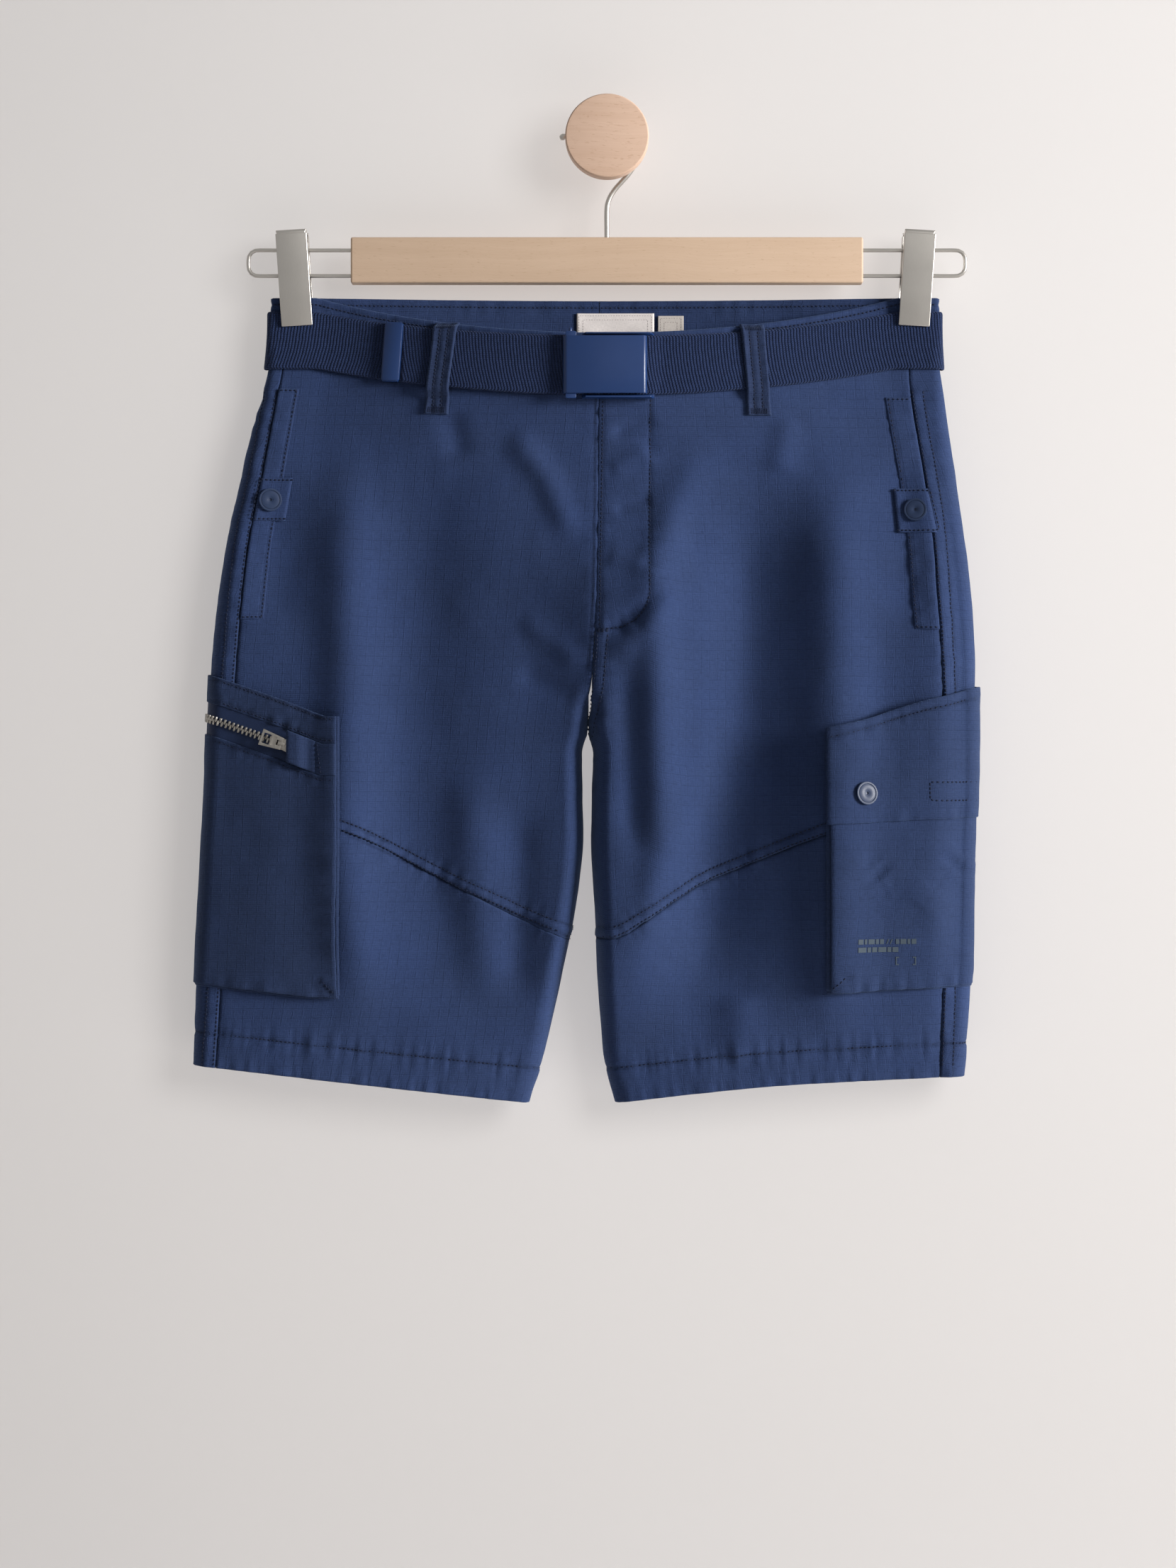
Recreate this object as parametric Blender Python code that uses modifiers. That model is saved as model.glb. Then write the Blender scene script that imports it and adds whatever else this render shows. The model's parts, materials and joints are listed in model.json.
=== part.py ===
"""Cargo shorts with a webbing belt, clipped to a wooden trouser hanger on a wall peg.

Blender 4.5. Metres, +Z up, the wearer's front towards -Y, the wall in the plane y = 0.
The origin is the centre of the peg's back face, where the peg meets the wall.

The cloth is one hollow form with a waist, two legs and open hems. Its inner face is worked out
from the SECTIONS table, and every sewn piece is a wall on that face, moved out by its own layer.
"Right" and "left" are the wearer's: the right leg has negative X.
"""

from collections import namedtuple
import math

import bmesh
import bpy
from mathutils import Matrix, Vector

MM = 0.001

# ---------------------------------------------------------------- driving dimensions
HANG_Y = -34 * MM  # plane of the hanger, and of the garment's side folds
GAP = 0.3 * MM  # between pieces that meet at a seam
LAP = 0.45 * MM  # between a piece and the panel that it lies on
PANEL = 1.2 * MM  # leg panels
BAND = 2.2 * MM  # folded and fused waistband
STRIP = 0.9 * MM  # thin pieces on a panel
WEBBING = 1.8 * MM
BELT_WIDTH = 38.5 * MM
WAISTBAND_DEPTH = 40 * MM
INSEAM_TUCK = 0.012  # share of the inner roll that a seam's edge stands back by

WAIST_SIDE_Z = -104 * MM  # top edge of the waistband at its side folds
WAIST_FRONT_DIP = 26 * MM
WAIST_BACK_DIP = 1 * MM
WAIST_HALF = 192 * MM  # the dips span this half-width

CROTCH_TOP_Z = -350 * MM  # where the centre seam starts to turn under
CROTCH_Z = -398 * MM  # where the legs part
INNER_ROLL = 10 * MM  # width over which a panel turns into the inseam

# One row for each level of the garment, in millimetres. Columns: height; the right leg's outer
# fold, side seam and inseam; the left leg's inseam, side seam and outer fold; half the thickness
# near a fold; the fold's own roll; how far the hips bow to the front and the back; the leg's bow.
Section = namedtuple(
    "Section", "z r_fold r_seam r_in l_in l_seam l_fold edge roll front_bow back_bow leg_bow"
)
SECTIONS = [
    Section(-96, -220.5, -211.0, -5.0, -5.0, 204.0, 218.0, 0.5, 2.0, 23, 6, 0),
    Section(-124, -221.0, -213.0, -5.0, -5.0, 202.0, 218.3, 0.6, 2.0, 24, 7, 0),
    Section(-150, -222.8, -214.5, -5.3, -5.3, 200.0, 219.2, 3.0, 4.0, 23, 8, 0),
    Section(-170, -227.5, -218.0, -5.4, -5.4, 201.0, 222.3, 6.0, 6.0, 21, 9, 0),
    Section(-195, -234.8, -222.5, -5.6, -5.6, 204.6, 225.8, 8.8, 8.0, 18, 9, 0),
    Section(-225, -241.5, -228.0, -5.8, -5.8, 209.5, 230.0, 11.2, 9.0, 15, 10, 0),
    Section(-261, -249.6, -235.5, -6.2, -6.2, 213.8, 235.2, 12.9, 9.0, 12, 10, 0),
    Section(-300, -256.0, -240.5, -6.8, -6.8, 216.4, 239.9, 13.8, 9.0, 10, 9, 0),
    Section(-340, -260.2, -243.8, -8.8, -8.8, 219.0, 242.6, 14.0, 9.0, 8, 8, 2),
    Section(-372, -262.0, -246.2, -11.2, -11.2, 220.5, 242.8, 14.0, 9.0, 6, 6, 5),
    Section(-392, -263.0, -247.2, -12.5, -12.5, 221.0, 242.6, 14.0, 9.0, 5, 5, 6),
    Section(-406, -263.4, -247.8, -17.0, -8.4, 221.0, 242.4, 14.0, 9.0, 4, 4, 7),
    Section(-430, -264.2, -248.7, -17.2, -9.0, 221.0, 242.0, 14.0, 9.0, 2, 2, 8),
    Section(-470, -266.5, -250.5, -17.4, -8.8, 221.0, 241.2, 13.5, 9.0, 0, 0, 9),
    Section(-510, -268.6, -252.5, -22.2, -6.8, 221.0, 240.4, 13.0, 9.0, 0, 0, 9),
    Section(-550, -270.6, -254.0, -30.2, -5.6, 221.0, 240.0, 12.0, 9.0, 0, 0, 8),
    Section(-580, -272.2, -256.0, -37.0, -3.4, 220.5, 238.6, 11.5, 9.0, 0, 0, 7),
    Section(-610, -272.2, -258.0, -44.5, -0.2, 219.8, 236.8, 11.0, 9.0, 0, 0, 6),
    Section(-640, -271.8, -259.5, -54.5, 8.5, 219.0, 235.6, 10.5, 9.0, 0, 0, 6),
]

# The largest soft ridges (height over 0) and troughs, each along a straight line, in millimetres.
Crease = namedtuple("Crease", "face x0 z0 x1 z1 width height")
CREASES = [
    Crease("front", -131, -190, -136, -430, 22, 3.5),
    Crease("front", -172, -185, -174, -340, 20, -2.5),
    Crease("front", -92, -215, -88, -410, 22, -2.5),
    Crease("front", -72, -195, -18, -300, 18, -3.0),
    Crease("front", 78, -190, 30, -292, 18, -3.0),
    Crease("front", 104, -215, 58, -380, 20, 2.5),
    Crease("front", 148, -190, 112, -430, 20, -3.0),
    Crease("front", -92, -500, -60, -606, 20, -2.5),
    Crease("front", 84, -530, 58, -604, 20, -2.5),
    Crease("back", -118, -190, -124, -470, 22, 2.5),
    Crease("back", -66, -210, -22, -330, 20, -2.5),
    Crease("back", 70, -200, 26, -325, 20, -2.5),
    Crease("back", 116, -195, 110, -460, 22, 2.5),
    Crease("back", 60, -500, 92, -600, 20, -2.0),
]

# Height of a sloping edge at each x, in millimetres.
Edge = namedtuple("Edge", "x z")
HEM = {
    "right": [Edge(-280, -611.0), Edge(-160, -624.0), Edge(-44, -636.2)],
    "left": [Edge(0, -636.2), Edge(60, -629.5), Edge(115, -624.5), Edge(220, -619.5), Edge(245, -619.5)],
}
KNEE_SEAM = {
    "right": [Edge(-260, -432), Edge(-172, -458), Edge(-115, -485.7), Edge(-60, -512), Edge(-16, -530)],
    "left": [
        Edge(-12, -527.5),
        Edge(7, -526),
        Edge(24, -516),
        Edge(58, -494),
        Edge(91, -480),
        Edge(143, -459),
        Edge(230, -433),
    ],
}

SIGN = {"right": -1.0, "left": 1.0}
FRONT_CENTRE, SIDE_FOLD, BACK_CENTRE = 0.0, 3.0, 6.0


# ---------------------------------------------------------------- the garment's form
def along(rows, key, value, z):
    """A smooth curve through a table's points: column value read at key = z."""
    points = sorted((getattr(row, key), getattr(row, value)) for row in rows)
    if z <= points[0][0]:
        return points[0][1]
    if z >= points[-1][0]:
        return points[-1][1]
    i = max(k for k in range(len(points) - 1) if points[k][0] <= z)

    def slope(k):
        low, high = points[max(k - 1, 0)], points[min(k + 1, len(points) - 1)]
        return (high[1] - low[1]) / (high[0] - low[0])

    (x0, y0), (x1, y1) = points[i], points[i + 1]
    span = x1 - x0
    t = (z - x0) / span
    return (
        (2 * t**3 - 3 * t**2 + 1) * y0
        + (t**3 - 2 * t**2 + t) * span * slope(i)
        + (3 * t**2 - 2 * t**3) * y1
        + (t**3 - t**2) * span * slope(i + 1)
    )


def section(column, z):
    """A column of SECTIONS at height z, in metres."""
    return along(SECTIONS, "z", column, z / MM) * MM


def smooth(t):
    """0 to 1 with soft ends."""
    t = min(max(t, 0.0), 1.0)
    return t * t * (3 - 2 * t)


def closure(z):
    """How far a panel's inner edge has turned under: 0 at the centre seam, 1 at the inseam."""
    return smooth((CROTCH_TOP_Z - z) / (CROTCH_TOP_Z - CROTCH_Z))


def inner_x(side, z):
    """Where the panel's inner face ends towards the middle."""
    seam = section("r_in" if side == "right" else "l_in", z)
    room = (0.15 + 1.35 * smooth(3 * closure(z))) * MM
    keep_clear = room if z > CROTCH_Z else room * max(0.0, 1 - (CROTCH_Z - z) / (12 * MM))
    return seam + SIGN[side] * keep_clear


def outer_x(side, z):
    return section("r_fold" if side == "right" else "l_fold", z)


def seam_x(side, z):
    """The side seam, which lies a little to the front of the outer fold."""
    return section("r_seam" if side == "right" else "l_seam", z)


def crease_height(face, x, z):
    """What the creases add to the form at one place."""
    total = 0.0
    for crease in CREASES:
        if crease.face != face:
            continue
        start = Vector((crease.x0, crease.z0)) * MM
        line = Vector((crease.x1, crease.z1)) * MM - start
        offset = Vector((x, z)) - start
        share = offset.dot(line) / line.length_squared
        across = (offset - line * share).length / (crease.width * MM)
        ends = smooth(share / 0.3) * smooth((1 - share) / 0.3)
        total += crease.height * MM * ends * math.exp(-across * across)
    return total


def half_depth(side, face, x, z):
    """Distance from the middle plane to the cloth's inner face."""
    waist = section("front_bow" if face == "front" else "back_bow", z)
    bow_half = WAIST_HALF - 4 * MM + max(0.0, -150 * MM - z) * 0.15
    hips = waist * max(0.0, 1 - (x / bow_half) ** 2) ** 1.5
    start, end = inner_x(side, z), outer_x(side, z)
    share = min(max((x - start) / (end - start), 0.0), 1.0)
    leg = section("leg_bow", z) * math.sin(math.pi * share)
    fold_fade = smooth((1 - share) / 0.12)
    return section("edge", z) + hips + leg + crease_height(face, x, z) * fold_fade


def surface(side, station, z):
    """A point on the cloth's inner face.

    station runs 0 to 6 round one half: 0 to 1 is the front's inner roll, 1 to 2 the front,
    2 to 4 the outer fold, 4 to 5 the back and 5 to 6 the back's inner roll.
    """
    face = "front" if station <= SIDE_FOLD else "back"
    s = station if face == "front" else 6.0 - station
    sign, start, end = SIGN[side], inner_x(side, z), outer_x(side, z)
    roll, turned = section("roll", z), closure(z)
    inner_edge, outer_edge = start + sign * INNER_ROLL, end - sign * roll
    lift = 1.0
    if s < 1:
        quarter = s * math.pi / 2
        x = start + sign * INNER_ROLL * ((1 - turned) * s + turned * (1 - math.cos(quarter)))
        lift = math.sin(math.pi / 2 * (1 - turned * (1 - s)))
        depth_x = x
    elif s <= 2:
        x = inner_edge + (outer_edge - inner_edge) * (s - 1)
        depth_x = x
    else:
        quarter = (SIDE_FOLD - s) * math.pi / 2
        x = end - sign * roll * (1 - math.cos(quarter))
        lift = math.sin(quarter)
        depth_x = outer_edge
    depth = half_depth(side, face, depth_x, z) * lift
    return Vector((x, HANG_Y + (-depth if face == "front" else depth), z))


def outward(side, station, z):
    """The unit normal of the form, pointing away from the wearer."""
    ds, dz = 0.004, 0.4 * MM
    low, high = max(station - ds, 0.0), min(station + ds, 6.0)
    across = surface(side, high, z) - surface(side, low, z)
    up = surface(side, station, z + dz) - surface(side, station, z - dz)
    return (across.cross(up) * SIGN[side]).normalized()


def on_cloth(side, station, z, layer=0.0):
    """A point that lies layer metres outside the cloth's inner face."""
    return surface(side, station, z) + outward(side, station, z) * layer


def station_at(side, face, x, z):
    """The station of a given x on the front or back."""
    sign, start, end = SIGN[side], inner_x(side, z), outer_x(side, z)
    roll = section("roll", z)
    inner_edge, outer_edge = start + sign * INNER_ROLL, end - sign * roll
    if sign * (x - inner_edge) < 0:
        s = max(0.0, sign * (x - start) / INNER_ROLL)
    elif sign * (outer_edge - x) >= 0:
        s = 1 + (x - inner_edge) / (outer_edge - inner_edge)
    else:
        share = min(sign * (x - outer_edge) / roll, 1.0)
        s = SIDE_FOLD - math.acos(share) / (math.pi / 2)
    return s if face == "front" else 6.0 - s


def side_of(x, z):
    """Which half of the garment an x above the crotch belongs to."""
    return "left" if x > section("l_in", z) else "right"


def at_x(face, x, z, layer=0.0):
    """A point over either half of the hips."""
    side = side_of(x, z)
    return on_cloth(side, station_at(side, face, x, z), z, layer)


def waist_top(side, station, layer=0.0):
    """Height of the waistband's top edge."""
    x = surface(side, station, WAIST_SIDE_Z).x
    dip = WAIST_FRONT_DIP if station < SIDE_FOLD else WAIST_BACK_DIP
    return WAIST_SIDE_Z - dip * max(0.0, 1 - (x / WAIST_HALF) ** 2)


def waist_seam(side, station):
    return waist_top(side, station) - WAISTBAND_DEPTH


def belt_top(side, station):
    """The belt lies a little below the waistband's edge, most of all at the sides."""
    x = surface(side, station, WAIST_SIDE_Z).x
    centre_margin = 3 * MM if station < SIDE_FOLD else 6 * MM
    share = min(abs(x) / WAIST_HALF, 1.0) ** 2
    return waist_top(side, station) - centre_margin * (1 - share) - 9.5 * MM * share


def edge_height(edges, x):
    return along(edges, "x", "z", x / MM) * MM


def hem_height(side, station):
    return edge_height(HEM[side], surface(side, station, -600 * MM).x)


def knee_height(side, station):
    return edge_height(KNEE_SEAM[side], surface(side, station, -490 * MM).x)


# ---------------------------------------------------------------- Blender helpers
def clear_scene():
    for obj in list(bpy.data.objects):
        bpy.data.objects.remove(obj, do_unlink=True)


def new_collection(name):
    collection = bpy.data.collections.new(name)
    bpy.context.scene.collection.children.link(collection)
    return collection


def new_material(name, color, roughness, metallic=0.0):
    material = bpy.data.materials.new(name)
    material.use_nodes = True
    shader = material.node_tree.nodes["Principled BSDF"]
    shader.inputs["Base Color"].default_value = (*color, 1.0)
    shader.inputs["Roughness"].default_value = roughness
    shader.inputs["Metallic"].default_value = metallic
    return material


def add_object(name, mesh, material, smooth_faces=False):
    obj = bpy.data.objects.new(name, mesh)
    PARTS.objects.link(obj)
    mesh.materials.append(material)
    if smooth_faces:
        mesh.shade_smooth()
    return obj


def wall(name, grid, thickness, material, ring=False):
    """A cloth wall from a grid of (inner point, normal) pairs; ring joins its two ends."""
    rows, columns = len(grid), len(grid[0])
    skins = [
        [[point + normal * depth for point, normal in row] for row in grid]
        for depth in (0.0, thickness)
    ]
    points = [point for skin in skins for row in skin for point in row]

    def index(skin, r, c):
        return skin * rows * columns + r * columns + c % columns

    faces = []
    spans = columns if ring else columns - 1
    for r in range(rows - 1):
        for c in range(spans):
            corners = [(r, c), (r, c + 1), (r + 1, c + 1), (r + 1, c)]
            faces.append([index(1, *corner) for corner in corners])
            faces.append([index(0, *corner) for corner in reversed(corners)])
    for c in range(spans):
        faces.append([index(0, 0, c), index(0, 0, c + 1), index(1, 0, c + 1), index(1, 0, c)])
        low = rows - 1
        faces.append([index(1, low, c), index(1, low, c + 1), index(0, low, c + 1), index(0, low, c)])
    if not ring:
        last = columns - 1
        for r in range(rows - 1):
            faces.append([index(1, r, 0), index(1, r + 1, 0), index(0, r + 1, 0), index(0, r, 0)])
            faces.append(
                [index(0, r, last), index(0, r + 1, last), index(1, r + 1, last), index(1, r, last)]
            )
    mesh = bpy.data.meshes.new(name)
    mesh.from_pydata(points, [], faces)
    closed = bmesh.new()
    closed.from_mesh(mesh)
    bmesh.ops.recalc_face_normals(closed, faces=closed.faces)
    if closed.calc_volume(signed=True) < 0:
        bmesh.ops.reverse_faces(closed, faces=closed.faces)
    closed.to_mesh(mesh)
    closed.free()
    return add_object(name, mesh, material, smooth_faces=True)


def cloth(name, side, stations, top, bottom, rows, layer, thickness, material, ring=False):
    """A wall on one half: stations are functions of z, top and bottom are functions of station."""
    grid = []
    for r in range(rows + 1):
        share = r / rows
        line = []
        for station in stations:
            z = height_at(side, station, top) * (1 - share) + height_at(side, station, bottom) * share
            s = station(z)
            normal = outward(side, s, z)
            lift = layer(side, s, z) if callable(layer) else layer
            line.append((surface(side, s, z) + normal * lift, normal))
        grid.append(line)
    return wall(name, grid, thickness, material, ring)


def height_at(side, station, line):
    """Where a column, whose station is a function of z, meets a line, whose z is one of station."""
    z = -300 * MM
    for _ in range(4):
        z = line(side, station(z))
    return z


def fixed(station):
    return lambda z: station


def spread(low, high, count):
    return [low + (high - low) * i / count for i in range(count + 1)]


def between(start, end, count):
    """Stations spaced evenly from one function of z to another."""

    def blend(share):
        return lambda z: start(z) * (1 - share) + end(z) * share

    return [blend(share) for share in spread(0, 1, count)]


FOLD_STATIONS = [fixed(s) for s in spread(2.0, 4.0, 8)]


def box(name, size, matrix, material, bevel=0.0, segments=2):
    """A box with rounded edges, its size applied before the bevel."""
    mesh = bpy.data.meshes.new(name)
    shape = bmesh.new()
    bmesh.ops.create_cube(shape, size=1.0, matrix=Matrix.Diagonal((*size, 1.0)))
    shape.to_mesh(mesh)
    shape.free()
    obj = add_object(name, mesh, material)
    obj.matrix_world = matrix
    if bevel:
        rounded = obj.modifiers.new("rounded", "BEVEL")
        rounded.width = bevel
        rounded.segments = segments
    return obj


def disc(name, radius, height, matrix, material, bevel=0.0, sides=40):
    """A round piece along its local Z, centred on its own origin."""
    mesh = bpy.data.meshes.new(name)
    shape = bmesh.new()
    bmesh.ops.create_cone(
        shape, cap_ends=True, segments=sides, radius1=radius, radius2=radius, depth=height
    )
    shape.to_mesh(mesh)
    shape.free()
    obj = add_object(name, mesh, material, smooth_faces=True)
    mesh.set_sharp_from_angle(angle=math.radians(40))
    obj.matrix_world = matrix
    if bevel:
        rounded = obj.modifiers.new("rounded", "BEVEL")
        rounded.width = bevel
        rounded.segments = 3
        rounded.limit_method = "ANGLE"
    return obj


def wire(name, points, radius, material, closed_bend=2):
    """A round wire through the points."""
    curve = bpy.data.curves.new(name, "CURVE")
    curve.dimensions = "3D"
    curve.bevel_depth = radius
    curve.bevel_resolution = closed_bend
    curve.use_fill_caps = True
    spline = curve.splines.new("POLY")
    spline.points.add(len(points) - 1)
    for target, point in zip(spline.points, points):
        target.co = (*point, 1.0)
    obj = bpy.data.objects.new(name, curve)
    PARTS.objects.link(obj)
    curve.materials.append(material)
    return obj


def cut(obj, cutter):
    """Takes the cutter's shape out of obj."""
    for collection in list(cutter.users_collection):
        collection.objects.unlink(cutter)
    CUTTERS.objects.link(cutter)
    cutter.hide_render = True
    cutter.display_type = "WIRE"
    hole = obj.modifiers.new("cut " + cutter.name, "BOOLEAN")
    hole.operation = "DIFFERENCE"
    hole.object = cutter


def frame_matrix(origin, x_axis, z_axis):
    """Axes at origin: local X near x_axis, local Z along z_axis."""
    z_axis = z_axis.normalized()
    y_axis = z_axis.cross(x_axis).normalized()
    x_axis = y_axis.cross(z_axis).normalized()
    rotation = Matrix((x_axis, y_axis, z_axis)).transposed()
    return Matrix.Translation(origin) @ rotation.to_4x4()


# ---------------------------------------------------------------- legs and seat
def panel_stations(side):
    """Columns of the front and of the back panel; the seam between them is at seam_x."""

    def seam(shift):
        return lambda z: station_at(side, "front", seam_x(side, z), z) + shift

    front = [fixed(s) for s in (INSEAM_TUCK, 0.35, 0.7)] + between(fixed(1.0), seam(-0.0015), 12)
    back = [seam(0.0015)] + FOLD_STATIONS + [fixed(s) for s in spread(4.0, 5.0, 11)[1:]]
    back += [fixed(s) for s in (5.3, 5.65, 6 - INSEAM_TUCK)]
    return front, back


def below_band(side, station):
    return waist_seam(side, station) - GAP


def above_knee(side, station):
    return knee_height(side, station) + GAP / 2


def below_knee(side, station):
    return knee_height(side, station) - GAP / 2


def add_panels():
    for side in ("right", "left"):
        front, back = panel_stations(side)
        cloth(f"front_{side}", side, front, below_band, above_knee, 17, 0, PANEL, CLOTH)
        cloth(f"front_{side}_lower", side, front, below_knee, hem_height, 5, 0, PANEL, CLOTH)
        cloth(f"back_{side}", side, back, below_band, hem_height, 21, 0, PANEL, CLOTH)


def add_hem_turns():
    """The turned-up cloth inside each hem."""
    for side in ("right", "left"):
        stations = [fixed(s) for s in (0, 0.35, 0.7, 1.0, 1.25, 1.5, 1.75)] + FOLD_STATIONS
        stations += [fixed(s) for s in (4.25, 4.5, 4.75, 5.0, 5.3, 5.65)]

        def lower(side, station):
            return hem_height(side, station) + GAP

        def upper(side, station):
            return hem_height(side, station) + 23 * MM

        cloth(f"hem_turn_{side}", side, stations, upper, lower, 1, -GAP - STRIP, STRIP, CLOTH, ring=True)


def add_waistband():
    for side in ("right", "left"):
        front, back = panel_stations(side)
        cloth(f"waistband_{side}", side, front + back[1:], waist_top, waist_seam, 3, 0, BAND, CLOTH)


def add_fly():
    """The fly facing inside the left front, with its rounded lower corner."""
    inset, width, foot = 0.6 * MM, 33.5 * MM, -324 * MM

    def low(side, station):
        share = smooth((station - 1.0) / 0.12)
        return foot + share * 26 * MM

    def high(side, station):
        return waist_seam(side, station) - 2 * MM

    start = lambda z: station_at("left", "front", inner_x("left", z) + inset, z)
    end = lambda z: station_at("left", "front", inner_x("left", z) + width, z)
    cloth("fly_facing", "left", between(start, end, 6), high, low, 5, -GAP - STRIP, STRIP, CLOTH)


# ---------------------------------------------------------------- pockets at the hips
PocketBand = namedtuple("PocketBand", "side top bottom width_top width_bottom")
POCKET_BANDS = [
    PocketBand("right", -165 * MM, -317.5 * MM, 13 * MM, 15.5 * MM),
    PocketBand("left", -171 * MM, -324.5 * MM, 17 * MM, 15.5 * MM),
]
SNAP_RADIUS, SNAP_HEIGHT = 7.5 * MM, 2.4 * MM


def add_snap(name, side, x, z, layer):
    """A press stud's cap, standing on the layer it is fixed through."""
    station = station_at(side, "front", x, z)
    normal = outward(side, station, z)
    centre = surface(side, station, z) + normal * (layer + GAP + SNAP_HEIGHT / 2)
    matrix = frame_matrix(centre, Vector((1, 0, 0)), normal)
    disc(name, SNAP_RADIUS, SNAP_HEIGHT, matrix, ENAMEL, bevel=0.7 * MM)


def add_pocket_bands():
    for band in POCKET_BANDS:
        sign = SIGN[band.side]

        def edge(inset, band=band, sign=sign):
            def at(z):
                share = (band.top - z) / (band.top - band.bottom)
                width = band.width_top + (band.width_bottom - band.width_top) * share
                x = seam_x(band.side, z) - sign * (0.4 * MM + inset * width)
                return station_at(band.side, "front", x, z)

            return at

        cloth(
            f"pocket_band_{band.side}",
            band.side,
            between(edge(0.0), edge(1.0), 3),
            lambda side, station, band=band: band.top,
            lambda side, station, band=band: band.bottom,
            8,
            PANEL + LAP,
            STRIP,
            CLOTH,
        )
    band_top = PANEL + LAP + STRIP + 0.1 * MM
    add_snap("snap_pocket_right", "right", -222.6 * MM, -238.7 * MM, band_top)
    add_snap("snap_pocket_left", "left", 203.5 * MM, -246.4 * MM, band_top)


# ---------------------------------------------------------------- cargo pockets
# Each wraps the outer fold. Heights run along straight lines in x as seen from the front, and
# on round the back at the same slope. Columns in millimetres: the front edge; the top line's height
# at the front edge and at the fold, then at the back edge; the same for the bottom line.
Cargo = namedtuple("Cargo", "side front_x back_x top_front top_fold top_back foot_front foot_fold foot_back")
CARGO = {
    "right": Cargo("right", -176.0, -178.0, -381.8, -353.8, -330.0, -565.5, -557.5, -552.0),
    "left": Cargo("left", 144.8, 148.0, -389.5, -361.6, -336.0, -561.5, -557.8, -553.0),
}
FOLD_CLEAR, BELLOWS = 2.3 * MM, 6.6 * MM  # how far the pocket's face stands off: at the fold, and away from it


def cargo_edge(cargo, face, inset=0.0):
    """Station of the pocket's front or back edge, as a function of z."""
    x = (cargo.front_x if face == "front" else cargo.back_x) * MM + SIGN[cargo.side] * inset
    return lambda z: station_at(cargo.side, face, x, z)


def cargo_line(cargo, line, drop=0.0):
    """Height of the pocket's top or foot at a station."""
    front, fold, back = (
        getattr(cargo, f"{line}_{place}") * MM for place in ("front", "fold", "back")
    )

    def height(side, station):
        start = cargo_edge(cargo, "front")(-300 * MM)
        end = cargo_edge(cargo, "back")(-300 * MM)
        if station <= SIDE_FOLD:
            share = smooth_fold_share(side, "front", station, start)
            return front + (fold - front) * share - drop
        share = smooth_fold_share(side, "back", station, end)
        return back + (fold - back) * share - drop

    return height


def smooth_fold_share(side, face, station, edge):
    """0 at the pocket's edge, 1 at the fold, even in x."""
    z = -460 * MM
    here, start = surface(side, station, z).x, surface(side, edge, z).x
    return min(max((here - start) / (outer_x(side, z) - start), 0.0), 1.0)


def bellows(side, station, z):
    """How far the pocket's face stands off the cloth's inner face."""
    x = abs(outer_x(side, z) - surface(side, station, z).x)
    return FOLD_CLEAR + (BELLOWS - FOLD_CLEAR) * smooth(x / (55 * MM))


def cargo_stations(cargo, inset=0.0, front_count=5, back_count=5):
    front = cargo_edge(cargo, "front", inset)
    back = cargo_edge(cargo, "back", inset)
    return (
        between(front, fixed(2.0), front_count)[:-1]
        + FOLD_STATIONS
        + between(fixed(4.0), back, back_count)[1:]
    )


def add_gusset(name, cargo, top):
    """The bellows strip under the pocket's face, set back from its edge on three sides."""
    side, inset, thick = cargo.side, 4.5 * MM, 1.0 * MM
    foot = cargo_line(cargo, "foot", -inset)
    front, back = cargo_edge(cargo, "front", inset), cargo_edge(cargo, "back", inset)
    middle = -300 * MM
    path = []
    start, end = top(side, front(middle)) - 1 * MM, foot(side, front(middle))
    for z in spread(start, end, 8)[:-1]:
        path.append((front(z), z))
    for station in cargo_stations(cargo, inset):
        z = foot(side, station(-550 * MM))
        path.append((station(z), z))
    start, end = foot(side, back(middle)), top(side, back(middle)) - 1 * MM
    for z in spread(start, end, 8)[1:]:
        path.append((back(z), z))
    low, rows = PANEL + LAP, [[], []]
    for i, (station, z) in enumerate(path):
        before, after = path[max(i - 1, 0)], path[min(i + 1, len(path) - 1)]
        ahead = surface(side, *after) - surface(side, *before)
        normal = outward(side, station, z)
        inside = normal.cross(ahead).normalized() * SIGN[side]
        high = max(bellows(side, station, z) - GAP, low + 0.45 * MM)
        for row, lift in zip(rows, (high, low)):
            row.append((surface(side, station, z) + normal * lift, inside))
    return wall(name, rows, thick, CLOTH)


def add_left_cargo():
    """The wearer's left pocket has a sloping flap closed by a press stud."""
    cargo, side = CARGO["left"], "left"
    face_top = cargo_line(cargo, "top", 8 * MM)
    cloth("cargo_left_face", side, cargo_stations(cargo, 1.5 * MM), face_top, cargo_line(cargo, "foot"),
          6, bellows, STRIP + 0.1 * MM, CLOTH)
    add_gusset("cargo_left_gusset", cargo, face_top)

    def over_face(side, station, z):
        return bellows(side, station, z) + STRIP + 0.1 * MM + 1.5 * GAP

    def flap_foot(side, station):
        x = surface(side, station, -450 * MM).x
        front = -452.6 * MM + (x - 144.8 * MM) / (96 * MM) * 4.8 * MM
        return front if station <= SIDE_FOLD else -447.8 * MM

    cloth("cargo_left_flap", side, cargo_stations(cargo), cargo_line(cargo, "top"), flap_foot,
          4, over_face, STRIP + 0.1 * MM, CLOTH)
    flap_out = BELLOWS + 2 * (STRIP + 0.1 * MM) + 1.5 * GAP
    add_snap("snap_cargo", side, 165.0 * MM, -432.9 * MM, flap_out)


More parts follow.
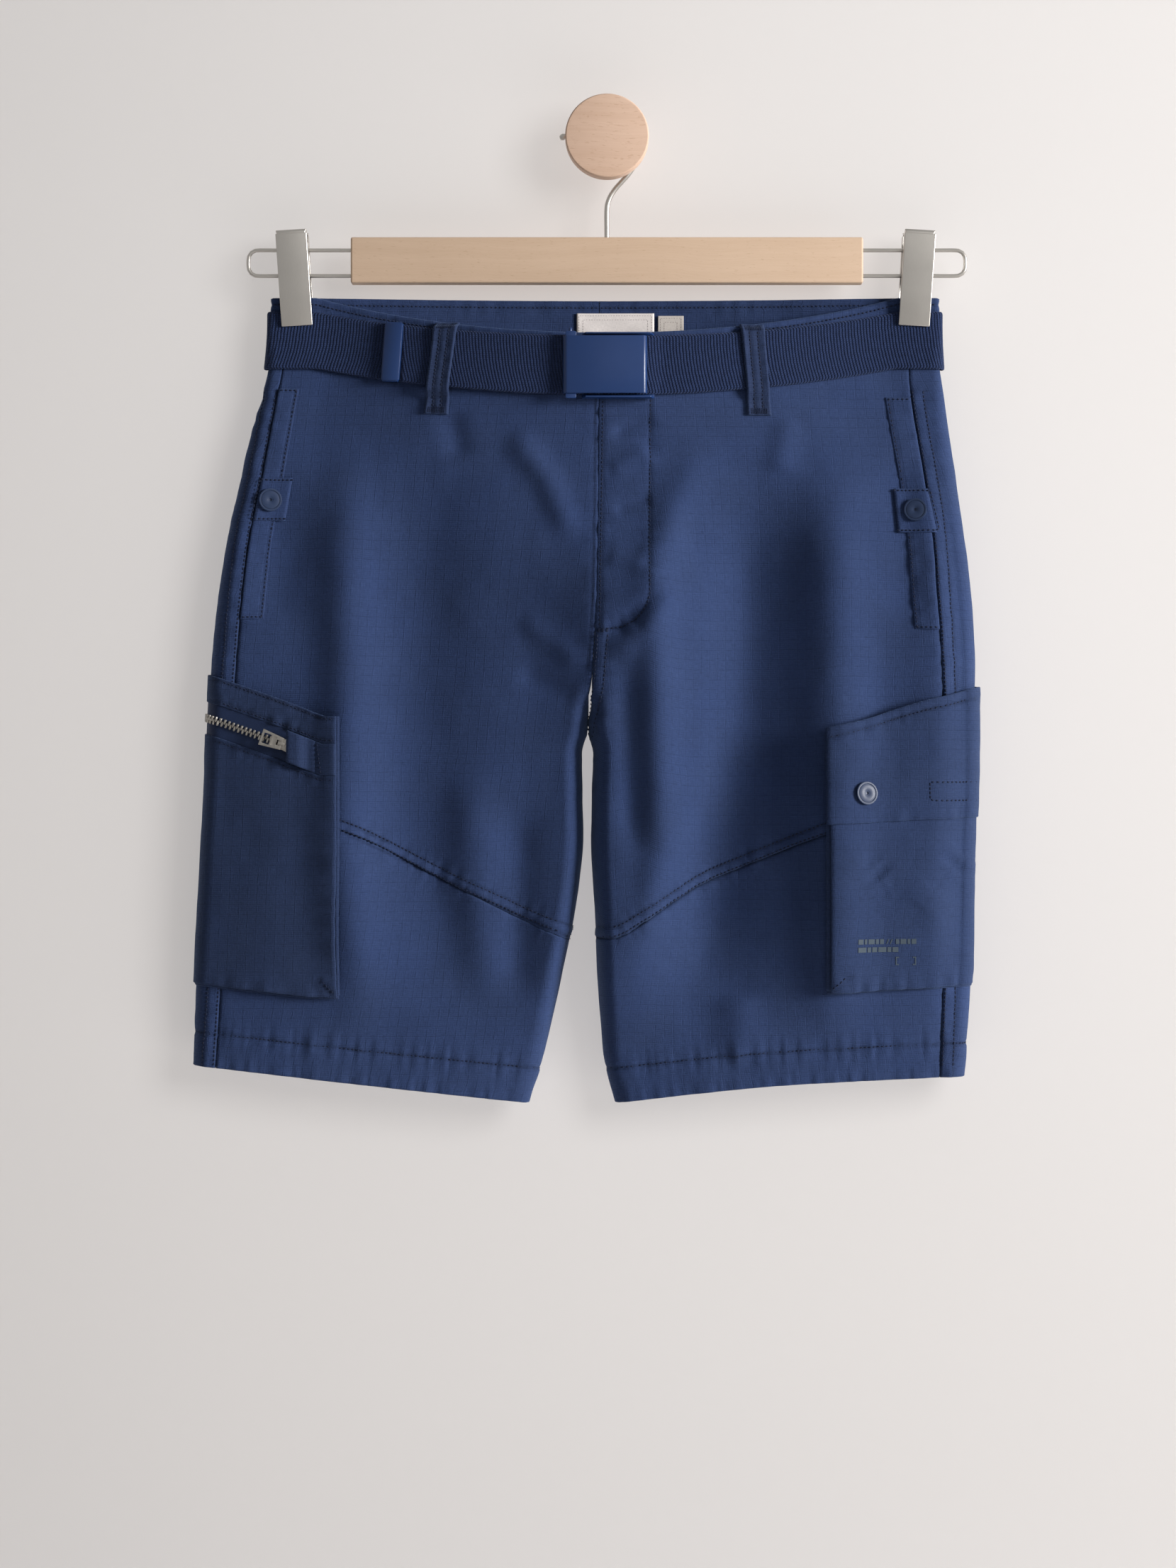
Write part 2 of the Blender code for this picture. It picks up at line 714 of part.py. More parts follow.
# The zip runs across the wearer's right pocket, parallel to its top edge.
ZIP_BAND = 18 * MM  # cloth above the zip
ZIP_OPENING = 21 * MM
ZIP_MARGIN = 13 * MM  # cloth between the zip's end and the pocket's edge
GARAGE = 20 * MM  # length of the patch that the slider runs under
SLIDER = (9.0 * MM, 8.6 * MM, 2.2 * MM)
PULL_LENGTH, PULL_WIDE, PULL_NARROW, PULL_THICK = 15 * MM, 11 * MM, 8 * MM, 1.1 * MM
PIVOT_HEIGHT = 3.6 * MM  # of the pull's hinge above the teeth's own base


def add_right_cargo():
    """The wearer's right pocket opens with a sloping zip."""
    cargo, side = CARGO["right"], "right"
    top = cargo_line(cargo, "top")
    above_zip = cargo_line(cargo, "top", ZIP_BAND)
    tape_top = cargo_line(cargo, "top", ZIP_BAND + GAP)
    tape_foot = cargo_line(cargo, "top", ZIP_BAND + ZIP_OPENING - GAP)
    face_top = cargo_line(cargo, "top", ZIP_BAND + ZIP_OPENING)
    skin = STRIP + 0.1 * MM
    stations = cargo_stations(cargo)
    cloth("cargo_right_band", side, stations, top, above_zip, 1, bellows, skin, CLOTH)
    cloth("cargo_right_face", side, stations, face_top, cargo_line(cargo, "foot"), 6, bellows, skin, CLOTH)
    add_gusset("cargo_right_gusset", cargo, cargo_line(cargo, "top"))

    def tape_layer(side, station, z):
        return bellows(side, station, z) - 0.1 * MM

    cloth("zip_tape", side, stations, tape_top, tape_foot, 1, tape_layer, 0.7 * MM, TAPE)
    front_edge, back_edge = cargo.front_x * MM, cargo.back_x * MM
    teeth_start = front_edge - ZIP_MARGIN - GARAGE
    teeth = [
        lambda z: station_at(side, "front", teeth_start - 8 * MM, z),
        lambda z: station_at(side, "front", teeth_start - 28 * MM, z),
        lambda z: station_at(side, "front", teeth_start - 42 * MM, z),
        *FOLD_STATIONS,
        lambda z: station_at(side, "back", back_edge - 55 * MM, z),
        lambda z: station_at(side, "back", back_edge - 35 * MM, z),
        lambda z: station_at(side, "back", back_edge - ZIP_MARGIN - 2 * MM, z),
    ]
    middle = ZIP_BAND + ZIP_OPENING / 2

    def over_tape(side, station, z):
        return tape_layer(side, station, z) + 0.7 * MM + GAP

    cloth("zip_teeth", side, teeth, cargo_line(cargo, "top", middle - 2.8 * MM),
          cargo_line(cargo, "top", middle + 2.8 * MM), 1, over_tape, 1.3 * MM, NICKEL)

    def patch(name, face, near, far, layer):
        start = lambda z: station_at(side, face, near, z)
        end = lambda z: station_at(side, face, far, z)
        cloth(name, side, between(start, end, 2), cargo_line(cargo, "top", ZIP_BAND + 1.0 * MM),
              cargo_line(cargo, "top", ZIP_BAND + ZIP_OPENING - 1.0 * MM), 2, layer, STRIP, CLOTH)

    patch("zip_end_front", "front", front_edge, front_edge - ZIP_MARGIN, over_tape)
    patch("zip_end_back", "back", back_edge, back_edge - ZIP_MARGIN, over_tape)

    def garage_layer(side, station, z):
        x = surface(side, station, z).x
        open_end = smooth((front_edge - ZIP_MARGIN - x) / (9 * MM))
        return over_tape(side, station, z) + 3.3 * MM * open_end

    garage_end = front_edge - ZIP_MARGIN - GARAGE
    steps = spread(front_edge - ZIP_MARGIN - 0.6 * MM, garage_end, 5)
    garage = [lambda z, x=x: station_at(side, "front", x, z) for x in steps]
    cloth("zip_garage", side, garage, cargo_line(cargo, "top", ZIP_BAND + 1.0 * MM),
          cargo_line(cargo, "top", ZIP_BAND + ZIP_OPENING - 1.0 * MM), 2, garage_layer, STRIP, CLOTH)
    add_slider(side, garage_end, middle, over_tape)


def add_slider(side, garage_end, middle, over_tape):
    """The slider with its bridge, and the pull that turns on the bridge."""
    cargo = CARGO["right"]
    line = cargo_line(cargo, "top", middle)

    def spot(x):
        station = station_at(side, "front", x, -400 * MM)
        z = line(side, station)
        station = station_at(side, "front", x, z)
        normal = outward(side, station, z)
        return surface(side, station, z) + normal * over_tape(side, station, z), normal

    bridge_x = garage_end - 3.2 * MM
    base, normal = spot(bridge_x)
    towards_end = (spot(bridge_x - 10 * MM)[0] - base).normalized()
    axes = frame_matrix(base, towards_end, normal)
    body = axes @ Matrix.Translation((-2.2 * MM, 0, SLIDER[2] / 2 + 0.05 * MM))
    slider = box("zip_slider", SLIDER, body, NICKEL, bevel=0.5 * MM)
    bridge_size = (4.6 * MM, 2.4 * MM, 4.4 * MM)
    bridge = box("zip_bridge_shape", bridge_size,
                 axes @ Matrix.Translation((0, 0, 1.2 * MM + bridge_size[2] / 2)), NICKEL, bevel=0.4 * MM)
    eye_size = (2.6 * MM, 4 * MM, 1.9 * MM)
    eye = box("zip_bridge_eye", eye_size, axes @ Matrix.Translation((0, 0, PIVOT_HEIGHT)), NICKEL)
    cut(bridge, eye)
    joined = slider.modifiers.new("bridge", "BOOLEAN")
    joined.operation = "UNION"
    joined.object = bridge
    for obj in (bridge,):
        PARTS.objects.unlink(obj)
        CUTTERS.objects.link(obj)
        obj.hide_render = True
        obj.display_type = "WIRE"
    pivot = axes @ Matrix.Translation((0, 0, PIVOT_HEIGHT))
    add_pull(pivot)


def add_pull(pivot):
    """A tapered frame. Its hinge bar lies on the local Y axis, and its free end is at +X."""
    mesh = bpy.data.meshes.new("zip_pull")
    shape = bmesh.new()
    bar = 0.5 * MM  # from the hinge axis to the pull's near edge
    bmesh.ops.create_cube(shape, size=1.0, matrix=Matrix.Diagonal((1, 1, PULL_THICK, 1)))
    for vert in shape.verts:
        far = vert.co.x > 0
        vert.co.x = PULL_LENGTH - bar if far else -bar
        vert.co.y = math.copysign((PULL_WIDE if far else PULL_NARROW) / 2, vert.co.y)
    shape.to_mesh(mesh)
    shape.free()
    pull = add_object("zip_pull", mesh, NICKEL)
    pull.matrix_world = pivot
    rounded = pull.modifiers.new("rounded", "BEVEL")
    rounded.width = 0.25 * MM
    rounded.segments = 2
    slot_length = 3.0 * MM
    slot = box("zip_pull_slot", (slot_length, 3.6 * MM, 3 * MM),
               pivot @ Matrix.Translation((bar + slot_length / 2, 0, 0)), NICKEL)
    window_length = 5.4 * MM
    window_middle = PULL_LENGTH - bar - 1.6 * MM - window_length / 2
    window = box("zip_pull_window", (window_length, 7.4 * MM, 3 * MM),
                 pivot @ Matrix.Translation((window_middle, 0, 0)), NICKEL)
    cut(pull, slot)
    cut(pull, window)


# ---------------------------------------------------------------- belt, loops and buckle
BUCKLE_X = -1.4 * MM
COVER = (55.2 * MM, 38.9 * MM, 1.6 * MM)
FRAME_WIDTH, FRAME_PLATE, FRAME_DEPTH = 46 * MM, 0.7 * MM, 8.0 * MM
PIN_RADIUS, PIN_LENGTH = 1.3 * MM, 46.5 * MM
BELT_LAYER = BAND + LAP
TAIL_RISE = WEBBING + LAP
TAIL_END_X = -134.5 * MM  # where the tail goes into its tip
BUCKLE_LIFT = 2.0 * MM  # room for the buckle's back plate
BELT_FRONT = 23 * MM  # the webbing's ends lie this far from the middle, inside the buckle


def front_station(x):
    side = side_of(x, -150 * MM)
    return side, station_at(side, "front", x, -150 * MM)


def belt_layer(x, on_tail=False):
    """The belt's inner face on the front, which rises over the buckle's plate."""
    lift = BUCKLE_LIFT * (1 - smooth((abs(x) - 25 * MM) / (12 * MM)))
    rise = TAIL_RISE * smooth((14 * MM - x) / (16 * MM)) if on_tail else 0.0
    return BELT_LAYER + lift + rise


def belt_strip(name, stops, thickness, material, rows=2, beyond=0.0):
    """Webbing, or a piece on it, along a list of (side, station, layer)."""
    grid = []
    for share in spread(0, 1, rows):
        line = []
        for side, station, layer in stops:
            z = belt_top(side, station) + beyond - (BELT_WIDTH + 2 * beyond) * share
            normal = outward(side, station, z)
            line.append((surface(side, station, z) + normal * layer, normal))
        grid.append(line)
    return wall(name, grid, thickness, material)


def add_belt():
    """One length of webbing: from the buckle round the back, through the buckle, to its tip."""
    stops = []
    columns = {}
    for side in ("right", "left"):
        front, back = panel_stations(side)
        stations = [station(-135 * MM) for station in front + back[1:]]
        xs = [abs(surface(side, s, -135 * MM).x) for s in stations]
        columns[side] = [s for s, x in zip(stations, xs) if s > SIDE_FOLD or x > 44 * MM]
    for x in (-BELT_FRONT, -30 * MM, -37 * MM):
        stops.append((*front_station(x), belt_layer(x)))
    stops += [("right", s, BELT_LAYER) for s in columns["right"][:-1]]
    stops += [("left", s, BELT_LAYER) for s in reversed(columns["left"])]
    for x in (37 * MM, 30 * MM, 22 * MM, 14 * MM, 10 * MM, 6 * MM, 2 * MM, -2 * MM, -14 * MM, -26 * MM):
        stops.append((*front_station(x), belt_layer(x, on_tail=True)))
    for x in (-31 * MM, -37 * MM):
        stops.append((*front_station(x), belt_layer(x, on_tail=True)))
    end = front_station(TAIL_END_X)[1]
    stops += [("right", s, BELT_LAYER + TAIL_RISE) for s in columns["right"] if s < end - 0.02]
    stops.append(("right", end, BELT_LAYER + TAIL_RISE))
    belt_strip("belt", stops, WEBBING, WEB)


def add_belt_tip():
    """A folded metal cap over the end of the tail."""
    xs = spread(TAIL_END_X - 0.4 * MM, TAIL_END_X - 11.0 * MM, 2)
    stops = [(*front_station(x), BELT_LAYER + TAIL_RISE) for x in xs]
    belt_strip("belt_tip", stops, 2.4 * MM, ENAMEL, beyond=0.3 * MM)


def add_buckle():
    """A friction buckle: back plate with lips above and below the belt, a pin, and its cover."""
    side, station = front_station(BUCKLE_X)
    z_mid = belt_top(side, station) - BELT_WIDTH / 2
    normal = outward(side, station, z_mid)
    centre = surface(side, station, z_mid) + normal * (BELT_LAYER + 0.15 * MM)
    axes = frame_matrix(centre - Vector((0, 0, 0.5 * MM)), Vector((1, 0, 0)), Vector((0, normal.y, normal.z)))
    inside = BELT_WIDTH + 1.8 * MM
    frame_size = (FRAME_WIDTH, inside + 2 * MM, FRAME_DEPTH)
    frame_at = axes @ Matrix.Translation((0, 0, FRAME_DEPTH / 2))
    frame = box("buckle_frame", frame_size, frame_at, ENAMEL, bevel=0.3 * MM)
    channel_at = axes @ Matrix.Translation((0, 0, FRAME_PLATE + FRAME_DEPTH / 2))
    channel_size = (FRAME_WIDTH + 10 * MM, inside, FRAME_DEPTH)
    cut(frame, box("buckle_channel", channel_size, channel_at, ENAMEL))
    cover_at = axes @ Matrix.Translation((0, 0, FRAME_DEPTH + GAP + COVER[2] / 2))
    box("buckle_cover", COVER, cover_at, ENAMEL, bevel=0.6 * MM, segments=3)
    pin_x, pin_z = -FRAME_WIDTH / 2 - PIN_RADIUS - GAP, FRAME_DEPTH - PIN_RADIUS + 0.1 * MM
    pin_at = axes @ Matrix.Translation((pin_x, 0.6 * MM, pin_z)) @ Matrix.Rotation(math.pi / 2, 4, "X")
    disc("buckle_pin", PIN_RADIUS, PIN_LENGTH, pin_at, ENAMEL, sides=16)


BeltLoop = namedtuple("BeltLoop", "name side face x lean layers")
BELT_LOOPS = [
    BeltLoop("front_right", "right", "front", -104.4, -7.8, 2),
    BeltLoop("front_left", "left", "front", 94.6, 5.2, 1),
    BeltLoop("back_right", "right", "back", -118.0, -3.0, 1),
    BeltLoop("back_left", "left", "back", 118.0, 3.0, 1),
    BeltLoop("back_centre", "left", "back", 4.4, 0.0, 1),
]
LOOP_WIDTH, LOOP_THICK, LOOP_LENGTH = 16 * MM, 1.6 * MM, 60 * MM


def add_belt_loops():
    """Each loop is sewn at the band's edge, runs over the belt and is sewn again below it."""
    for loop in BELT_LOOPS:
        over = BELT_LAYER + loop.layers * (WEBBING + LAP) + 0.1 * MM
        under = PANEL + LAP
        middle = station_at(loop.side, loop.face, loop.x * MM, -130 * MM)
        z_top = waist_top(loop.side, middle) - 0.3 * MM
        belt_high = belt_top(loop.side, middle) + 0.9 * MM
        belt_low = belt_high - 0.9 * MM - BELT_WIDTH - 1.2 * MM
        stops = [
            (z_top, BAND + LAP),
            (z_top - 0.7 * MM, BAND + LAP),
            (belt_high, over),
            (belt_high - 13 * MM, over),
            (belt_high - 26 * MM, over),
            (belt_low, over),
            (belt_low - 4.5 * MM, under + 1.0 * MM),
            (belt_low - 6.5 * MM, under),
            (z_top - LOOP_LENGTH, under),
        ]
        grid = []
        for z, lift in stops:
            x_mid = loop.x * MM + loop.lean * MM * (z_top - z) / LOOP_LENGTH
            line = []
            for x in spread(x_mid - LOOP_WIDTH / 2, x_mid + LOOP_WIDTH / 2, 2):
                station = station_at(loop.side, loop.face, x, z)
                normal = outward(loop.side, station, z)
                line.append((surface(loop.side, station, z) + normal * lift, normal))
            grid.append(line)
        wall(f"belt_loop_{loop.name}", grid, LOOP_THICK, CLOTH)


# ---------------------------------------------------------------- labels inside the back
Label = namedtuple("Label", "name x width top length")
LABELS = [
    Label("label_main", 5.7, 51.5, -113.3, 26),
    Label("label_size", 42.5, 17.0, -115.0, 20),
]


def add_labels():
    for label in LABELS:
        grid = []
        for z in (label.top * MM, (label.top - label.length) * MM):
            line = []
            for x in spread((label.x - label.width / 2) * MM, (label.x + label.width / 2) * MM, 6):
                point = at_x("back", x, z)
                line.append((point + Vector((0, -GAP - 0.7 * MM, 0)), Vector((0, 1, 0))))
            grid.append(line)
        wall(label.name, grid, 0.6 * MM, LABEL_WEAVE)


# ---------------------------------------------------------------- hanger and peg
BAR = (339 * MM, 12 * MM, 30.4 * MM)
BAR_Z = -79.4 * MM
RAIL_RADIUS, RAIL_TOP_Z, RAIL_FOOT_Z = 1.2 * MM, -72.2 * MM, -89.2 * MM
RAIL_REACH = 237.6 * MM
CLIP_SIZE = (20.6 * MM, 61 * MM)
CLIP_MIDDLE_Z = -92.6 * MM
CLIP_X = {"right": -206.7 * MM, "left": 205.0 * MM}
CLIP_TILT = math.radians(3.5)
PEG_RADIUS, PEG_DISC_RADIUS = 7 * MM, 27.5 * MM
HOOK_RADIUS = 1.7 * MM


def facing(x, y, z, tilt=0.0):
    """Axes for a plate that faces -Y: local X across, local Y up, local Z towards the front."""
    upright = Matrix.Rotation(math.pi / 2, 4, "X")
    return Matrix.Translation((x, y, z)) @ Matrix.Rotation(tilt, 4, "Y") @ upright


def add_bar():
    bar = box("hanger_bar", BAR, Matrix.Translation((0, HANG_Y, BAR_Z)), BEECH, bevel=1.2 * MM, segments=3)
    for sign in (-1, 1):
        for z in (RAIL_TOP_Z, RAIL_FOOT_Z):
            place = Matrix.Translation((sign * BAR[0] / 2, HANG_Y, z)) @ Matrix.Rotation(math.pi / 2, 4, "Y")
            hole = disc(f"bar_hole_{sign}_{z:.3f}", RAIL_RADIUS + GAP, 24 * MM, place, STEEL, sides=16)
            cut(bar, hole)
    place = Matrix.Translation((0, HANG_Y, BAR_Z + BAR[2] / 2))
    cut(bar, disc("bar_hook_hole", HOOK_RADIUS + GAP, 24 * MM, place, STEEL, sides=16))


def add_rails():
    """Each end has one wire bent into a long U, its legs let into the bar."""
    bend = 6 * MM
    for side, sign in SIGN.items():
        start = sign * (BAR[0] / 2 - 11.6 * MM)
        turn = sign * (RAIL_REACH - bend)
        path = [(start, RAIL_TOP_Z)]
        for angle in spread(0, math.pi / 2, 4):
            path.append((turn + sign * bend * math.sin(angle), RAIL_TOP_Z - bend * (1 - math.cos(angle))))
        for angle in spread(math.pi / 2, math.pi, 4):
            path.append((turn + sign * bend * math.sin(angle), RAIL_FOOT_Z + bend * (1 + math.cos(angle))))
        path.append((start, RAIL_FOOT_Z))
        wire(f"hanger_rail_{side}", [Vector((x, HANG_Y, z)) for x, z in path], RAIL_RADIUS, STEEL)


def add_clips():
    """Each clip has a front and a back channel on a spring saddle, and bites the waist and belt."""
    bite = 1.1 * MM + BAND + LAP + WEBBING + GAP  # from the hanger's plane to the jaw
    lean = math.radians(5.0)
    plate, flange = 1.0 * MM, 6.0 * MM
    for side, x in CLIP_X.items():
        tilt = CLIP_TILT * SIGN[side]
        for name, turn in (("front", 0.0), ("back", math.pi)):
            outwards = facing(x, HANG_Y, CLIP_MIDDLE_Z, tilt) @ Matrix.Rotation(turn, 4, "Y")
            foot = outwards @ Matrix.Translation((0, -CLIP_SIZE[1] / 2, bite))
            leaned = foot @ Matrix.Rotation(lean, 4, "X") @ Matrix.Translation((0, CLIP_SIZE[1] / 2, 0))
            shell = box(f"clip_{name}_{side}", (CLIP_SIZE[0], CLIP_SIZE[1], plate + flange),
                        leaned @ Matrix.Translation((0, 0, (plate + flange) / 2 - flange)), STEEL,
                        bevel=0.35 * MM)
            jaw = 9 * MM  # the flanges stop short of the cloth
            inside = (CLIP_SIZE[0] - 2 * plate, CLIP_SIZE[1] + 2 * MM, flange + 2 * MM)
            hollow = box(f"clip_hollow_{name}_{side}", inside,
                         leaned @ Matrix.Translation((0, -1.5 * MM, -flange / 2 - 1 * MM)), STEEL)
            clear = box(f"clip_clear_{name}_{side}", (CLIP_SIZE[0] + 4 * MM, 26 * MM + jaw, 20 * MM),
                        leaned @ Matrix.Translation((0, -CLIP_SIZE[1] / 2 + (26 * MM + jaw) / 2 - 8 * MM, -10 * MM)),
                        STEEL)
            cut(shell, hollow)
            cut(shell, clear)
        saddle = box(f"clip_saddle_{side}", (18 * MM, 26 * MM, 9.4 * MM),
                     facing(x, HANG_Y, CLIP_MIDDLE_Z, tilt) @ Matrix.Translation((0, 11.9 * MM, 0)), STEEL,
                     bevel=0.8 * MM)
        for z in (RAIL_TOP_Z, RAIL_FOOT_Z):
            place = Matrix.Translation((x, HANG_Y, z)) @ Matrix.Rotation(math.pi / 2, 4, "Y")
            cut(saddle, disc(f"saddle_hole_{side}_{z:.3f}", RAIL_RADIUS + GAP, 30 * MM, place, STEEL, sides=16))


def add_hook():
    """The hook leaves the bar, swings to one side, and goes over the peg's stem."""
    crown = PEG_RADIUS + HOOK_RADIUS + GAP
    route = [
        (0, -75), (0, -60), (0, -46), (0.6, -41), (2.6, -36), (6.0, -31), (9.6, -27), (13.6, -22.5),
        (17.2, -17.5), (19.6, -12), (20.2, -6.5), (18.6, -1.0), (15.0, 3.8), (9.6, 7.2),
        (3.6, crown / MM - 0.2), (-2.6, crown / MM - 0.1), (-9, 8.3), (-15.5, 7.0), (-22, 5.2), (-27.6, 3.5),
        (-31.5, 2.2),
    ]
    wire("hanger_hook", [Vector((x * MM, HANG_Y, z * MM)) for x, z in route], HOOK_RADIUS, STEEL)


def add_peg():
    front, disc_thick = -44 * MM, 13 * MM
    stem = Matrix.Translation((0, front / 2, 0)) @ Matrix.Rotation(math.pi / 2, 4, "X")
    disc("peg_stem", PEG_RADIUS, -front, stem, BEECH, sides=32)
    face = Matrix.Translation((0, front - GAP - disc_thick / 2, 0)) @ Matrix.Rotation(math.pi / 2, 4, "X")
    disc("peg_disc", PEG_DISC_RADIUS, disc_thick, face, BEECH, bevel=1.0 * MM, sides=56)


# ---------------------------------------------------------------- build
clear_scene()
PARTS = new_collection("cargo shorts on a hanger")
CUTTERS = new_collection("cutters")

CLOTH = new_material("navy cotton ripstop", (0.018, 0.04, 0.125), 0.85)
WEB = new_material("navy webbing", (0.016, 0.036, 0.12), 0.9)
TAPE = new_material("navy zip tape", (0.014, 0.03, 0.1), 0.8)
ENAMEL = new_material("navy enamelled metal", (0.03, 0.08, 0.22), 0.35)
NICKEL = new_material("aged nickel", (0.42, 0.41, 0.38), 0.4, 1.0)
LABEL_WEAVE = new_material("woven label", (0.62, 0.58, 0.54), 0.8)
BEECH = new_material("beech", (0.68, 0.49, 0.34), 0.55)
STEEL = new_material("satin steel", (0.58, 0.57, 0.54), 0.35, 1.0)

add_panels()
add_hem_turns()
add_waistband()
add_fly()
add_pocket_bands()
add_left_cargo()
add_right_cargo()
add_belt()
add_belt_tip()
add_buckle()
add_belt_loops()
add_labels()
add_bar()
add_rails()
add_clips()
add_hook()
add_peg()
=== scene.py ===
"""Looks of a pair of cargo shorts: ripstop cloth, webbing belt, metal trims, trouser hanger and wall peg.

Metres, +Z up, the wearer's front towards -Y, the wall in the plane y = 0. "Right" and "left" are the
wearer's: the right leg has negative X. Tables of places are in millimetres, as x and z on the front or
back of the garment. The garment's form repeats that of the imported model, with softer folds on it.
"""

import json
import logging
import math
from dataclasses import dataclass, field
from enum import Enum
from typing import Callable, NamedTuple, Sequence

import bpy
import numpy as np
from mathutils import Matrix, Vector

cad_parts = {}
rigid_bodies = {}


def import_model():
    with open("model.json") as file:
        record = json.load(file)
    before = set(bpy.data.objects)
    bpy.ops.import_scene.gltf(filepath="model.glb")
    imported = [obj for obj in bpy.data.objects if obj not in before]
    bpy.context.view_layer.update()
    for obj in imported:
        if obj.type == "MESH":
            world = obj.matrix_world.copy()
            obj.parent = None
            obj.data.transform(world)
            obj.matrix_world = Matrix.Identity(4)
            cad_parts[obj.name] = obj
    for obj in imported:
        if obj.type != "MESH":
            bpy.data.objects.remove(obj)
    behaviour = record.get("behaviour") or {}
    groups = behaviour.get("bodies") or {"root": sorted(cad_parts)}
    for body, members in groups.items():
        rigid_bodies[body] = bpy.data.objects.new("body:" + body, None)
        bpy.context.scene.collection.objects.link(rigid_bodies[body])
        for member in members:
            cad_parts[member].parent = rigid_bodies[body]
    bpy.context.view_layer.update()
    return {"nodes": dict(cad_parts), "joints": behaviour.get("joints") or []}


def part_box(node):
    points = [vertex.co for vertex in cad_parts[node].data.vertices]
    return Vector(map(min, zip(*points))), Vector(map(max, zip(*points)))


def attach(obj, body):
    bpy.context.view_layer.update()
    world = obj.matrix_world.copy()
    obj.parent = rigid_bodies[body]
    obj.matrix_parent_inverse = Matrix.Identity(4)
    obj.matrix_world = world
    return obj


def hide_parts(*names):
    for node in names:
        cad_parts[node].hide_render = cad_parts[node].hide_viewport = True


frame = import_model()

LOG = logging.getLogger("cargo shorts")
Array = np.ndarray
Station = Callable[[Array], Array]
Line = Callable[["Side", Array], Array]
Lift = Callable[["Side", Array, Array], Array]

MM = 0.001

# ---------------------------------------------------------------- driving sizes of the garment
HANG_Y = -34 * MM
LAP = 0.45 * MM
PANEL = 1.2 * MM
BAND = 2.2 * MM
STRIP = 0.9 * MM
WEBBING = 1.8 * MM
BELT_WIDTH = 38.5 * MM
WAISTBAND_DEPTH = 40 * MM
WAIST_SIDE_Z = -104 * MM
WAIST_FRONT_DIP = 26 * MM
WAIST_BACK_DIP = 1 * MM
WAIST_HALF = 192 * MM
CROTCH_TOP_Z = -350 * MM
CROTCH_Z = -398 * MM
INNER_ROLL = 10 * MM
SIDE_FOLD = 3.0
FOLD_DEPTH = -1.6
GROOVE_SINK = 2.0  # how much deeper a groove is than its seam says, once the thread pulls it in
PUCKER_LIFT = 1.5
GROOVE_REACH = 1.25  # half width of a groove, in millimetres
PAINTED_SHADE_REACH = 1.1  # half width of the painted shade that darkens the cloth in a groove
FULL_PAINTED_SHADE_GROOVE = 0.25  # a groove this deep gets the full painted shade
SEAM_LINE = 0.004 * MM  # what shows of the gap between two panels that are sewn together


class Section(NamedTuple):
    """One level of the garment, in millimetres: its edges, seams, thickness at a fold, roll and bows."""

    z: float
    r_fold: float
    r_seam: float
    r_in: float
    l_in: float
    l_seam: float
    l_fold: float
    edge: float
    roll: float
    front_bow: float
    back_bow: float
    leg_bow: float


SECTIONS = [
    Section(-96, -220.5, -211.0, -5.0, -5.0, 204.0, 218.0, 0.5, 2.0, 23, 6, 0),
    Section(-124, -221.0, -213.0, -5.0, -5.0, 202.0, 218.3, 0.6, 2.0, 24, 7, 0),
    Section(-150, -222.8, -214.5, -5.3, -5.3, 200.0, 219.2, 3.0, 4.0, 23, 8, 0),
    Section(-170, -227.5, -218.0, -5.4, -5.4, 201.0, 222.3, 6.0, 6.0, 21, 9, 0),
    Section(-195, -234.8, -222.5, -5.6, -5.6, 204.6, 225.8, 8.8, 8.0, 18, 9, 0),
    Section(-225, -241.5, -228.0, -5.8, -5.8, 209.5, 230.0, 11.2, 9.0, 15, 10, 0),
    Section(-261, -249.6, -235.5, -6.2, -6.2, 213.8, 235.2, 12.9, 9.0, 12, 10, 0),
    Section(-300, -256.0, -240.5, -6.8, -6.8, 216.4, 239.9, 13.8, 9.0, 10, 9, 0),
    Section(-340, -260.2, -243.8, -8.8, -8.8, 219.0, 242.6, 14.0, 9.0, 8, 8, 2),
    Section(-372, -262.0, -246.2, -11.2, -11.2, 220.5, 242.8, 14.0, 9.0, 6, 6, 5),
    Section(-392, -263.0, -247.2, -12.5, -12.5, 221.0, 242.6, 14.0, 9.0, 5, 5, 6),
    Section(-406, -263.4, -247.8, -17.0, -8.4, 221.0, 242.4, 14.0, 9.0, 4, 4, 7),
    Section(-430, -264.2, -248.7, -17.2, -9.0, 221.0, 242.0, 14.0, 9.0, 2, 2, 8),
    Section(-470, -266.5, -250.5, -17.4, -8.8, 221.0, 241.2, 13.5, 9.0, 0, 0, 9),
    Section(-510, -268.6, -252.5, -22.2, -6.8, 221.0, 240.4, 13.0, 9.0, 0, 0, 9),
    Section(-550, -270.6, -254.0, -30.2, -5.6, 221.0, 240.0, 12.0, 9.0, 0, 0, 8),
    Section(-580, -272.2, -256.0, -37.0, -3.4, 220.5, 238.6, 11.5, 9.0, 0, 0, 7),
    Section(-610, -272.2, -258.0, -44.5, -0.2, 219.8, 236.8, 11.0, 9.0, 0, 0, 6),
    Section(-640, -271.8, -259.5, -54.5, 8.5, 219.0, 235.6, 10.5, 9.0, 0, 0, 6),
]


class Fold(NamedTuple):
    """A soft ridge (height over 0) or trough along a line of (x, z), in millimetres."""

    face: str
    route: tuple[tuple[float, float], ...]
    width: float
    height: float


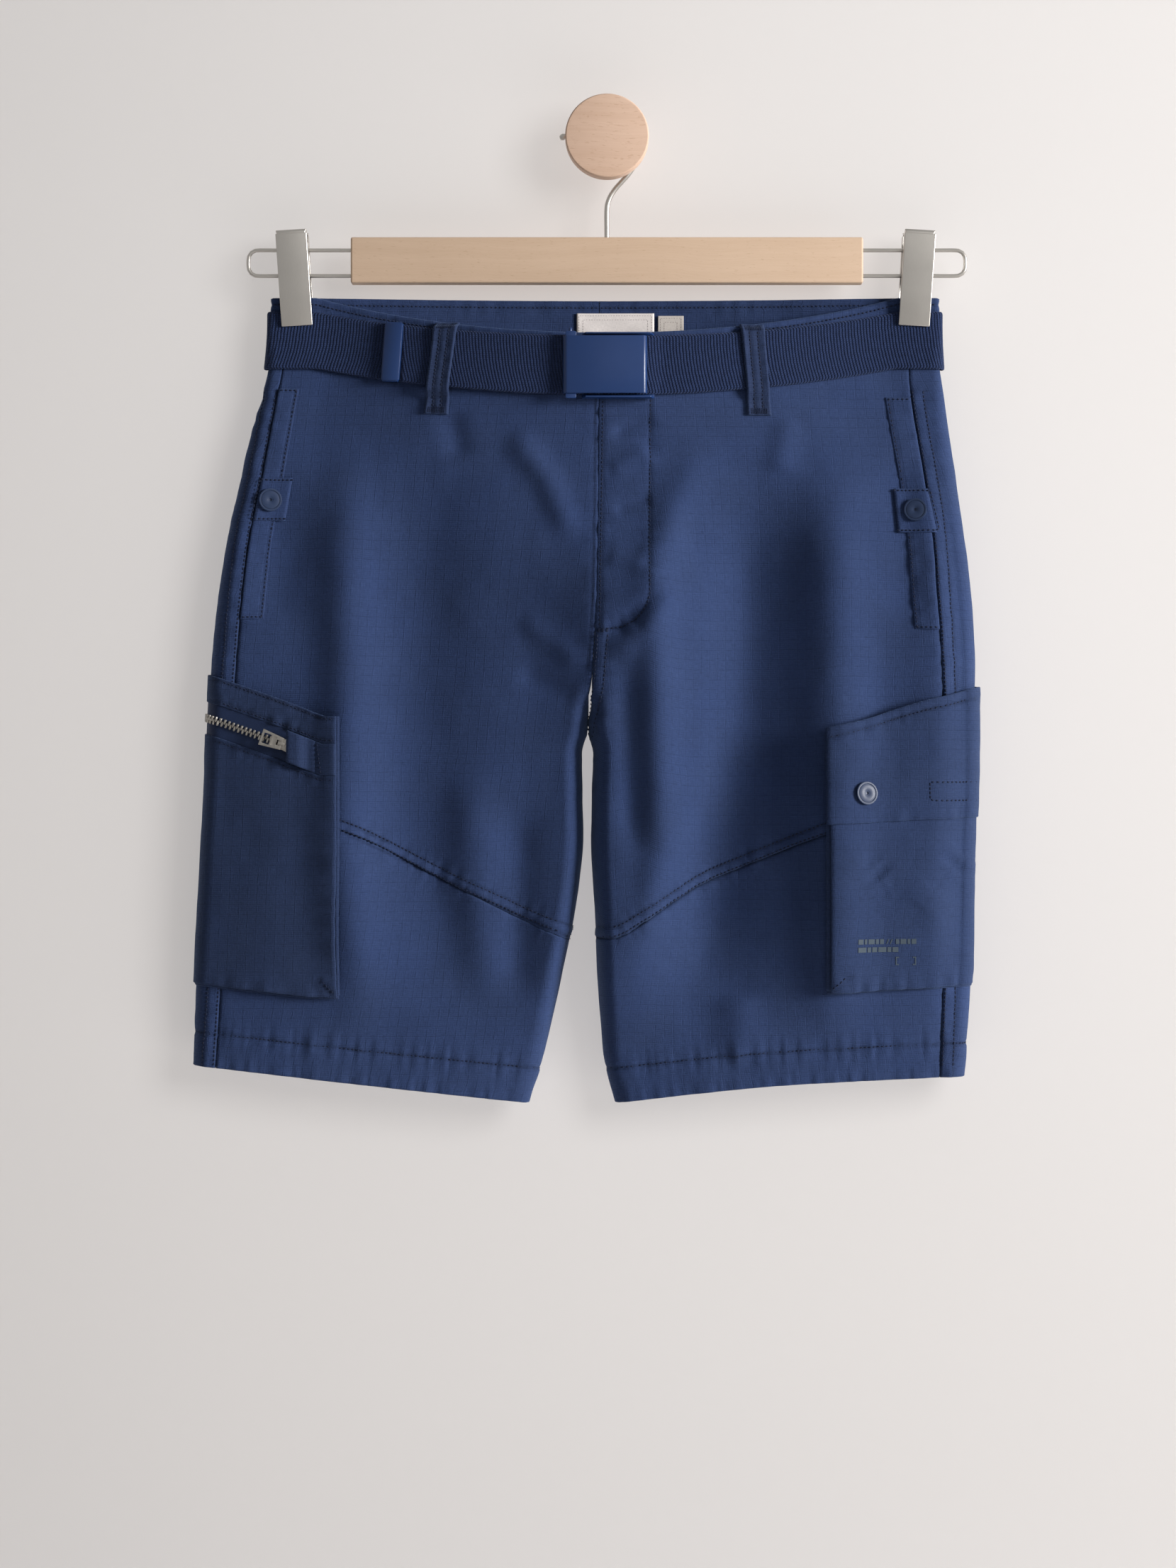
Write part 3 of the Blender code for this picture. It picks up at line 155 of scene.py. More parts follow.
FOLDS = [
    Fold("front", ((-170, -185), (-171, -330), (-172, -470), (-160, -610)), 18, -5.0),
    Fold("front", ((-122, -190), (-126, -470), (-108, -540), (-84, -600)), 33, 5.5),
    Fold("front", ((14, -225), (14, -350), (10, -430), (4, -520), (-18, -630)), 46, -12.0),
    Fold("front", ((-66, -192), (-40, -225), (-20, -268)), 9, -2.4),
    Fold("front", ((-90, -405), (-88, -480), (-78, -575)), 15, -2.2),
    Fold("front", ((-58, -430), (-57, -500), (-60, -580)), 14, 2.2),
    Fold("front", ((93, -190), (90, -380), (76, -470), (54, -600)), 27, 6.5),
    Fold("front", ((151, -188), (150, -400), (146, -615)), 23, -8.0),
    Fold("front", ((226, -180), (236, -330), (238, -610)), 60, -7.5),
    Fold("front", ((150, -400), (150, -500), (146, -625)), 62, -3.0),
    Fold("front", ((74, -190), (46, -240), (32, -285), (34, -350), (38, -470), (14, -560)), 13, -4.5),
    Fold("front", ((13, -338), (15, -400), (17, -480)), 10, 2.5),
    Fold("front", ((196, -200), (200, -330)), 16, 2.0),
    Fold("front", ((-214, -210), (-222, -330)), 20, 2.0),
    Fold("front", ((84, -560), (90, -612)), 14, -2.0),
    Fold("front", ((2, -196), (34, -184)), 5, 1.1),
    Fold("front", ((0, -222), (30, -206)), 6, -1.2),
    Fold("front", ((3, -247), (31, -238)), 5, 1.0),
    Fold("front", ((-1, -276), (27, -283)), 7, -0.9),
    Fold("front", ((0, -330), (38, -298)), 6, 1.2),
    Fold("front", ((2, -345), (52, -300)), 8, -1.5),
    Fold("front", ((-13, -350), (-58, -316)), 8, -1.2),
    Fold("front", ((-15, -372), (-60, -352)), 8, 1.0),
    Fold("front", ((-104, -176), (-96, -215)), 9, 1.4),
    Fold("front", ((120, -182), (112, -224)), 9, -1.4),
    Fold("back", ((-118, -190), (-124, -470)), 22, 4.0),
    Fold("back", ((-66, -210), (-22, -330)), 20, -4.0),
    Fold("back", ((70, -200), (26, -325)), 20, -4.0),
    Fold("back", ((116, -195), (110, -460)), 22, 4.0),
    Fold("back", ((60, -500), (92, -600)), 20, -3.5),
    Fold("back", ((-170, -220), (-160, -520)), 24, -4.0),
    Fold("back", ((168, -240), (160, -560)), 22, -3.5),
    Fold("back", ((-70, -430), (-60, -600)), 20, 3.5),
    Fold("back", ((50, -420), (44, -600)), 18, 3.0),
    Fold("back", ((-60, -180), (60, -184)), 8, -1.5),
]

HEM = {
    "right": ((-280, -611.0), (-160, -624.0), (-44, -636.2)),
    "left": ((0, -636.2), (60, -629.5), (115, -624.5), (220, -619.5), (245, -619.5)),
}
KNEE_SEAM = {
    "right": ((-260, -432), (-172, -458), (-115, -485.7), (-60, -512), (-16, -530)),
    "left": ((-12, -527.5), (7, -526), (24, -516), (58, -494), (91, -480), (143, -459), (230, -433)),
}


class Side(Enum):
    """Half of the garment, as the wearer names it."""

    RIGHT = "right"
    LEFT = "left"

    @property
    def sign(self) -> float:
        """Direction of X from the middle to this half."""
        return -1.0 if self is Side.RIGHT else 1.0

    @property
    def initial(self) -> str:
        """The letter that starts this half's columns in the sections."""
        return self.value[0]


def smooth(t: Array) -> Array:
    """0 to 1 with soft ends."""
    t = np.clip(t, 0.0, 1.0)
    return t * t * (3 - 2 * t)


class SoftCurve:
    """A smooth curve through a table's points, level beyond its ends."""

    def __init__(self, keys: Sequence[float], values: Sequence[float]) -> None:
        """Works out the curve's slope at each point.

        Args:
            keys: Where the points are.
            values: The curve's value at each.
        """
        order = np.argsort(keys)
        self.keys = np.asarray(keys, float)[order]
        self.values = np.asarray(values, float)[order]
        last = len(order) - 1
        low, high = np.maximum(np.arange(last + 1) - 1, 0), np.minimum(np.arange(last + 1) + 1, last)
        self.slopes = (self.values[high] - self.values[low]) / (self.keys[high] - self.keys[low])

    def __call__(self, at: Array) -> Array:
        """Reads the curve.

        Args:
            at: Where to read it.

        Returns:
            Its values there.
        """
        at = np.clip(at, self.keys[0], self.keys[-1])
        i = np.clip(np.searchsorted(self.keys, at, side="right") - 1, 0, len(self.keys) - 2)
        span = self.keys[i + 1] - self.keys[i]
        t = (at - self.keys[i]) / span
        return (
            (2 * t**3 - 3 * t**2 + 1) * self.values[i]
            + (t**3 - 2 * t**2 + t) * span * self.slopes[i]
            + (3 * t**2 - 2 * t**3) * self.values[i + 1]
            + (t**3 - t**2) * span * self.slopes[i + 1]
        )


class SoftNoise:
    """Smooth seeded unevenness over a plane, from -1 to 1."""

    SIZE = 97

    def __init__(self, seed: int) -> None:
        """Draws the values of its lattice.

        Args:
            seed: Which drawing this is.
        """
        self.values = np.random.default_rng(seed).uniform(-1, 1, (self.SIZE, self.SIZE))

    def __call__(self, x: Array, z: Array) -> Array:
        """Reads the unevenness.

        Args:
            x: Place across, in cells of the lattice.
            z: Place along, in cells.

        Returns:
            The value at each place.
        """
        x, z = np.broadcast_arrays(np.asarray(x, float), np.asarray(z, float))
        i, j = np.floor(x).astype(int), np.floor(z).astype(int)
        u, v = smooth(x - i), smooth(z - j)
        i0, j0, i1, j1 = i % self.SIZE, j % self.SIZE, (i + 1) % self.SIZE, (j + 1) % self.SIZE
        low = self.values[i0, j0] * (1 - u) + self.values[i1, j0] * u
        high = self.values[i0, j1] * (1 - u) + self.values[i1, j1] * u
        return low * (1 - v) + high * v


RUMPLE = SoftNoise(11)
PUCKER = SoftNoise(23)


@dataclass(frozen=True)
class Route:
    """A line over the cloth through (x, z) points, in millimetres."""

    points: tuple[tuple[float, float], ...]

    def measure(self, x: Array, z: Array) -> tuple[Array, Array, float]:
        """Finds how far places are from the line and how far along it.

        Args:
            x: Places across, in millimetres.
            z: Places up, in millimetres.

        Returns:
            The signed distance (over 0 on the line's left), the distance along, and the line's length.
        """
        best = np.full(np.shape(x), 1e9)
        signed, along = np.zeros(np.shape(x)), np.zeros(np.shape(x))
        run = 0.0
        for (x0, z0), (x1, z1) in zip(self.points, self.points[1:]):
            dx, dz = x1 - x0, z1 - z0
            length = math.hypot(dx, dz)
            share = np.clip(((x - x0) * dx + (z - z0) * dz) / length**2, 0, 1)
            away = np.hypot(x - x0 - dx * share, z - z0 - dz * share)
            turn = np.sign(dx * (z - z0) - dz * (x - x0))
            nearer = away < best
            best = np.where(nearer, away, best)
            signed = np.where(nearer, away * turn, signed)
            along = np.where(nearer, run + share * length, along)
            run += length
        return signed, along, run

    def walk(self, pitch: float) -> tuple[Array, Array]:
        """Places spaced evenly along the line.

        Args:
            pitch: Their spacing, in millimetres.

        Returns:
            Their x and z, in millimetres.
        """
        points = np.array(self.points, float)
        steps = np.hypot(*np.diff(points, axis=0).T)
        run = np.concatenate([[0], np.cumsum(steps)])
        at = np.linspace(0, run[-1], max(2, int(round(run[-1] / pitch)) + 1))
        return np.interp(at, run, points[:, 0]), np.interp(at, run, points[:, 1])


@dataclass(frozen=True)
class Seam:
    """A stitched line and what it does to the cloth beside it, including painted shade along its groove.

    The felled band lies on the line's left where band is over 0, and on its right below 0.
    """

    route: Route
    band: float = 0.0
    rise: float = 0.0
    groove: float = 0.25
    pucker: float = 0.3
    reach: float = 6.0
    seed: int = 0

    def relief(self, x: Array, z: Array) -> Array:
        """Height that the seam adds to the cloth.

        Args:
            x: Places across, in millimetres.
            z: Places up, in millimetres.

        Returns:
            The height in millimetres.
        """
        away, along, length = self.route.measure(x, z)
        near = np.exp(-((away / self.reach) ** 2))
        waves = PUCKER(along / 5.5 + 7.3 * self.seed, 0.35 * away / self.reach + self.seed)
        waves = waves + 0.6 * PUCKER(along / 2.6 + 3.1 * self.seed, self.seed + 40.0)
        height = PUCKER_LIFT * self.pucker * waves * near
        height = height - GROOVE_SINK * self.groove * np.exp(-((away / GROOVE_REACH) ** 2))
        if self.band:
            inward = away * math.copysign(1.0, self.band)
            width = abs(self.band)
            height = height + self.rise * smooth((inward + 0.3) / 0.9) * smooth((width + 0.8 - inward) / 1.2)
        ends = (along > 0) & (along < length)
        return np.where(ends, height, height * near)

    def shade(self, x: Array, z: Array) -> Array:
        """How much painted shade darkens the cloth in the seam's groove, at places in millimetres, 0 to 1."""
        away, along, length = self.route.measure(x, z)
        inside = smooth((along + 1.0) / 2.0) * smooth((length + 1.0 - along) / 2.0)
        return np.exp(-((away / PAINTED_SHADE_REACH) ** 2)) * inside * min(1.0, max(self.groove, 0.0) / FULL_PAINTED_SHADE_GROOVE)


class GarmentForm:
    """The cloth's inner face, read from the table of sections."""

    def __init__(self) -> None:
        """Makes a soft curve of each column."""
        keys = [row.z for row in SECTIONS]
        self.columns = {
            name: SoftCurve(keys, [getattr(row, name) for row in SECTIONS]) for name in Section._fields[1:]
        }

    def section(self, column: str, z: Array) -> Array:
        """A column of the table at height z, in metres."""
        return self.columns[column](np.asarray(z, float) / MM) * MM

    def closure(self, z: Array) -> Array:
        """How far the inner edge has turned under: 0 at the centre seam, 1 at the inseam."""
        return smooth((CROTCH_TOP_Z - z) / (CROTCH_TOP_Z - CROTCH_Z))

    def inner_x(self, side: Side, z: Array) -> Array:
        """Where a half's inner edge is."""
        seam = self.section(side.initial + "_in", z)
        room = SEAM_LINE + (1.4 * MM) * smooth(3 * self.closure(z))
        clear = np.where(z > CROTCH_Z, room, room * np.maximum(0.0, 1 - (CROTCH_Z - z) / (12 * MM)))
        return seam + side.sign * clear

    def outer_x(self, side: Side, z: Array) -> Array:
        """Where a half's outer fold is."""
        return self.section(side.initial + "_fold", z)

    def seam_x(self, side: Side, z: Array) -> Array:
        """Where the side seam is, a little to the front of the fold."""
        return self.section(side.initial + "_seam", z)

    def fold_height(self, back: Array, x: Array, z: Array) -> Array:
        """What the soft folds add to the form, in metres.

        Args:
            back: Whether each place is on the back.
            x: Places across, in metres.
            z: Places up, in metres.

        Returns:
            The height at each place.
        """
        total = {"front": np.zeros(np.shape(x)), "back": np.zeros(np.shape(x))}
        for fold in FOLDS:
            away, along, length = Route(fold.route).measure(x / MM, z / MM)
            share = along / length
            ends = smooth(share / 0.25) * smooth((1 - share) / 0.25)
            total[fold.face] += FOLD_DEPTH * fold.height * MM * ends * np.exp(-((away / fold.width) ** 2))
        below_belt = smooth((-168 * MM - z) / (26 * MM))
        return np.where(back, total["back"], total["front"]) * below_belt

    def half_depth(self, side: Side, back: Array, x: Array, z: Array) -> Array:
        """Distance from the middle plane to the cloth's inner face."""
        waist = np.where(back, self.section("back_bow", z), self.section("front_bow", z))
        bow_half = WAIST_HALF - 4 * MM + np.maximum(0.0, -150 * MM - z) * 0.15
        hips = waist * np.maximum(0.0, 1 - (x / bow_half) ** 2) ** 1.5
        start, end = self.inner_x(side, z), self.outer_x(side, z)
        share = np.clip((x - start) / (end - start), 0.0, 1.0)
        leg = self.section("leg_bow", z) * np.sin(math.pi * share)
        fade = smooth((1 - share) / 0.12)
        return self.section("edge", z) + hips + leg + self.fold_height(back, x, z) * fade

    def surface(self, side: Side, station: Array, z: Array) -> Array:
        """Points on the cloth's inner face.

        Args:
            side: Half of the garment.
            station: 0 to 6 round that half, from the front's inner edge to the back's.
            z: Heights, in metres.

        Returns:
            The points, with X, Y and Z on the last axis.
        """
        station, z = np.broadcast_arrays(np.asarray(station, float), np.asarray(z, float))
        back = station > SIDE_FOLD
        s = np.where(back, 6.0 - station, station)
        sign, start, end = side.sign, self.inner_x(side, z), self.outer_x(side, z)
        roll, turned = self.section("roll", z), self.closure(z)
        inner_edge, outer_edge = start + sign * INNER_ROLL, end - sign * roll
        quarter = np.clip(s, 0, 1) * math.pi / 2
        x_in = start + sign * INNER_ROLL * ((1 - turned) * s + turned * (1 - np.cos(quarter)))
        lift_in = np.sin(math.pi / 2 * (1 - turned * (1 - np.clip(s, 0, 1))))
        x_flat = inner_edge + (outer_edge - inner_edge) * (s - 1)
        rest = (SIDE_FOLD - s) * math.pi / 2
        x_out = end - sign * roll * (1 - np.cos(rest))
        x = np.where(s < 1, x_in, np.where(s <= 2, x_flat, x_out))
        lift = np.where(s < 1, lift_in, np.where(s <= 2, 1.0, np.sin(rest)))
        depth = self.half_depth(side, back, np.where(s > 2, outer_edge, x), z) * lift
        return np.stack([x, HANG_Y + np.where(back, depth, -depth), z], axis=-1)

    def outward(self, side: Side, station: Array, z: Array) -> Array:
        """Unit normals of the form, pointing away from the wearer."""
        ds, dz = 0.02, 0.8 * MM
        low, high = np.maximum(station - ds, 0.0), np.minimum(station + ds, 6.0)
        across = self.surface(side, high, z) - self.surface(side, low, z)
        up = self.surface(side, station, z + dz) - self.surface(side, station, z - dz)
        normal = np.cross(across, up) * side.sign
        return normal / np.maximum(np.linalg.norm(normal, axis=-1, keepdims=True), 1e-12)

    def station(self, side: Side, face: str, x: Array, z: Array) -> Array:
        """The station of an x on the front or back."""
        sign, start, end = side.sign, self.inner_x(side, z), self.outer_x(side, z)
        roll = self.section("roll", z)
        inner_edge, outer_edge = start + sign * INNER_ROLL, end - sign * roll
        near = np.maximum(0.0, sign * (x - start) / INNER_ROLL)
        flat = 1 + (x - inner_edge) / (outer_edge - inner_edge)
        share = np.clip(sign * (x - outer_edge) / roll, 0.0, 1.0)
        far = SIDE_FOLD - np.arccos(share) / (math.pi / 2)
        s = np.where(sign * (x - inner_edge) < 0, near, np.where(sign * (outer_edge - x) >= 0, flat, far))
        return s if face == "front" else 6.0 - s

    def x_at(self, side: Side, station: Array, z: float) -> Array:
        """X of a station at one height."""
        return self.surface(side, station, np.full(np.shape(station), z))[..., 0]

    def waist_top(self, side: Side, station: Array) -> Array:
        """Height of the waistband's top edge."""
        x = self.x_at(side, station, WAIST_SIDE_Z)
        dip = np.where(station < SIDE_FOLD, WAIST_FRONT_DIP, WAIST_BACK_DIP)
        return WAIST_SIDE_Z - dip * np.maximum(0.0, 1 - (x / WAIST_HALF) ** 2)

    def waist_seam(self, side: Side, station: Array) -> Array:
        """Height of the waistband's lower edge."""
        return self.waist_top(side, station) - WAISTBAND_DEPTH

    def belt_top(self, side: Side, station: Array) -> Array:
        """Height of the belt's top edge."""
        x = self.x_at(side, station, WAIST_SIDE_Z)
        margin = np.where(station < SIDE_FOLD, 3 * MM, 6 * MM)
        share = np.minimum(np.abs(x) / WAIST_HALF, 1.0) ** 2
        return self.waist_top(side, station) - margin * (1 - share) - 9.5 * MM * share

    def hem(self, side: Side, station: Array) -> Array:
        """Height of the hem's edge."""
        return SoftCurve(*zip(*HEM[side.value]))(self.x_at(side, station, -0.6) / MM) * MM

    def knee(self, side: Side, station: Array) -> Array:
        """Height of the seam across the thigh."""
        return SoftCurve(*zip(*KNEE_SEAM[side.value]))(self.x_at(side, station, -0.49) / MM) * MM


FORM = GarmentForm()


def fixed(station: float) -> Station:
    """A column that stays at one station."""
    return lambda z: np.full(np.shape(z), station)


def beside_seam(side: Side, shift: float) -> Station:
    """A column along the side seam, moved by a share of the front."""
    return lambda z: FORM.station(side, "front", FORM.seam_x(side, z), z) + shift


def straight(height: float) -> Line:
    """A straight edge at one height, in metres."""
    return lambda side, station: np.full(np.shape(station), height)


def at_x(side: Side, face: str, x: float) -> Station:
    """A column at one x, in metres."""
    return lambda z: FORM.station(side, face, np.full(np.shape(z), x), z)


@dataclass(frozen=True)
class Columns:
    """Stations across a piece, spread evenly between its anchors."""

    anchors: tuple[Station, ...]
    counts: tuple[int, ...]

    @property
    def total(self) -> int:
        """How many columns there are."""
        return sum(self.counts) + 1

    def __call__(self, z: Array) -> Array:
        """Stations at heights whose last axis runs over the columns."""
        parts, start = [], 0
        for i, count in enumerate(self.counts):
            share = np.linspace(0, 1, count + 1)[: count + (i == len(self.counts) - 1)]
            part = z[..., start : start + len(share)]
            parts.append(self.anchors[i](part) * (1 - share) + self.anchors[i + 1](part) * share)
            start += len(share)
        return np.concatenate(parts, axis=-1)


# ---------------------------------------------------------------- meshes
def new_object(name: str, points: Array, faces: Array, uv: Array | None = None) -> bpy.types.Object:
    """Makes a mesh object of quads or triangles.

    Args:
        name: Its name.
        points: The vertices, in metres.
        faces: Their indices, a row for each face.
        uv: A place on the flat cloth for each vertex, in metres.

    Returns:
        The object, linked to the scene.
    """
    mesh = bpy.data.meshes.new(name)
    count, corners = faces.shape
    mesh.vertices.add(len(points))
    mesh.vertices.foreach_set("co", np.ascontiguousarray(points, np.float32).ravel())
    mesh.loops.add(count * corners)
    mesh.loops.foreach_set("vertex_index", np.ascontiguousarray(faces, np.int32).ravel())
    mesh.polygons.add(count)
    mesh.polygons.foreach_set("loop_start", np.arange(0, count * corners, corners, dtype=np.int32))
    mesh.update(calc_edges=True)
    if uv is not None:
        layer = mesh.uv_layers.new(name="flat cloth")
        layer.data.foreach_set("uv", np.ascontiguousarray(uv[faces.ravel()], np.float32).ravel())
    mesh.validate()
    mesh.shade_smooth()
    obj = bpy.data.objects.new(name, mesh)
    bpy.context.scene.collection.objects.link(obj)
    return obj


def shell_faces(rows: int, columns: int, ring: bool) -> Array:
    """Quads of a closed wall between two skins of rows by columns points.

    Args:
        rows: Points up the wall.
        columns: Points across it.
        ring: Whether its last column joins its first.

    Returns:
        Vertex indices, the inner skin's first.
    """
    spans = columns if ring else columns - 1
    r, c = np.meshgrid(np.arange(rows - 1), np.arange(spans), indexing="ij")
    r, c = r.ravel(), c.ravel()
    after = (c + 1) % columns

    def at(skin: int, row: Array, column: Array) -> Array:
        return skin * rows * columns + row * columns + column

    outer = np.stack([at(1, r, c), at(1, r, after), at(1, r + 1, after), at(1, r + 1, c)], 1)
    inner = np.stack([at(0, r + 1, c), at(0, r + 1, after), at(0, r, after), at(0, r, c)], 1)
    c = np.arange(spans)
    after = (c + 1) % columns
    top = np.stack([at(1, 0 * c, after), at(1, 0 * c, c), at(0, 0 * c, c), at(0, 0 * c, after)], 1)
    low = rows - 1 + 0 * c
    foot = np.stack([at(1, low, c), at(1, low, after), at(0, low, after), at(0, low, c)], 1)
    parts = [outer, inner, top, foot]
    if not ring:
        r = np.arange(rows - 1)
        parts.append(np.stack([at(1, r, 0 * r), at(1, r + 1, 0 * r), at(0, r + 1, 0 * r), at(0, r, 0 * r)], 1))
        last = columns - 1 + 0 * r
        parts.append(np.stack([at(1, r + 1, last), at(1, r, last), at(0, r, last), at(0, r + 1, last)], 1))
    return np.concatenate(parts)


def cloth_shell(name: str, inner: Array, outer: Array, ring: bool = False) -> bpy.types.Object:
    """A closed cloth wall whose flat-cloth map runs in metres across and along it.

    Args:
        name: Its name.
        inner: Points of the inner skin, rows by columns.
        outer: Points of the outer skin.
        ring: Whether its last column joins its first.

    Returns:
        The wall, with its faces outwards.
    """
    rows, columns = inner.shape[:2]
    faces = shell_faces(rows, columns, ring)
    across = np.linalg.norm(np.diff(outer, axis=1), axis=-1)
    u = np.concatenate([np.zeros((rows, 1)), np.cumsum(across, axis=1)], axis=1)
    u = u - u[:, columns // 2 : columns // 2 + 1]
    along = np.linalg.norm(np.diff(outer, axis=0), axis=-1)
    v = -np.concatenate([np.zeros((1, columns)), np.cumsum(along, axis=0)])
    level = outer[0, :, 2] - outer[0, columns // 2, 2]
    uv = np.stack([u, v + level[None, :]], -1).reshape(-1, 2)
    points = np.concatenate([inner.reshape(-1, 3), outer.reshape(-1, 3)])
    quad = points[faces[: (rows - 1) * (columns - 1)]]
    normals = np.cross(quad[:, 1] - quad[:, 0], quad[:, 3] - quad[:, 0])
    away = (outer - inner)[:-1, :-1].reshape(-1, 3)[: len(normals)]
    if ring:
        away = (outer - inner)[:-1].reshape(-1, 3)[: len(normals)]
    if float(np.sum(normals * away)) < 0:
        faces = faces[:, ::-1]
    obj = new_object(name, points, faces, np.concatenate([uv, uv]))
    cells = across[:-1] * along[:, :-1]
    obj["cut_size"] = [float(np.ptp(u)), float(np.ptp(v + level[None, :]))]
    obj["cut_area"] = float(cells.sum())
    return obj


@dataclass
class ClothPiece:
    """A sewn piece that lies on the garment's form at its own layer."""

    name: str
    side: Side
    columns: Columns
    top: Line
    bottom: Line
    rows: int
    lift: float | Lift = 0.0
    thickness: float = PANEL
    seams: Sequence[Seam] = ()
    rumple: float = 0.35
    edges: tuple[bool, bool, bool, bool] = (True, True, True, True)
    ring: bool = False

    def detail(self, x: Array, z: Array) -> Array:
        """Small unevenness and the seams' relief, in metres.

        Args:
            x: Places across, in metres.
            z: Places up, in metres.

        Returns:
            How far the cloth moves outwards.
        """
        x, z = x / MM, z / MM
        total = self.rumple * (RUMPLE(x / 23, z / 31) + 0.35 * RUMPLE(x / 9 + 31, z / 11))
        for seam in self.seams:
            total = total + seam.relief(x, z)
        return total * MM

    def shading(self, x: Array, z: Array) -> Array:
        """How much painted shade darkens the cloth along its stitched grooves, 0 to 1.

        Args:
            x: Places across, in metres.
            z: Places up, in metres.

        Returns:
            The share at each place.
        """
        total = np.zeros(np.shape(x))
        for seam in self.seams:
            total = np.maximum(total, seam.shade(x / MM, z / MM))
        return total

    def layer(self, station: Array, z: Array) -> Array:
        """How far the piece's inner skin lies from the form's inner face."""
        return self.lift(self.side, station, z) if callable(self.lift) else np.full(np.shape(z), self.lift)

    def lattice(self) -> tuple[Array, Array]:
        """Stations and heights of the piece's points, with a close row inside each free edge."""

        def settle(line: Line) -> Array:
            z = np.full(self.columns.total, -0.3)
            for _ in range(4):
                z = line(self.side, self.columns(z))
            return z

        high, low = settle(self.top), settle(self.bottom)
        inset = 0.5 * MM / max(float(np.mean(high - low)), 1 * MM)
        share = np.linspace(0, 1, self.rows + 1)
        share = np.unique(np.concatenate([[0, inset], share[1:-1], [1 - inset, 1]]))[:, None]
        z = high[None] * (1 - share) + low[None] * share
        return self.columns(z), z

    def outer_at(self, station: Array, z: Array, over: float = 0.0) -> tuple[Array, Array]:
        """Points on the outer skin.

        Args:
            station: Stations.
            z: Heights, in metres.
            over: How far above the skin.

        Returns:
            The points and the form's normals there.
        """
        base, normal = FORM.surface(self.side, station, z), FORM.outward(self.side, station, z)
        lift = self.layer(station, z) + self.thickness + self.detail(base[..., 0], z) + over
        return base + normal * lift[..., None], normal

    def build(self) -> bpy.types.Object:
        """Makes the piece's closed wall, its free edges rounded, with the painted shade of its stitched grooves on its
        points.
        """
        station, z = self.lattice()
        base, normal = FORM.surface(self.side, station, z), FORM.outward(self.side, station, z)
        lift = self.layer(station, z) + self.detail(base[..., 0], z)
        thick = np.full(z.shape, self.thickness)
        top, foot, first, last = self.edges
        thick[0] *= 0.45 if top else 1
        thick[-1] *= 0.45 if foot else 1
        if not self.ring:
            thick[:, 0] *= 0.45 if first else 1
            thick[:, -1] *= 0.45 if last else 1
        inner = base + normal * lift[..., None]
        outer = base + normal * (lift + thick)[..., None]
        obj = cloth_shell(self.name, inner, outer, self.ring)
        # Painted shade: the "seam" attribute darkens the cloth along its stitched grooves.
        shade = self.shading(base[..., 0], z).ravel()
        attribute = obj.data.attributes.new("seam", "FLOAT", "POINT")
        attribute.data.foreach_set("value", np.concatenate([shade, shade]).astype(np.float32))
        return obj


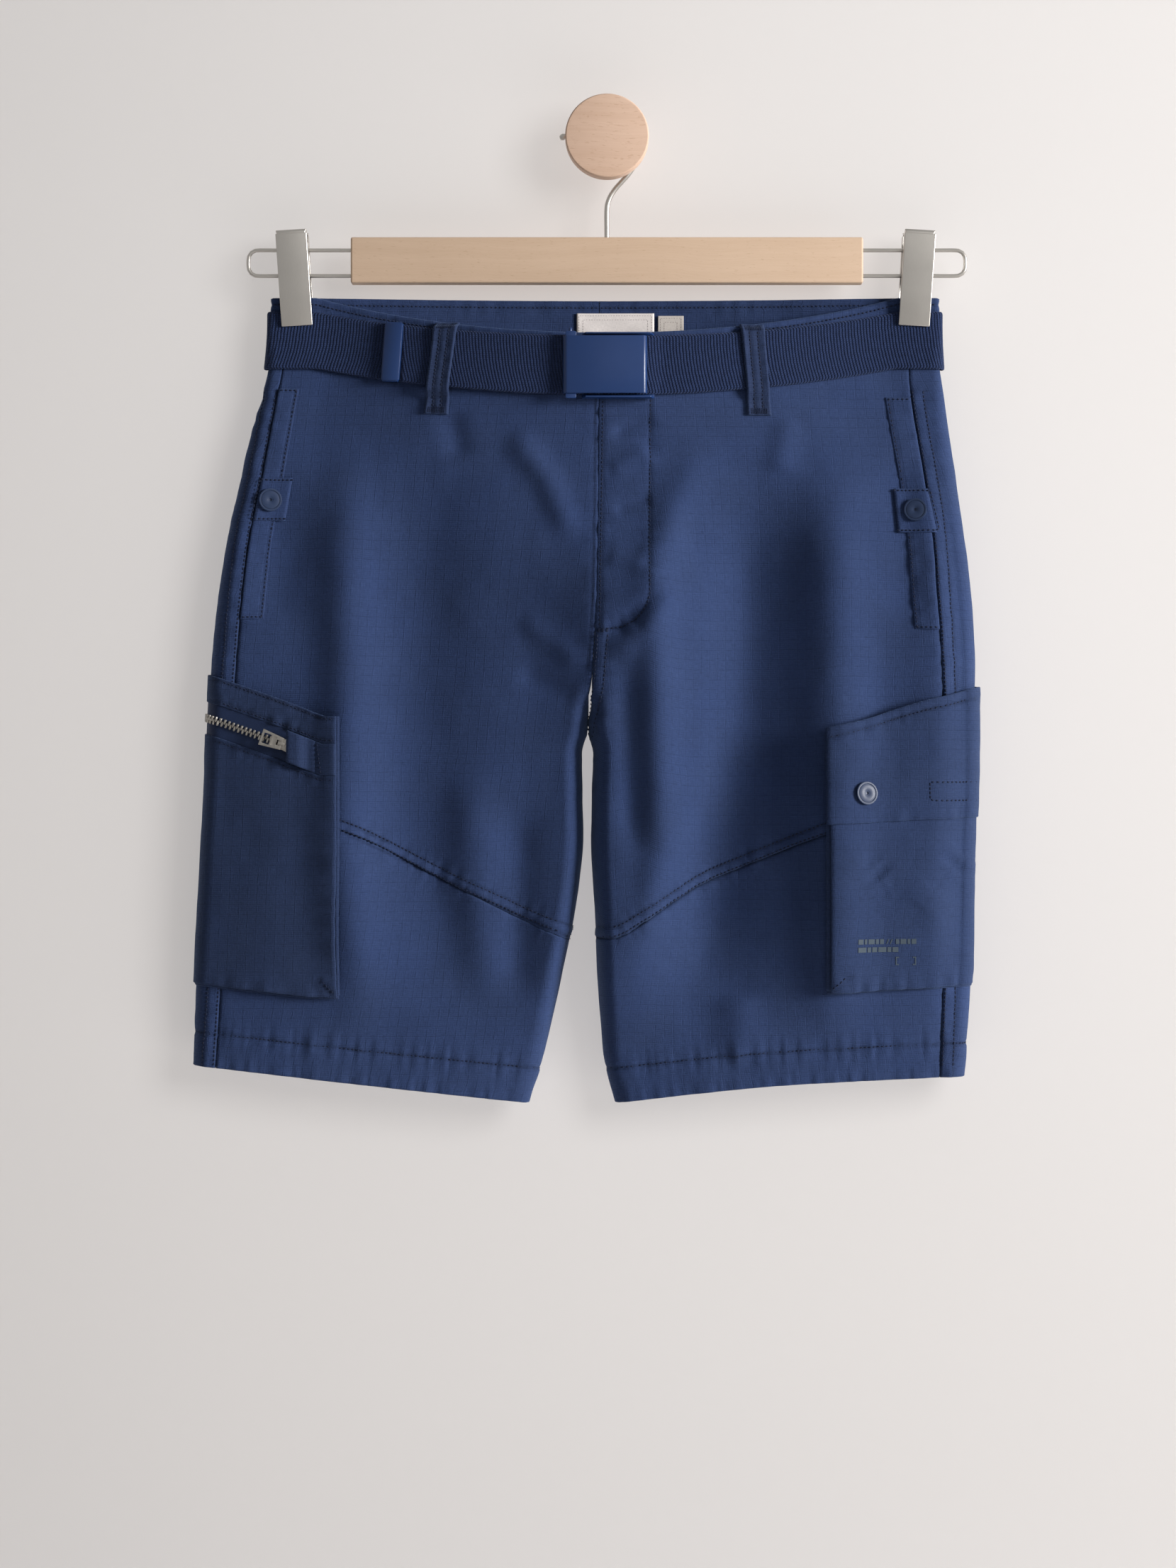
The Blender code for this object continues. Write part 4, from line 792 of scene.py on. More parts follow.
@dataclass
class Stitching:
    """Thread along the garment's seams, each stitch a small rounded bead."""

    pitch: float = 2.8
    length: float = 2.3
    width: float = 1.1
    height: float = 0.34
    runs: list[tuple[Array, Array]] = field(default_factory=list)

    def sew(self, piece: ClothPiece, route: Route, face: str = "front", sink: float = -0.12) -> None:
        """Runs a line of stitches over a piece.

        Args:
            piece: The cloth that it lies on.
            route: Where it runs, in millimetres.
            face: Front or back.
            sink: How far each stitch sits in, in millimetres.
        """
        x, z = route.walk(self.pitch)
        x, z = x * MM, z * MM
        points, normals = piece.outer_at(FORM.station(piece.side, face, x, z), z, -sink * MM)
        self.runs.append((points, normals))

    def sew_stations(self, piece: ClothPiece, stations: Array, z: Array, sink: float = -0.12) -> None:
        """Runs stitches through stations and heights, spaced evenly."""
        points, normals = piece.outer_at(stations, z, -sink * MM)
        self.sew_points(points, normals)

    def sew_points(self, points: Array, normals: Array) -> None:
        """Runs stitches along a dense path in space."""
        run = np.concatenate([[0], np.cumsum(np.linalg.norm(np.diff(points, axis=0), axis=1))])
        at = np.linspace(0, run[-1], max(2, int(round(run[-1] / (self.pitch * MM))) + 1))
        even = np.stack([np.interp(at, run, points[:, i]) for i in range(3)], -1)
        tilt = np.stack([np.interp(at, run, normals[:, i]) for i in range(3)], -1)
        self.runs.append((even, tilt / np.linalg.norm(tilt, axis=1, keepdims=True)))

    def build(self, name: str) -> bpy.types.Object:
        """Makes one mesh of all the stitches.

        Args:
            name: The mesh's name.

        Returns:
            The object.
        """
        starts, ends, ups = [], [], []
        for points, normals in self.runs:
            starts.append(points[:-1])
            ends.append(points[1:])
            ups.append((normals[:-1] + normals[1:]) / 2)
        a, b, up = np.concatenate(starts), np.concatenate(ends), np.concatenate(ups)
        rng = np.random.default_rng(5)
        ahead = b - a
        gap = np.linalg.norm(ahead, axis=1, keepdims=True)
        ahead = ahead / np.maximum(gap, 1e-9)
        aside = np.cross(up, ahead)
        ahead = ahead + aside * rng.uniform(-0.12, 0.12, (len(a), 1))
        middle = (a + b) / 2
        half = np.minimum(self.length * MM, gap * 0.84) / 2 * rng.uniform(0.92, 1.05, (len(a), 1))
        w, h = self.width * MM / 2, self.height * MM
        ring = [
            middle - ahead * half,
            middle - ahead * half * 0.45 + aside * w,
            middle - ahead * half * 0.45 + up * h,
            middle - ahead * half * 0.45 - aside * w,
            middle + ahead * half * 0.45 + aside * w,
            middle + ahead * half * 0.45 + up * h,
            middle + ahead * half * 0.45 - aside * w,
            middle + ahead * half,
            middle - ahead * half * 0.45 - up * h * 0.5,
            middle + ahead * half * 0.45 - up * h * 0.5,
        ]
        points = np.stack(ring, 1).reshape(-1, 3)
        shape = np.array(
            [(0, 2, 1), (0, 3, 2), (0, 8, 3), (0, 1, 8), (7, 4, 5), (7, 5, 6), (7, 6, 9), (7, 9, 4)]
            + [(1, 2, 5), (1, 5, 4), (2, 3, 6), (2, 6, 5), (3, 8, 9), (3, 9, 6), (8, 1, 4), (8, 4, 9)]
        )
        faces = (shape[None] + 10 * np.arange(len(a))[:, None, None]).reshape(-1, 3)
        return new_object(name, points, faces)


# ---------------------------------------------------------------- finishes
Socket = bpy.types.NodeSocket
Colour = tuple[float, float, float]


class Graph:
    """A node tree wired in code."""

    def __init__(self, tree: bpy.types.NodeTree) -> None:
        """Works on one tree."""
        self.tree = tree

    def node(self, kind: str, **settings: object) -> bpy.types.Node:
        """Adds a node.

        Args:
            kind: Its type.
            settings: Values of its own properties.

        Returns:
            The node.
        """
        node = self.tree.nodes.new(kind)
        for key, value in settings.items():
            setattr(node, key, value)
        return node

    def put(self, source: object, socket: Socket) -> None:
        """Links a socket, or sets its own value."""
        if isinstance(source, bpy.types.NodeSocket):
            self.tree.links.new(source, socket)
        else:
            socket.default_value = source

    def math(self, operation: str, *values: object, clamp: bool = False) -> Socket:
        """The result of a Math node."""
        node = self.node("ShaderNodeMath", operation=operation, use_clamp=clamp)
        for socket, value in zip(node.inputs, values):
            self.put(value, socket)
        return node.outputs[0]

    def total(self, *values: object) -> Socket:
        """The sum of several values."""
        result = values[0]
        for value in values[1:]:
            result = self.math("ADD", result, value)
        return result

    def stretch(self, vector: object, factors: Colour, shift: Colour = (0, 0, 0)) -> Socket:
        """A vector scaled along each axis, then moved."""
        node = self.node("ShaderNodeMapping")
        self.put(vector, node.inputs["Vector"])
        node.inputs["Scale"].default_value = factors
        node.inputs["Location"].default_value = shift
        return node.outputs[0]

    def noise(
        self, vector: object, scale: float, detail: float = 2.0, rough: float = 0.5, plane: bool = False
    ) -> Socket:
        """Soft noise from 0 to 1.

        Args:
            vector: Where to read it.
            scale: Its cells for each unit.
            detail: Its octaves.
            rough: How strong the fine ones are.
            plane: Whether it is flat noise.

        Returns:
            Its value.
        """
        node = self.node("ShaderNodeTexNoise", noise_dimensions="2D" if plane else "3D")
        self.put(vector, node.inputs["Vector"])
        node.inputs["Scale"].default_value = scale
        node.inputs["Detail"].default_value = detail
        node.inputs["Roughness"].default_value = rough
        return node.outputs[0]

    def step(self, value: object, low: object, high: object, start: float = 0.0, end: float = 1.0) -> Socket:
        """A soft step from start at low to end at high."""
        node = self.node("ShaderNodeMapRange", interpolation_type="SMOOTHSTEP")
        for socket, item in zip(node.inputs, (value, low, high, start, end)):
            self.put(item, socket)
        return node.outputs[0]

    def mix(self, factor: object, first: object, second: object, blend: str = "MIX") -> Socket:
        """Two colours mixed."""
        node = self.node("ShaderNodeMix", data_type="RGBA", blend_type=blend)
        for socket, item in zip((node.inputs[0], node.inputs[6], node.inputs[7]), (factor, first, second)):
            self.put((*item, 1.0) if isinstance(item, tuple) and len(item) == 3 else item, socket)
        return node.outputs[2]

    def shade(self, colour: object, amount: object) -> Socket:
        """A colour times a value."""
        node = self.node("ShaderNodeVectorMath", operation="SCALE")
        self.put(colour, node.inputs[0])
        self.put(amount, node.inputs["Scale"])
        return node.outputs[0]

    def place(self, group: bpy.types.NodeTree, **values: object) -> bpy.types.Node:
        """Places a node group with its own values, named with _ for a space."""
        node = self.node("ShaderNodeGroup", node_tree=group)
        for key, value in values.items():
            self.put(value, node.inputs[key.replace("_", " ")])
        return node


def new_group(
    name: str, inputs: dict[str, object], outputs: Sequence[str]
) -> tuple[bpy.types.NodeTree, Graph, dict, dict]:
    """Starts a shader node group of float sockets, with "Vector" a vector.

    Args:
        name: Its name.
        inputs: Each input's name and first value.
        outputs: Its outputs' names.

    Returns:
        The group, its graph, its inputs inside and its outputs inside.
    """
    tree = bpy.data.node_groups.new(name, "ShaderNodeTree")
    for key, value in inputs.items():
        kind = "NodeSocketVector" if key == "Vector" else "NodeSocketFloat"
        socket = tree.interface.new_socket(key, in_out="INPUT", socket_type=kind)
        if kind == "NodeSocketFloat":
            socket.default_value = value
    for key in outputs:
        tree.interface.new_socket(key, in_out="OUTPUT", socket_type="NodeSocketFloat")
    graph = Graph(tree)
    into, out = graph.node("NodeGroupInput"), graph.node("NodeGroupOutput")
    return tree, graph, dict(into.outputs.items()), dict(out.inputs.items())


def ripstop_group() -> bpy.types.NodeTree:
    """Plain weave with a grid of thicker threads and fine cross ribs."""
    inputs = {"Vector": None, "Cell": 0.0064, "Rib": 0.0013, "Grid": 0.11, "Slub": 0.42}
    tree, g, into, out = new_group("Ripstop weave", inputs, ("Shade", "Height"))
    flat = into["Vector"]
    split = g.node("ShaderNodeSeparateXYZ")
    g.put(flat, split.inputs[0])
    drift = g.math("MULTIPLY", g.math("SUBTRACT", g.noise(flat, 60.0, plane=True), 0.5), 0.0011)

    def lines(axis: Socket, inner: float, outer: float, shift: float) -> Socket:
        turn = g.math("DIVIDE", g.total(axis, drift), into["Cell"])
        away = g.math("ABSOLUTE", g.math("SUBTRACT", g.math("FRACT", g.math("ADD", turn, shift)), 0.5))
        return g.step(away, inner, outer, 1.0, 0.0)

    across, along = split.outputs[0], split.outputs[1]
    broken_x = g.step(g.noise(g.stretch(flat, (500, 90, 1)), 1.0, 1.0, plane=True), 0.3, 0.6, 0.25, 1.0)
    broken_y = g.step(g.noise(g.stretch(flat, (90, 500, 1)), 1.0, 1.0, plane=True), 0.3, 0.6, 0.25, 1.0)
    grid_x = g.math("MULTIPLY", lines(across, 0.03, 0.085, 0.0), broken_x)
    grid_y = g.math("MULTIPLY", lines(along, 0.03, 0.085, 0.0), broken_y)
    grid = g.math("MAXIMUM", grid_x, grid_y)
    pale_x = g.math("MULTIPLY", lines(across, 0.02, 0.06, 0.13), broken_x)
    pale_y = g.math("MULTIPLY", lines(along, 0.02, 0.06, 0.13), broken_y)
    pale = g.math("MAXIMUM", pale_x, pale_y)
    warp = g.math("SUBTRACT", g.noise(g.stretch(flat, (2100, 240, 1)), 1.0, 2.0, 0.6, plane=True), 0.5)
    weft = g.math("SUBTRACT", g.noise(g.stretch(flat, (240, 2100, 1)), 1.0, 2.0, 0.6, plane=True), 0.5)
    rib = g.math("SINE", g.math("DIVIDE", g.math("MULTIPLY", along, 2 * math.pi), into["Rib"]))
    cloud = g.math("SUBTRACT", g.noise(flat, 45.0, 3.0, plane=True), 0.5)
    threads = g.math("MULTIPLY", g.total(warp, weft), into["Slub"])
    dark = g.math("MULTIPLY", grid, g.math("MULTIPLY", into["Grid"], -1.0))
    light = g.math("MULTIPLY", pale, g.math("MULTIPLY", into["Grid"], 0.6))
    g.put(
        g.total(1.0, threads, dark, light, g.math("MULTIPLY", rib, 0.03), g.math("MULTIPLY", cloud, 0.16)),
        out["Shade"],
    )
    g.put(
        g.total(
            g.math("MULTIPLY", g.total(warp, weft), 0.9),
            g.math("MULTIPLY", pale, 0.22),
            g.math("MULTIPLY", grid, -0.22),
            g.math("MULTIPLY", rib, 0.22),
        ),
        out["Height"],
    )
    return tree


def webbing_group() -> bpy.types.NodeTree:
    """Ribbed webbing: columns of chained threads, with u along the belt."""
    inputs = {"Vector": None, "Column": 0.00208, "Chain": 0.0014}
    tree, g, into, out = new_group("Chain webbing", inputs, ("Shade", "Height"))
    flat = into["Vector"]
    split = g.node("ShaderNodeSeparateXYZ")
    g.put(flat, split.inputs[0])
    drift = g.math("MULTIPLY", g.math("SUBTRACT", g.noise(flat, 180.0, plane=True), 0.5), 0.0006)
    turn = g.math("DIVIDE", g.total(split.outputs[0], drift), into["Column"])
    aside = g.math("SUBTRACT", g.math("FRACT", turn), 0.5)
    ridge = g.step(g.math("ABSOLUTE", aside), 0.12, 0.5, 1.0, 0.0)
    lean = g.math("MULTIPLY", g.math("ABSOLUTE", aside), 0.9)
    up = g.total(g.math("DIVIDE", g.total(split.outputs[1], drift), into["Chain"]), lean)
    link = g.math("MULTIPLY", g.math("ADD", g.math("SINE", g.math("MULTIPLY", up, 2 * math.pi)), 1.0), 0.5)
    fuzz = g.math("SUBTRACT", g.noise(flat, 1500.0, 2.0, plane=True), 0.5)
    patch = g.math("SUBTRACT", g.noise(flat, 300.0, 1.0, plane=True), 0.5)
    raised = g.math("MULTIPLY", ridge, g.total(0.45, g.math("MULTIPLY", link, 0.55)))
    g.put(g.total(raised, g.math("MULTIPLY", fuzz, 0.25)), out["Height"])
    g.put(
        g.total(0.55, g.math("MULTIPLY", raised, 0.85), g.math("MULTIPLY", fuzz, 0.7), g.math("MULTIPLY", patch, 0.4)),
        out["Shade"],
    )
    return tree


def grain_group() -> bpy.types.NodeTree:
    """Wood grain along local X: long streaks, fine pores and a slow change of tone."""
    inputs = {"Vector": None, "Stretch": 1.0, "Contrast": 1.0}
    tree, g, into, out = new_group("Beech grain", inputs, ("Tone", "Height"))
    flat = into["Vector"]
    bend = g.math("MULTIPLY", g.math("SUBTRACT", g.noise(flat, 9.0, 1.0), 0.5), 0.02)
    join = g.node("ShaderNodeVectorMath", operation="ADD")
    shift = g.node("ShaderNodeCombineXYZ")
    g.put(bend, shift.inputs[2])
    g.put(flat, join.inputs[0])
    g.put(shift.outputs[0], join.inputs[1])
    streak = g.noise(g.stretch(join.outputs[0], (7, 120, 170)), 1.0, 4.0, 0.6)
    fine = g.noise(g.stretch(join.outputs[0], (40, 900, 1100)), 1.0, 2.0, 0.6)
    fleck = g.step(g.noise(g.stretch(join.outputs[0], (230, 900, 1300)), 1.0, 1.0), 0.62, 0.74)
    slow = g.noise(flat, 14.0, 2.0)
    tone = g.total(
        g.math("MULTIPLY", g.math("SUBTRACT", streak, 0.5), 0.55),
        g.math("MULTIPLY", g.math("SUBTRACT", fine, 0.5), 0.3),
        g.math("MULTIPLY", g.math("SUBTRACT", slow, 0.5), 0.35),
        g.math("MULTIPLY", fleck, -0.3),
    )
    g.put(g.math("MULTIPLY", tone, into["Contrast"]), out["Tone"])
    g.put(g.total(g.math("MULTIPLY", fine, 0.4), g.math("MULTIPLY", fleck, -0.6)), out["Height"])
    return tree


def satin_group() -> bpy.types.NodeTree:
    """Fine unevenness of a metal or painted surface: brushing, specks and handling marks."""
    inputs = {"Vector": None, "Fine": 1.0}
    tree, g, into, out = new_group("Satin surface", inputs, ("Mark", "Height"))
    grit = g.noise(into["Vector"], 2600.0, 2.0)
    smear = g.noise(into["Vector"], 55.0, 3.0)
    brush = g.noise(g.stretch(into["Vector"], (3000, 3000, 150)), 1.0, 2.0)
    g.put(
        g.total(g.math("MULTIPLY", smear, 0.6), g.math("MULTIPLY", grit, 0.2), g.math("MULTIPLY", brush, 0.2)),
        out["Mark"],
    )
    g.put(g.math("MULTIPLY", g.total(grit, g.math("MULTIPLY", brush, 0.6)), into["Fine"]), out["Height"])
    return tree


GROUPS: dict[str, bpy.types.NodeTree] = {}


def group(name: str) -> bpy.types.NodeTree:
    """A shared node group, built when it is first wanted."""
    makers = {"ripstop": ripstop_group, "webbing": webbing_group, "grain": grain_group, "satin": satin_group}
    if name not in GROUPS:
        GROUPS[name] = makers[name]()
    return GROUPS[name]


def new_material(name: str, **constants: object) -> tuple[bpy.types.Material, Graph, bpy.types.Node]:
    """Starts a material with a Principled shader.

    Args:
        name: Its name.
        constants: Values for the shader's sockets, named with _ for a space.

    Returns:
        The material, its graph and its shader.
    """
    material = bpy.data.materials.new(name)
    material.use_nodes = True
    graph = Graph(material.node_tree)
    shader = material.node_tree.nodes["Principled BSDF"]
    for key, value in constants.items():
        shader.inputs[key.replace("_", " ")].default_value = value
    return material, graph, shader


def add_bump(
    graph: Graph, shader: bpy.types.Node, height: Socket, distance: float, strength: float = 1.0
) -> None:
    """Feeds a height to a shader's normal."""
    bump = graph.node("ShaderNodeBump")
    bump.inputs["Strength"].default_value = strength
    bump.inputs["Distance"].default_value = distance
    graph.put(height, bump.inputs["Height"])
    graph.put(bump.outputs["Normal"], shader.inputs["Normal"])


@dataclass(frozen=True)
class ClothFinish:
    """Garment-dyed ripstop cotton, with painted shade darkening its stitched grooves."""

    name: str
    colour: Colour
    turn: bool = False

    def make(self) -> bpy.types.Material:
        """Builds the material."""
        material, g, shader = new_material(
            self.name, Sheen_Weight=0.2, Sheen_Roughness=0.45, Sheen_Tint=(0.36, 0.56, 1.0, 1.0),
            Specular_IOR_Level=0.25,
        )
        uv = g.node("ShaderNodeUVMap", uv_map="flat cloth")
        flat = uv.outputs[0]
        weave = g.place(group("ripstop"), Vector=flat)
        where = g.node("ShaderNodeTexCoord").outputs["Object"]
        wash = g.math("MULTIPLY", g.math("SUBTRACT", g.noise(where, 16.0, 3.0), 0.5), 0.22)
        # Painted shade: the "seam" attribute, broken up by noise, darkens the cloth along stitched grooves.
        groove = g.node("ShaderNodeAttribute", attribute_name="seam").outputs["Fac"]
        painted_groove_shade = g.math("MULTIPLY", groove, g.noise(where, 260.0, 1.0))
        tone = g.total(weave.outputs["Shade"], wash, g.math("MULTIPLY", painted_groove_shade, -0.7))
        hue = g.mix(g.noise(where, 30.0, 2.0), (0.94, 0.98, 1.03), (1.06, 1.02, 0.97))
        g.put(g.mix(1.0, g.shade(self.colour, tone), hue, "MULTIPLY"), shader.inputs["Base Color"])
        g.put(g.step(tone, 0.6, 1.4, 0.93, 0.8), shader.inputs["Roughness"])
        add_bump(g, shader, weave.outputs["Height"], 0.00022)
        return material


@dataclass(frozen=True)
class ThreadFinish:
    """Sewing thread with a soft gloss."""

    name: str
    colour: Colour

    def make(self) -> bpy.types.Material:
        """Builds the material."""
        material, g, shader = new_material(
            self.name, Sheen_Weight=0.1, Sheen_Roughness=0.4, Sheen_Tint=(0.4, 0.55, 1.0, 1.0),
            Specular_IOR_Level=0.2,
        )
        where = g.node("ShaderNodeTexCoord").outputs["Object"]
        twist = g.noise(where, 3200.0, 2.0)
        g.put(g.shade(self.colour, g.step(twist, 0.2, 0.8, 0.7, 1.3)), shader.inputs["Base Color"])
        g.put(g.step(twist, 0.2, 0.8, 0.75, 0.55), shader.inputs["Roughness"])
        add_bump(g, shader, twist, 0.0001)
        return material


@dataclass(frozen=True)
class WebbingFinish:
    """Cotton webbing in chained ribs."""

    name: str
    colour: Colour

    def make(self) -> bpy.types.Material:
        """Builds the material."""
        material, g, shader = new_material(
            self.name, Sheen_Weight=0.12, Sheen_Roughness=0.5, Sheen_Tint=(0.45, 0.58, 1.0, 1.0),
            Specular_IOR_Level=0.15,
        )
        uv = g.node("ShaderNodeUVMap", uv_map="flat cloth")
        weave = g.place(group("webbing"), Vector=uv.outputs[0])
        g.put(g.shade(self.colour, weave.outputs["Shade"]), shader.inputs["Base Color"])
        g.put(g.step(weave.outputs["Shade"], 0.4, 1.4, 0.95, 0.8), shader.inputs["Roughness"])
        add_bump(g, shader, weave.outputs["Height"], 0.0007)
        return material


@dataclass(frozen=True)
class MetalFinish:
    """Plated, satin or painted metal."""

    name: str
    colour: Colour
    roughness: float
    metallic: float
    coat: float = 0.0
    mottle: float = 0.15
    grit: float = 0.00003
    gloss: float = 0.5

    def make(self) -> bpy.types.Material:
        """Builds the material."""
        material, g, shader = new_material(
            self.name, Metallic=self.metallic, Coat_Weight=self.coat, Coat_Roughness=0.18,
            Specular_IOR_Level=self.gloss,
        )
        where = g.node("ShaderNodeTexCoord").outputs["Object"]
        satin = g.place(group("satin"), Vector=where)
        mark = satin.outputs["Mark"]
        tone = g.step(mark, 0.25, 0.75, 1 - self.mottle, 1 + self.mottle)
        g.put(g.shade(self.colour, tone), shader.inputs["Base Color"])
        g.put(g.step(mark, 0.25, 0.75, self.roughness * 1.2, self.roughness * 0.8), shader.inputs["Roughness"])
        add_bump(g, shader, satin.outputs["Height"], self.grit, 0.6)
        return material


@dataclass(frozen=True)
class WoodFinish:
    """Pale sealed beech."""

    name: str
    pale: Colour
    deep: Colour
    contrast: float = 1.0

    def make(self) -> bpy.types.Material:
        """Builds the material."""
        material, g, shader = new_material(self.name, Roughness=0.5, Specular_IOR_Level=0.4)
        where = g.node("ShaderNodeTexCoord").outputs["Object"]
        grain = g.place(group("grain"), Vector=where, Contrast=self.contrast)
        tone = g.math("ADD", grain.outputs["Tone"], 0.5, clamp=True)
        g.put(g.mix(tone, self.deep, self.pale), shader.inputs["Base Color"])
        g.put(g.step(tone, 0.2, 0.9, 0.6, 0.45), shader.inputs["Roughness"])
        add_bump(g, shader, grain.outputs["Height"], 0.00008)
        return material


@dataclass(frozen=True)
class LabelFinish:
    """Fine satin-woven label cloth."""

    name: str
    colour: Colour

    def make(self) -> bpy.types.Material:
        """Builds the material."""
        material, g, shader = new_material(self.name, Sheen_Weight=0.2, Specular_IOR_Level=0.3)
        uv = g.node("ShaderNodeUVMap", uv_map="flat cloth")
        rows = g.noise(g.stretch(uv.outputs[0], (400, 4200, 1)), 1.0, 2.0, plane=True)
        warp = g.noise(g.stretch(uv.outputs[0], (4200, 400, 1)), 1.0, 2.0, plane=True)
        tone = g.total(g.math("MULTIPLY", rows, 0.35), g.math("MULTIPLY", warp, 0.3), 0.68)
        g.put(g.shade(self.colour, tone), shader.inputs["Base Color"])
        g.put(g.step(tone, 0.8, 1.2, 0.75, 0.6), shader.inputs["Roughness"])
        add_bump(g, shader, tone, 0.0002)
        return material


@dataclass(frozen=True)
class BackdropFinish:
    """Matt paint, clear from behind so that the wall never hides the garment's back."""

    name: str
    colour: Colour

    def make(self) -> bpy.types.Material:
        """Builds the material."""
        material, g, shader = new_material(self.name, Roughness=0.95, Specular_IOR_Level=0.1)
        where = g.node("ShaderNodeTexCoord").outputs["Object"]
        drift = g.noise(where, 1.3, 1.0)
        g.put(g.shade(self.colour, g.step(drift, 0.3, 0.7, 0.99, 1.01)), shader.inputs["Base Color"])
        clear, side, merge = (
            g.node("ShaderNodeBsdfTransparent"),
            g.node("ShaderNodeNewGeometry"),
            g.node("ShaderNodeMixShader"),
        )
        g.put(side.outputs["Backfacing"], merge.inputs[0])
        g.put(shader.outputs[0], merge.inputs[1])
        g.put(clear.outputs[0], merge.inputs[2])
        output = next(n for n in material.node_tree.nodes if n.type == "OUTPUT_MATERIAL")
        g.put(merge.outputs[0], output.inputs["Surface"])
        return material


NAVY = (0.0205, 0.0395, 0.112)
FINISHES = {
    "cloth": ClothFinish("navy ripstop", NAVY),
    # The cargo, flap and loop finishes are the navy ripstop in a darker flat tone over each whole piece.
    "cargo": ClothFinish("navy ripstop, zip pocket cut", (0.0160, 0.0305, 0.083)),
    "flap": ClothFinish("navy ripstop, flap pocket cut", (0.0165, 0.0325, 0.092)),
    "loop": ClothFinish("navy ripstop, belt loop cut", (0.0160, 0.0295, 0.080)),
    # The sewing thread is darker than the cloth: partly its own colour, partly painted shade of the stitch holes.
    "thread": ThreadFinish("navy thread", (0.0055, 0.0105, 0.033)),
    "webbing": WebbingFinish("navy webbing", (0.0145, 0.0265, 0.076)),
    "zip_tape": ThreadFinish("navy zip tape", (0.0125, 0.024, 0.066)),
    "enamel": MetalFinish("navy enamel", (0.0095, 0.034, 0.125), 0.34, 0.0, 0.2, 0.05, 0.000008, 0.3),
    "stud": MetalFinish("stud enamel", (0.014, 0.029, 0.075), 0.5, 0.0, 0.08, 0.06, 0.00001, 0.3),
    "nickel": MetalFinish("antique nickel", (0.36, 0.34, 0.31), 0.34, 1.0, 0.0, 0.3),
    "steel": MetalFinish("satin nickel", (0.53, 0.505, 0.47), 0.36, 1.0, 0.0, 0.06, 0.00001),
    "label": LabelFinish("pale label", (0.80, 0.745, 0.725)),
    "label_dark": LabelFinish("pale label, darker", (0.62, 0.57, 0.53)),
    "label_thread": ThreadFinish("label thread", (0.33, 0.29, 0.27)),
    "print": MetalFinish("tonal gloss print", (0.042, 0.062, 0.085), 0.42, 0.0, 0.1, 0.1, 0.00001, 0.35),
    "beech": WoodFinish("beech", (0.70, 0.53, 0.395), (0.53, 0.37, 0.25)),
    "beech_end": WoodFinish("beech end", (0.74, 0.54, 0.42), (0.56, 0.37, 0.26), 1.25),
    "backdrop": BackdropFinish("warm white paint", (0.772, 0.752, 0.745)),
}
MATERIALS: dict[str, bpy.types.Material] = {}


def finish(name: str) -> bpy.types.Material:
    """The material of a finish, built once."""
    if name not in MATERIALS:
        MATERIALS[name] = FINISHES[name].make()
    return MATERIALS[name]


def dress(
    obj: bpy.types.Object, name: str, body: str = "shorts", replaces: Sequence[str] = ()
) -> bpy.types.Object:
    """Gives a piece its finish, its body and the nodes that it stands for.

    Args:
        obj: The piece.
        name: Its finish.
        body: The body that it rides on.
        replaces: CAD nodes that it stands for.

    Returns:
        The piece.
    """
    obj.data.materials.clear()
    obj.data.materials.append(finish(name))
    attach(obj, body)
    if replaces:
        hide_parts(*replaces)
    LOG.info("%s: %d faces, %s", obj.name, len(obj.data.polygons), name)
    return obj


def declare_sheet(obj: bpy.types.Object) -> None:
    """Reads the flat cut of a cloth piece, as its own map measures it, and states nothing with it; a strip under 10 mm
    returns at once.
    """
    width, length = obj["cut_size"]
    if min(width, length) < 0.0101:
        return


# ---------------------------------------------------------------- leg panels, waistband and fly


def offset(
    points: Sequence[tuple[float, float]], dx: float = 0.0, dz: float = 0.0
) -> tuple[tuple[float, float], ...]:
    """A route moved across and up, in millimetres."""
    return tuple((x + dx, z + dz) for x, z in points)


def column_route(column: Station, side: Side, high: float, low: float, shift: float = 0.0) -> Route:
    """A route down a column, as x and z points.

    Args:
        column: The column.
        side: Half of the garment.
        high: Its top, in millimetres.
        low: Its foot.
        shift: How far it moves across, in millimetres.

    Returns:
        The route.
    """
    z = np.linspace(high, low, 16)
    station = column(z * MM)
    x = FORM.surface(side, station, z * MM)[..., 0] / MM + shift
    return Route(tuple(zip(x.tolist(), z.tolist())))


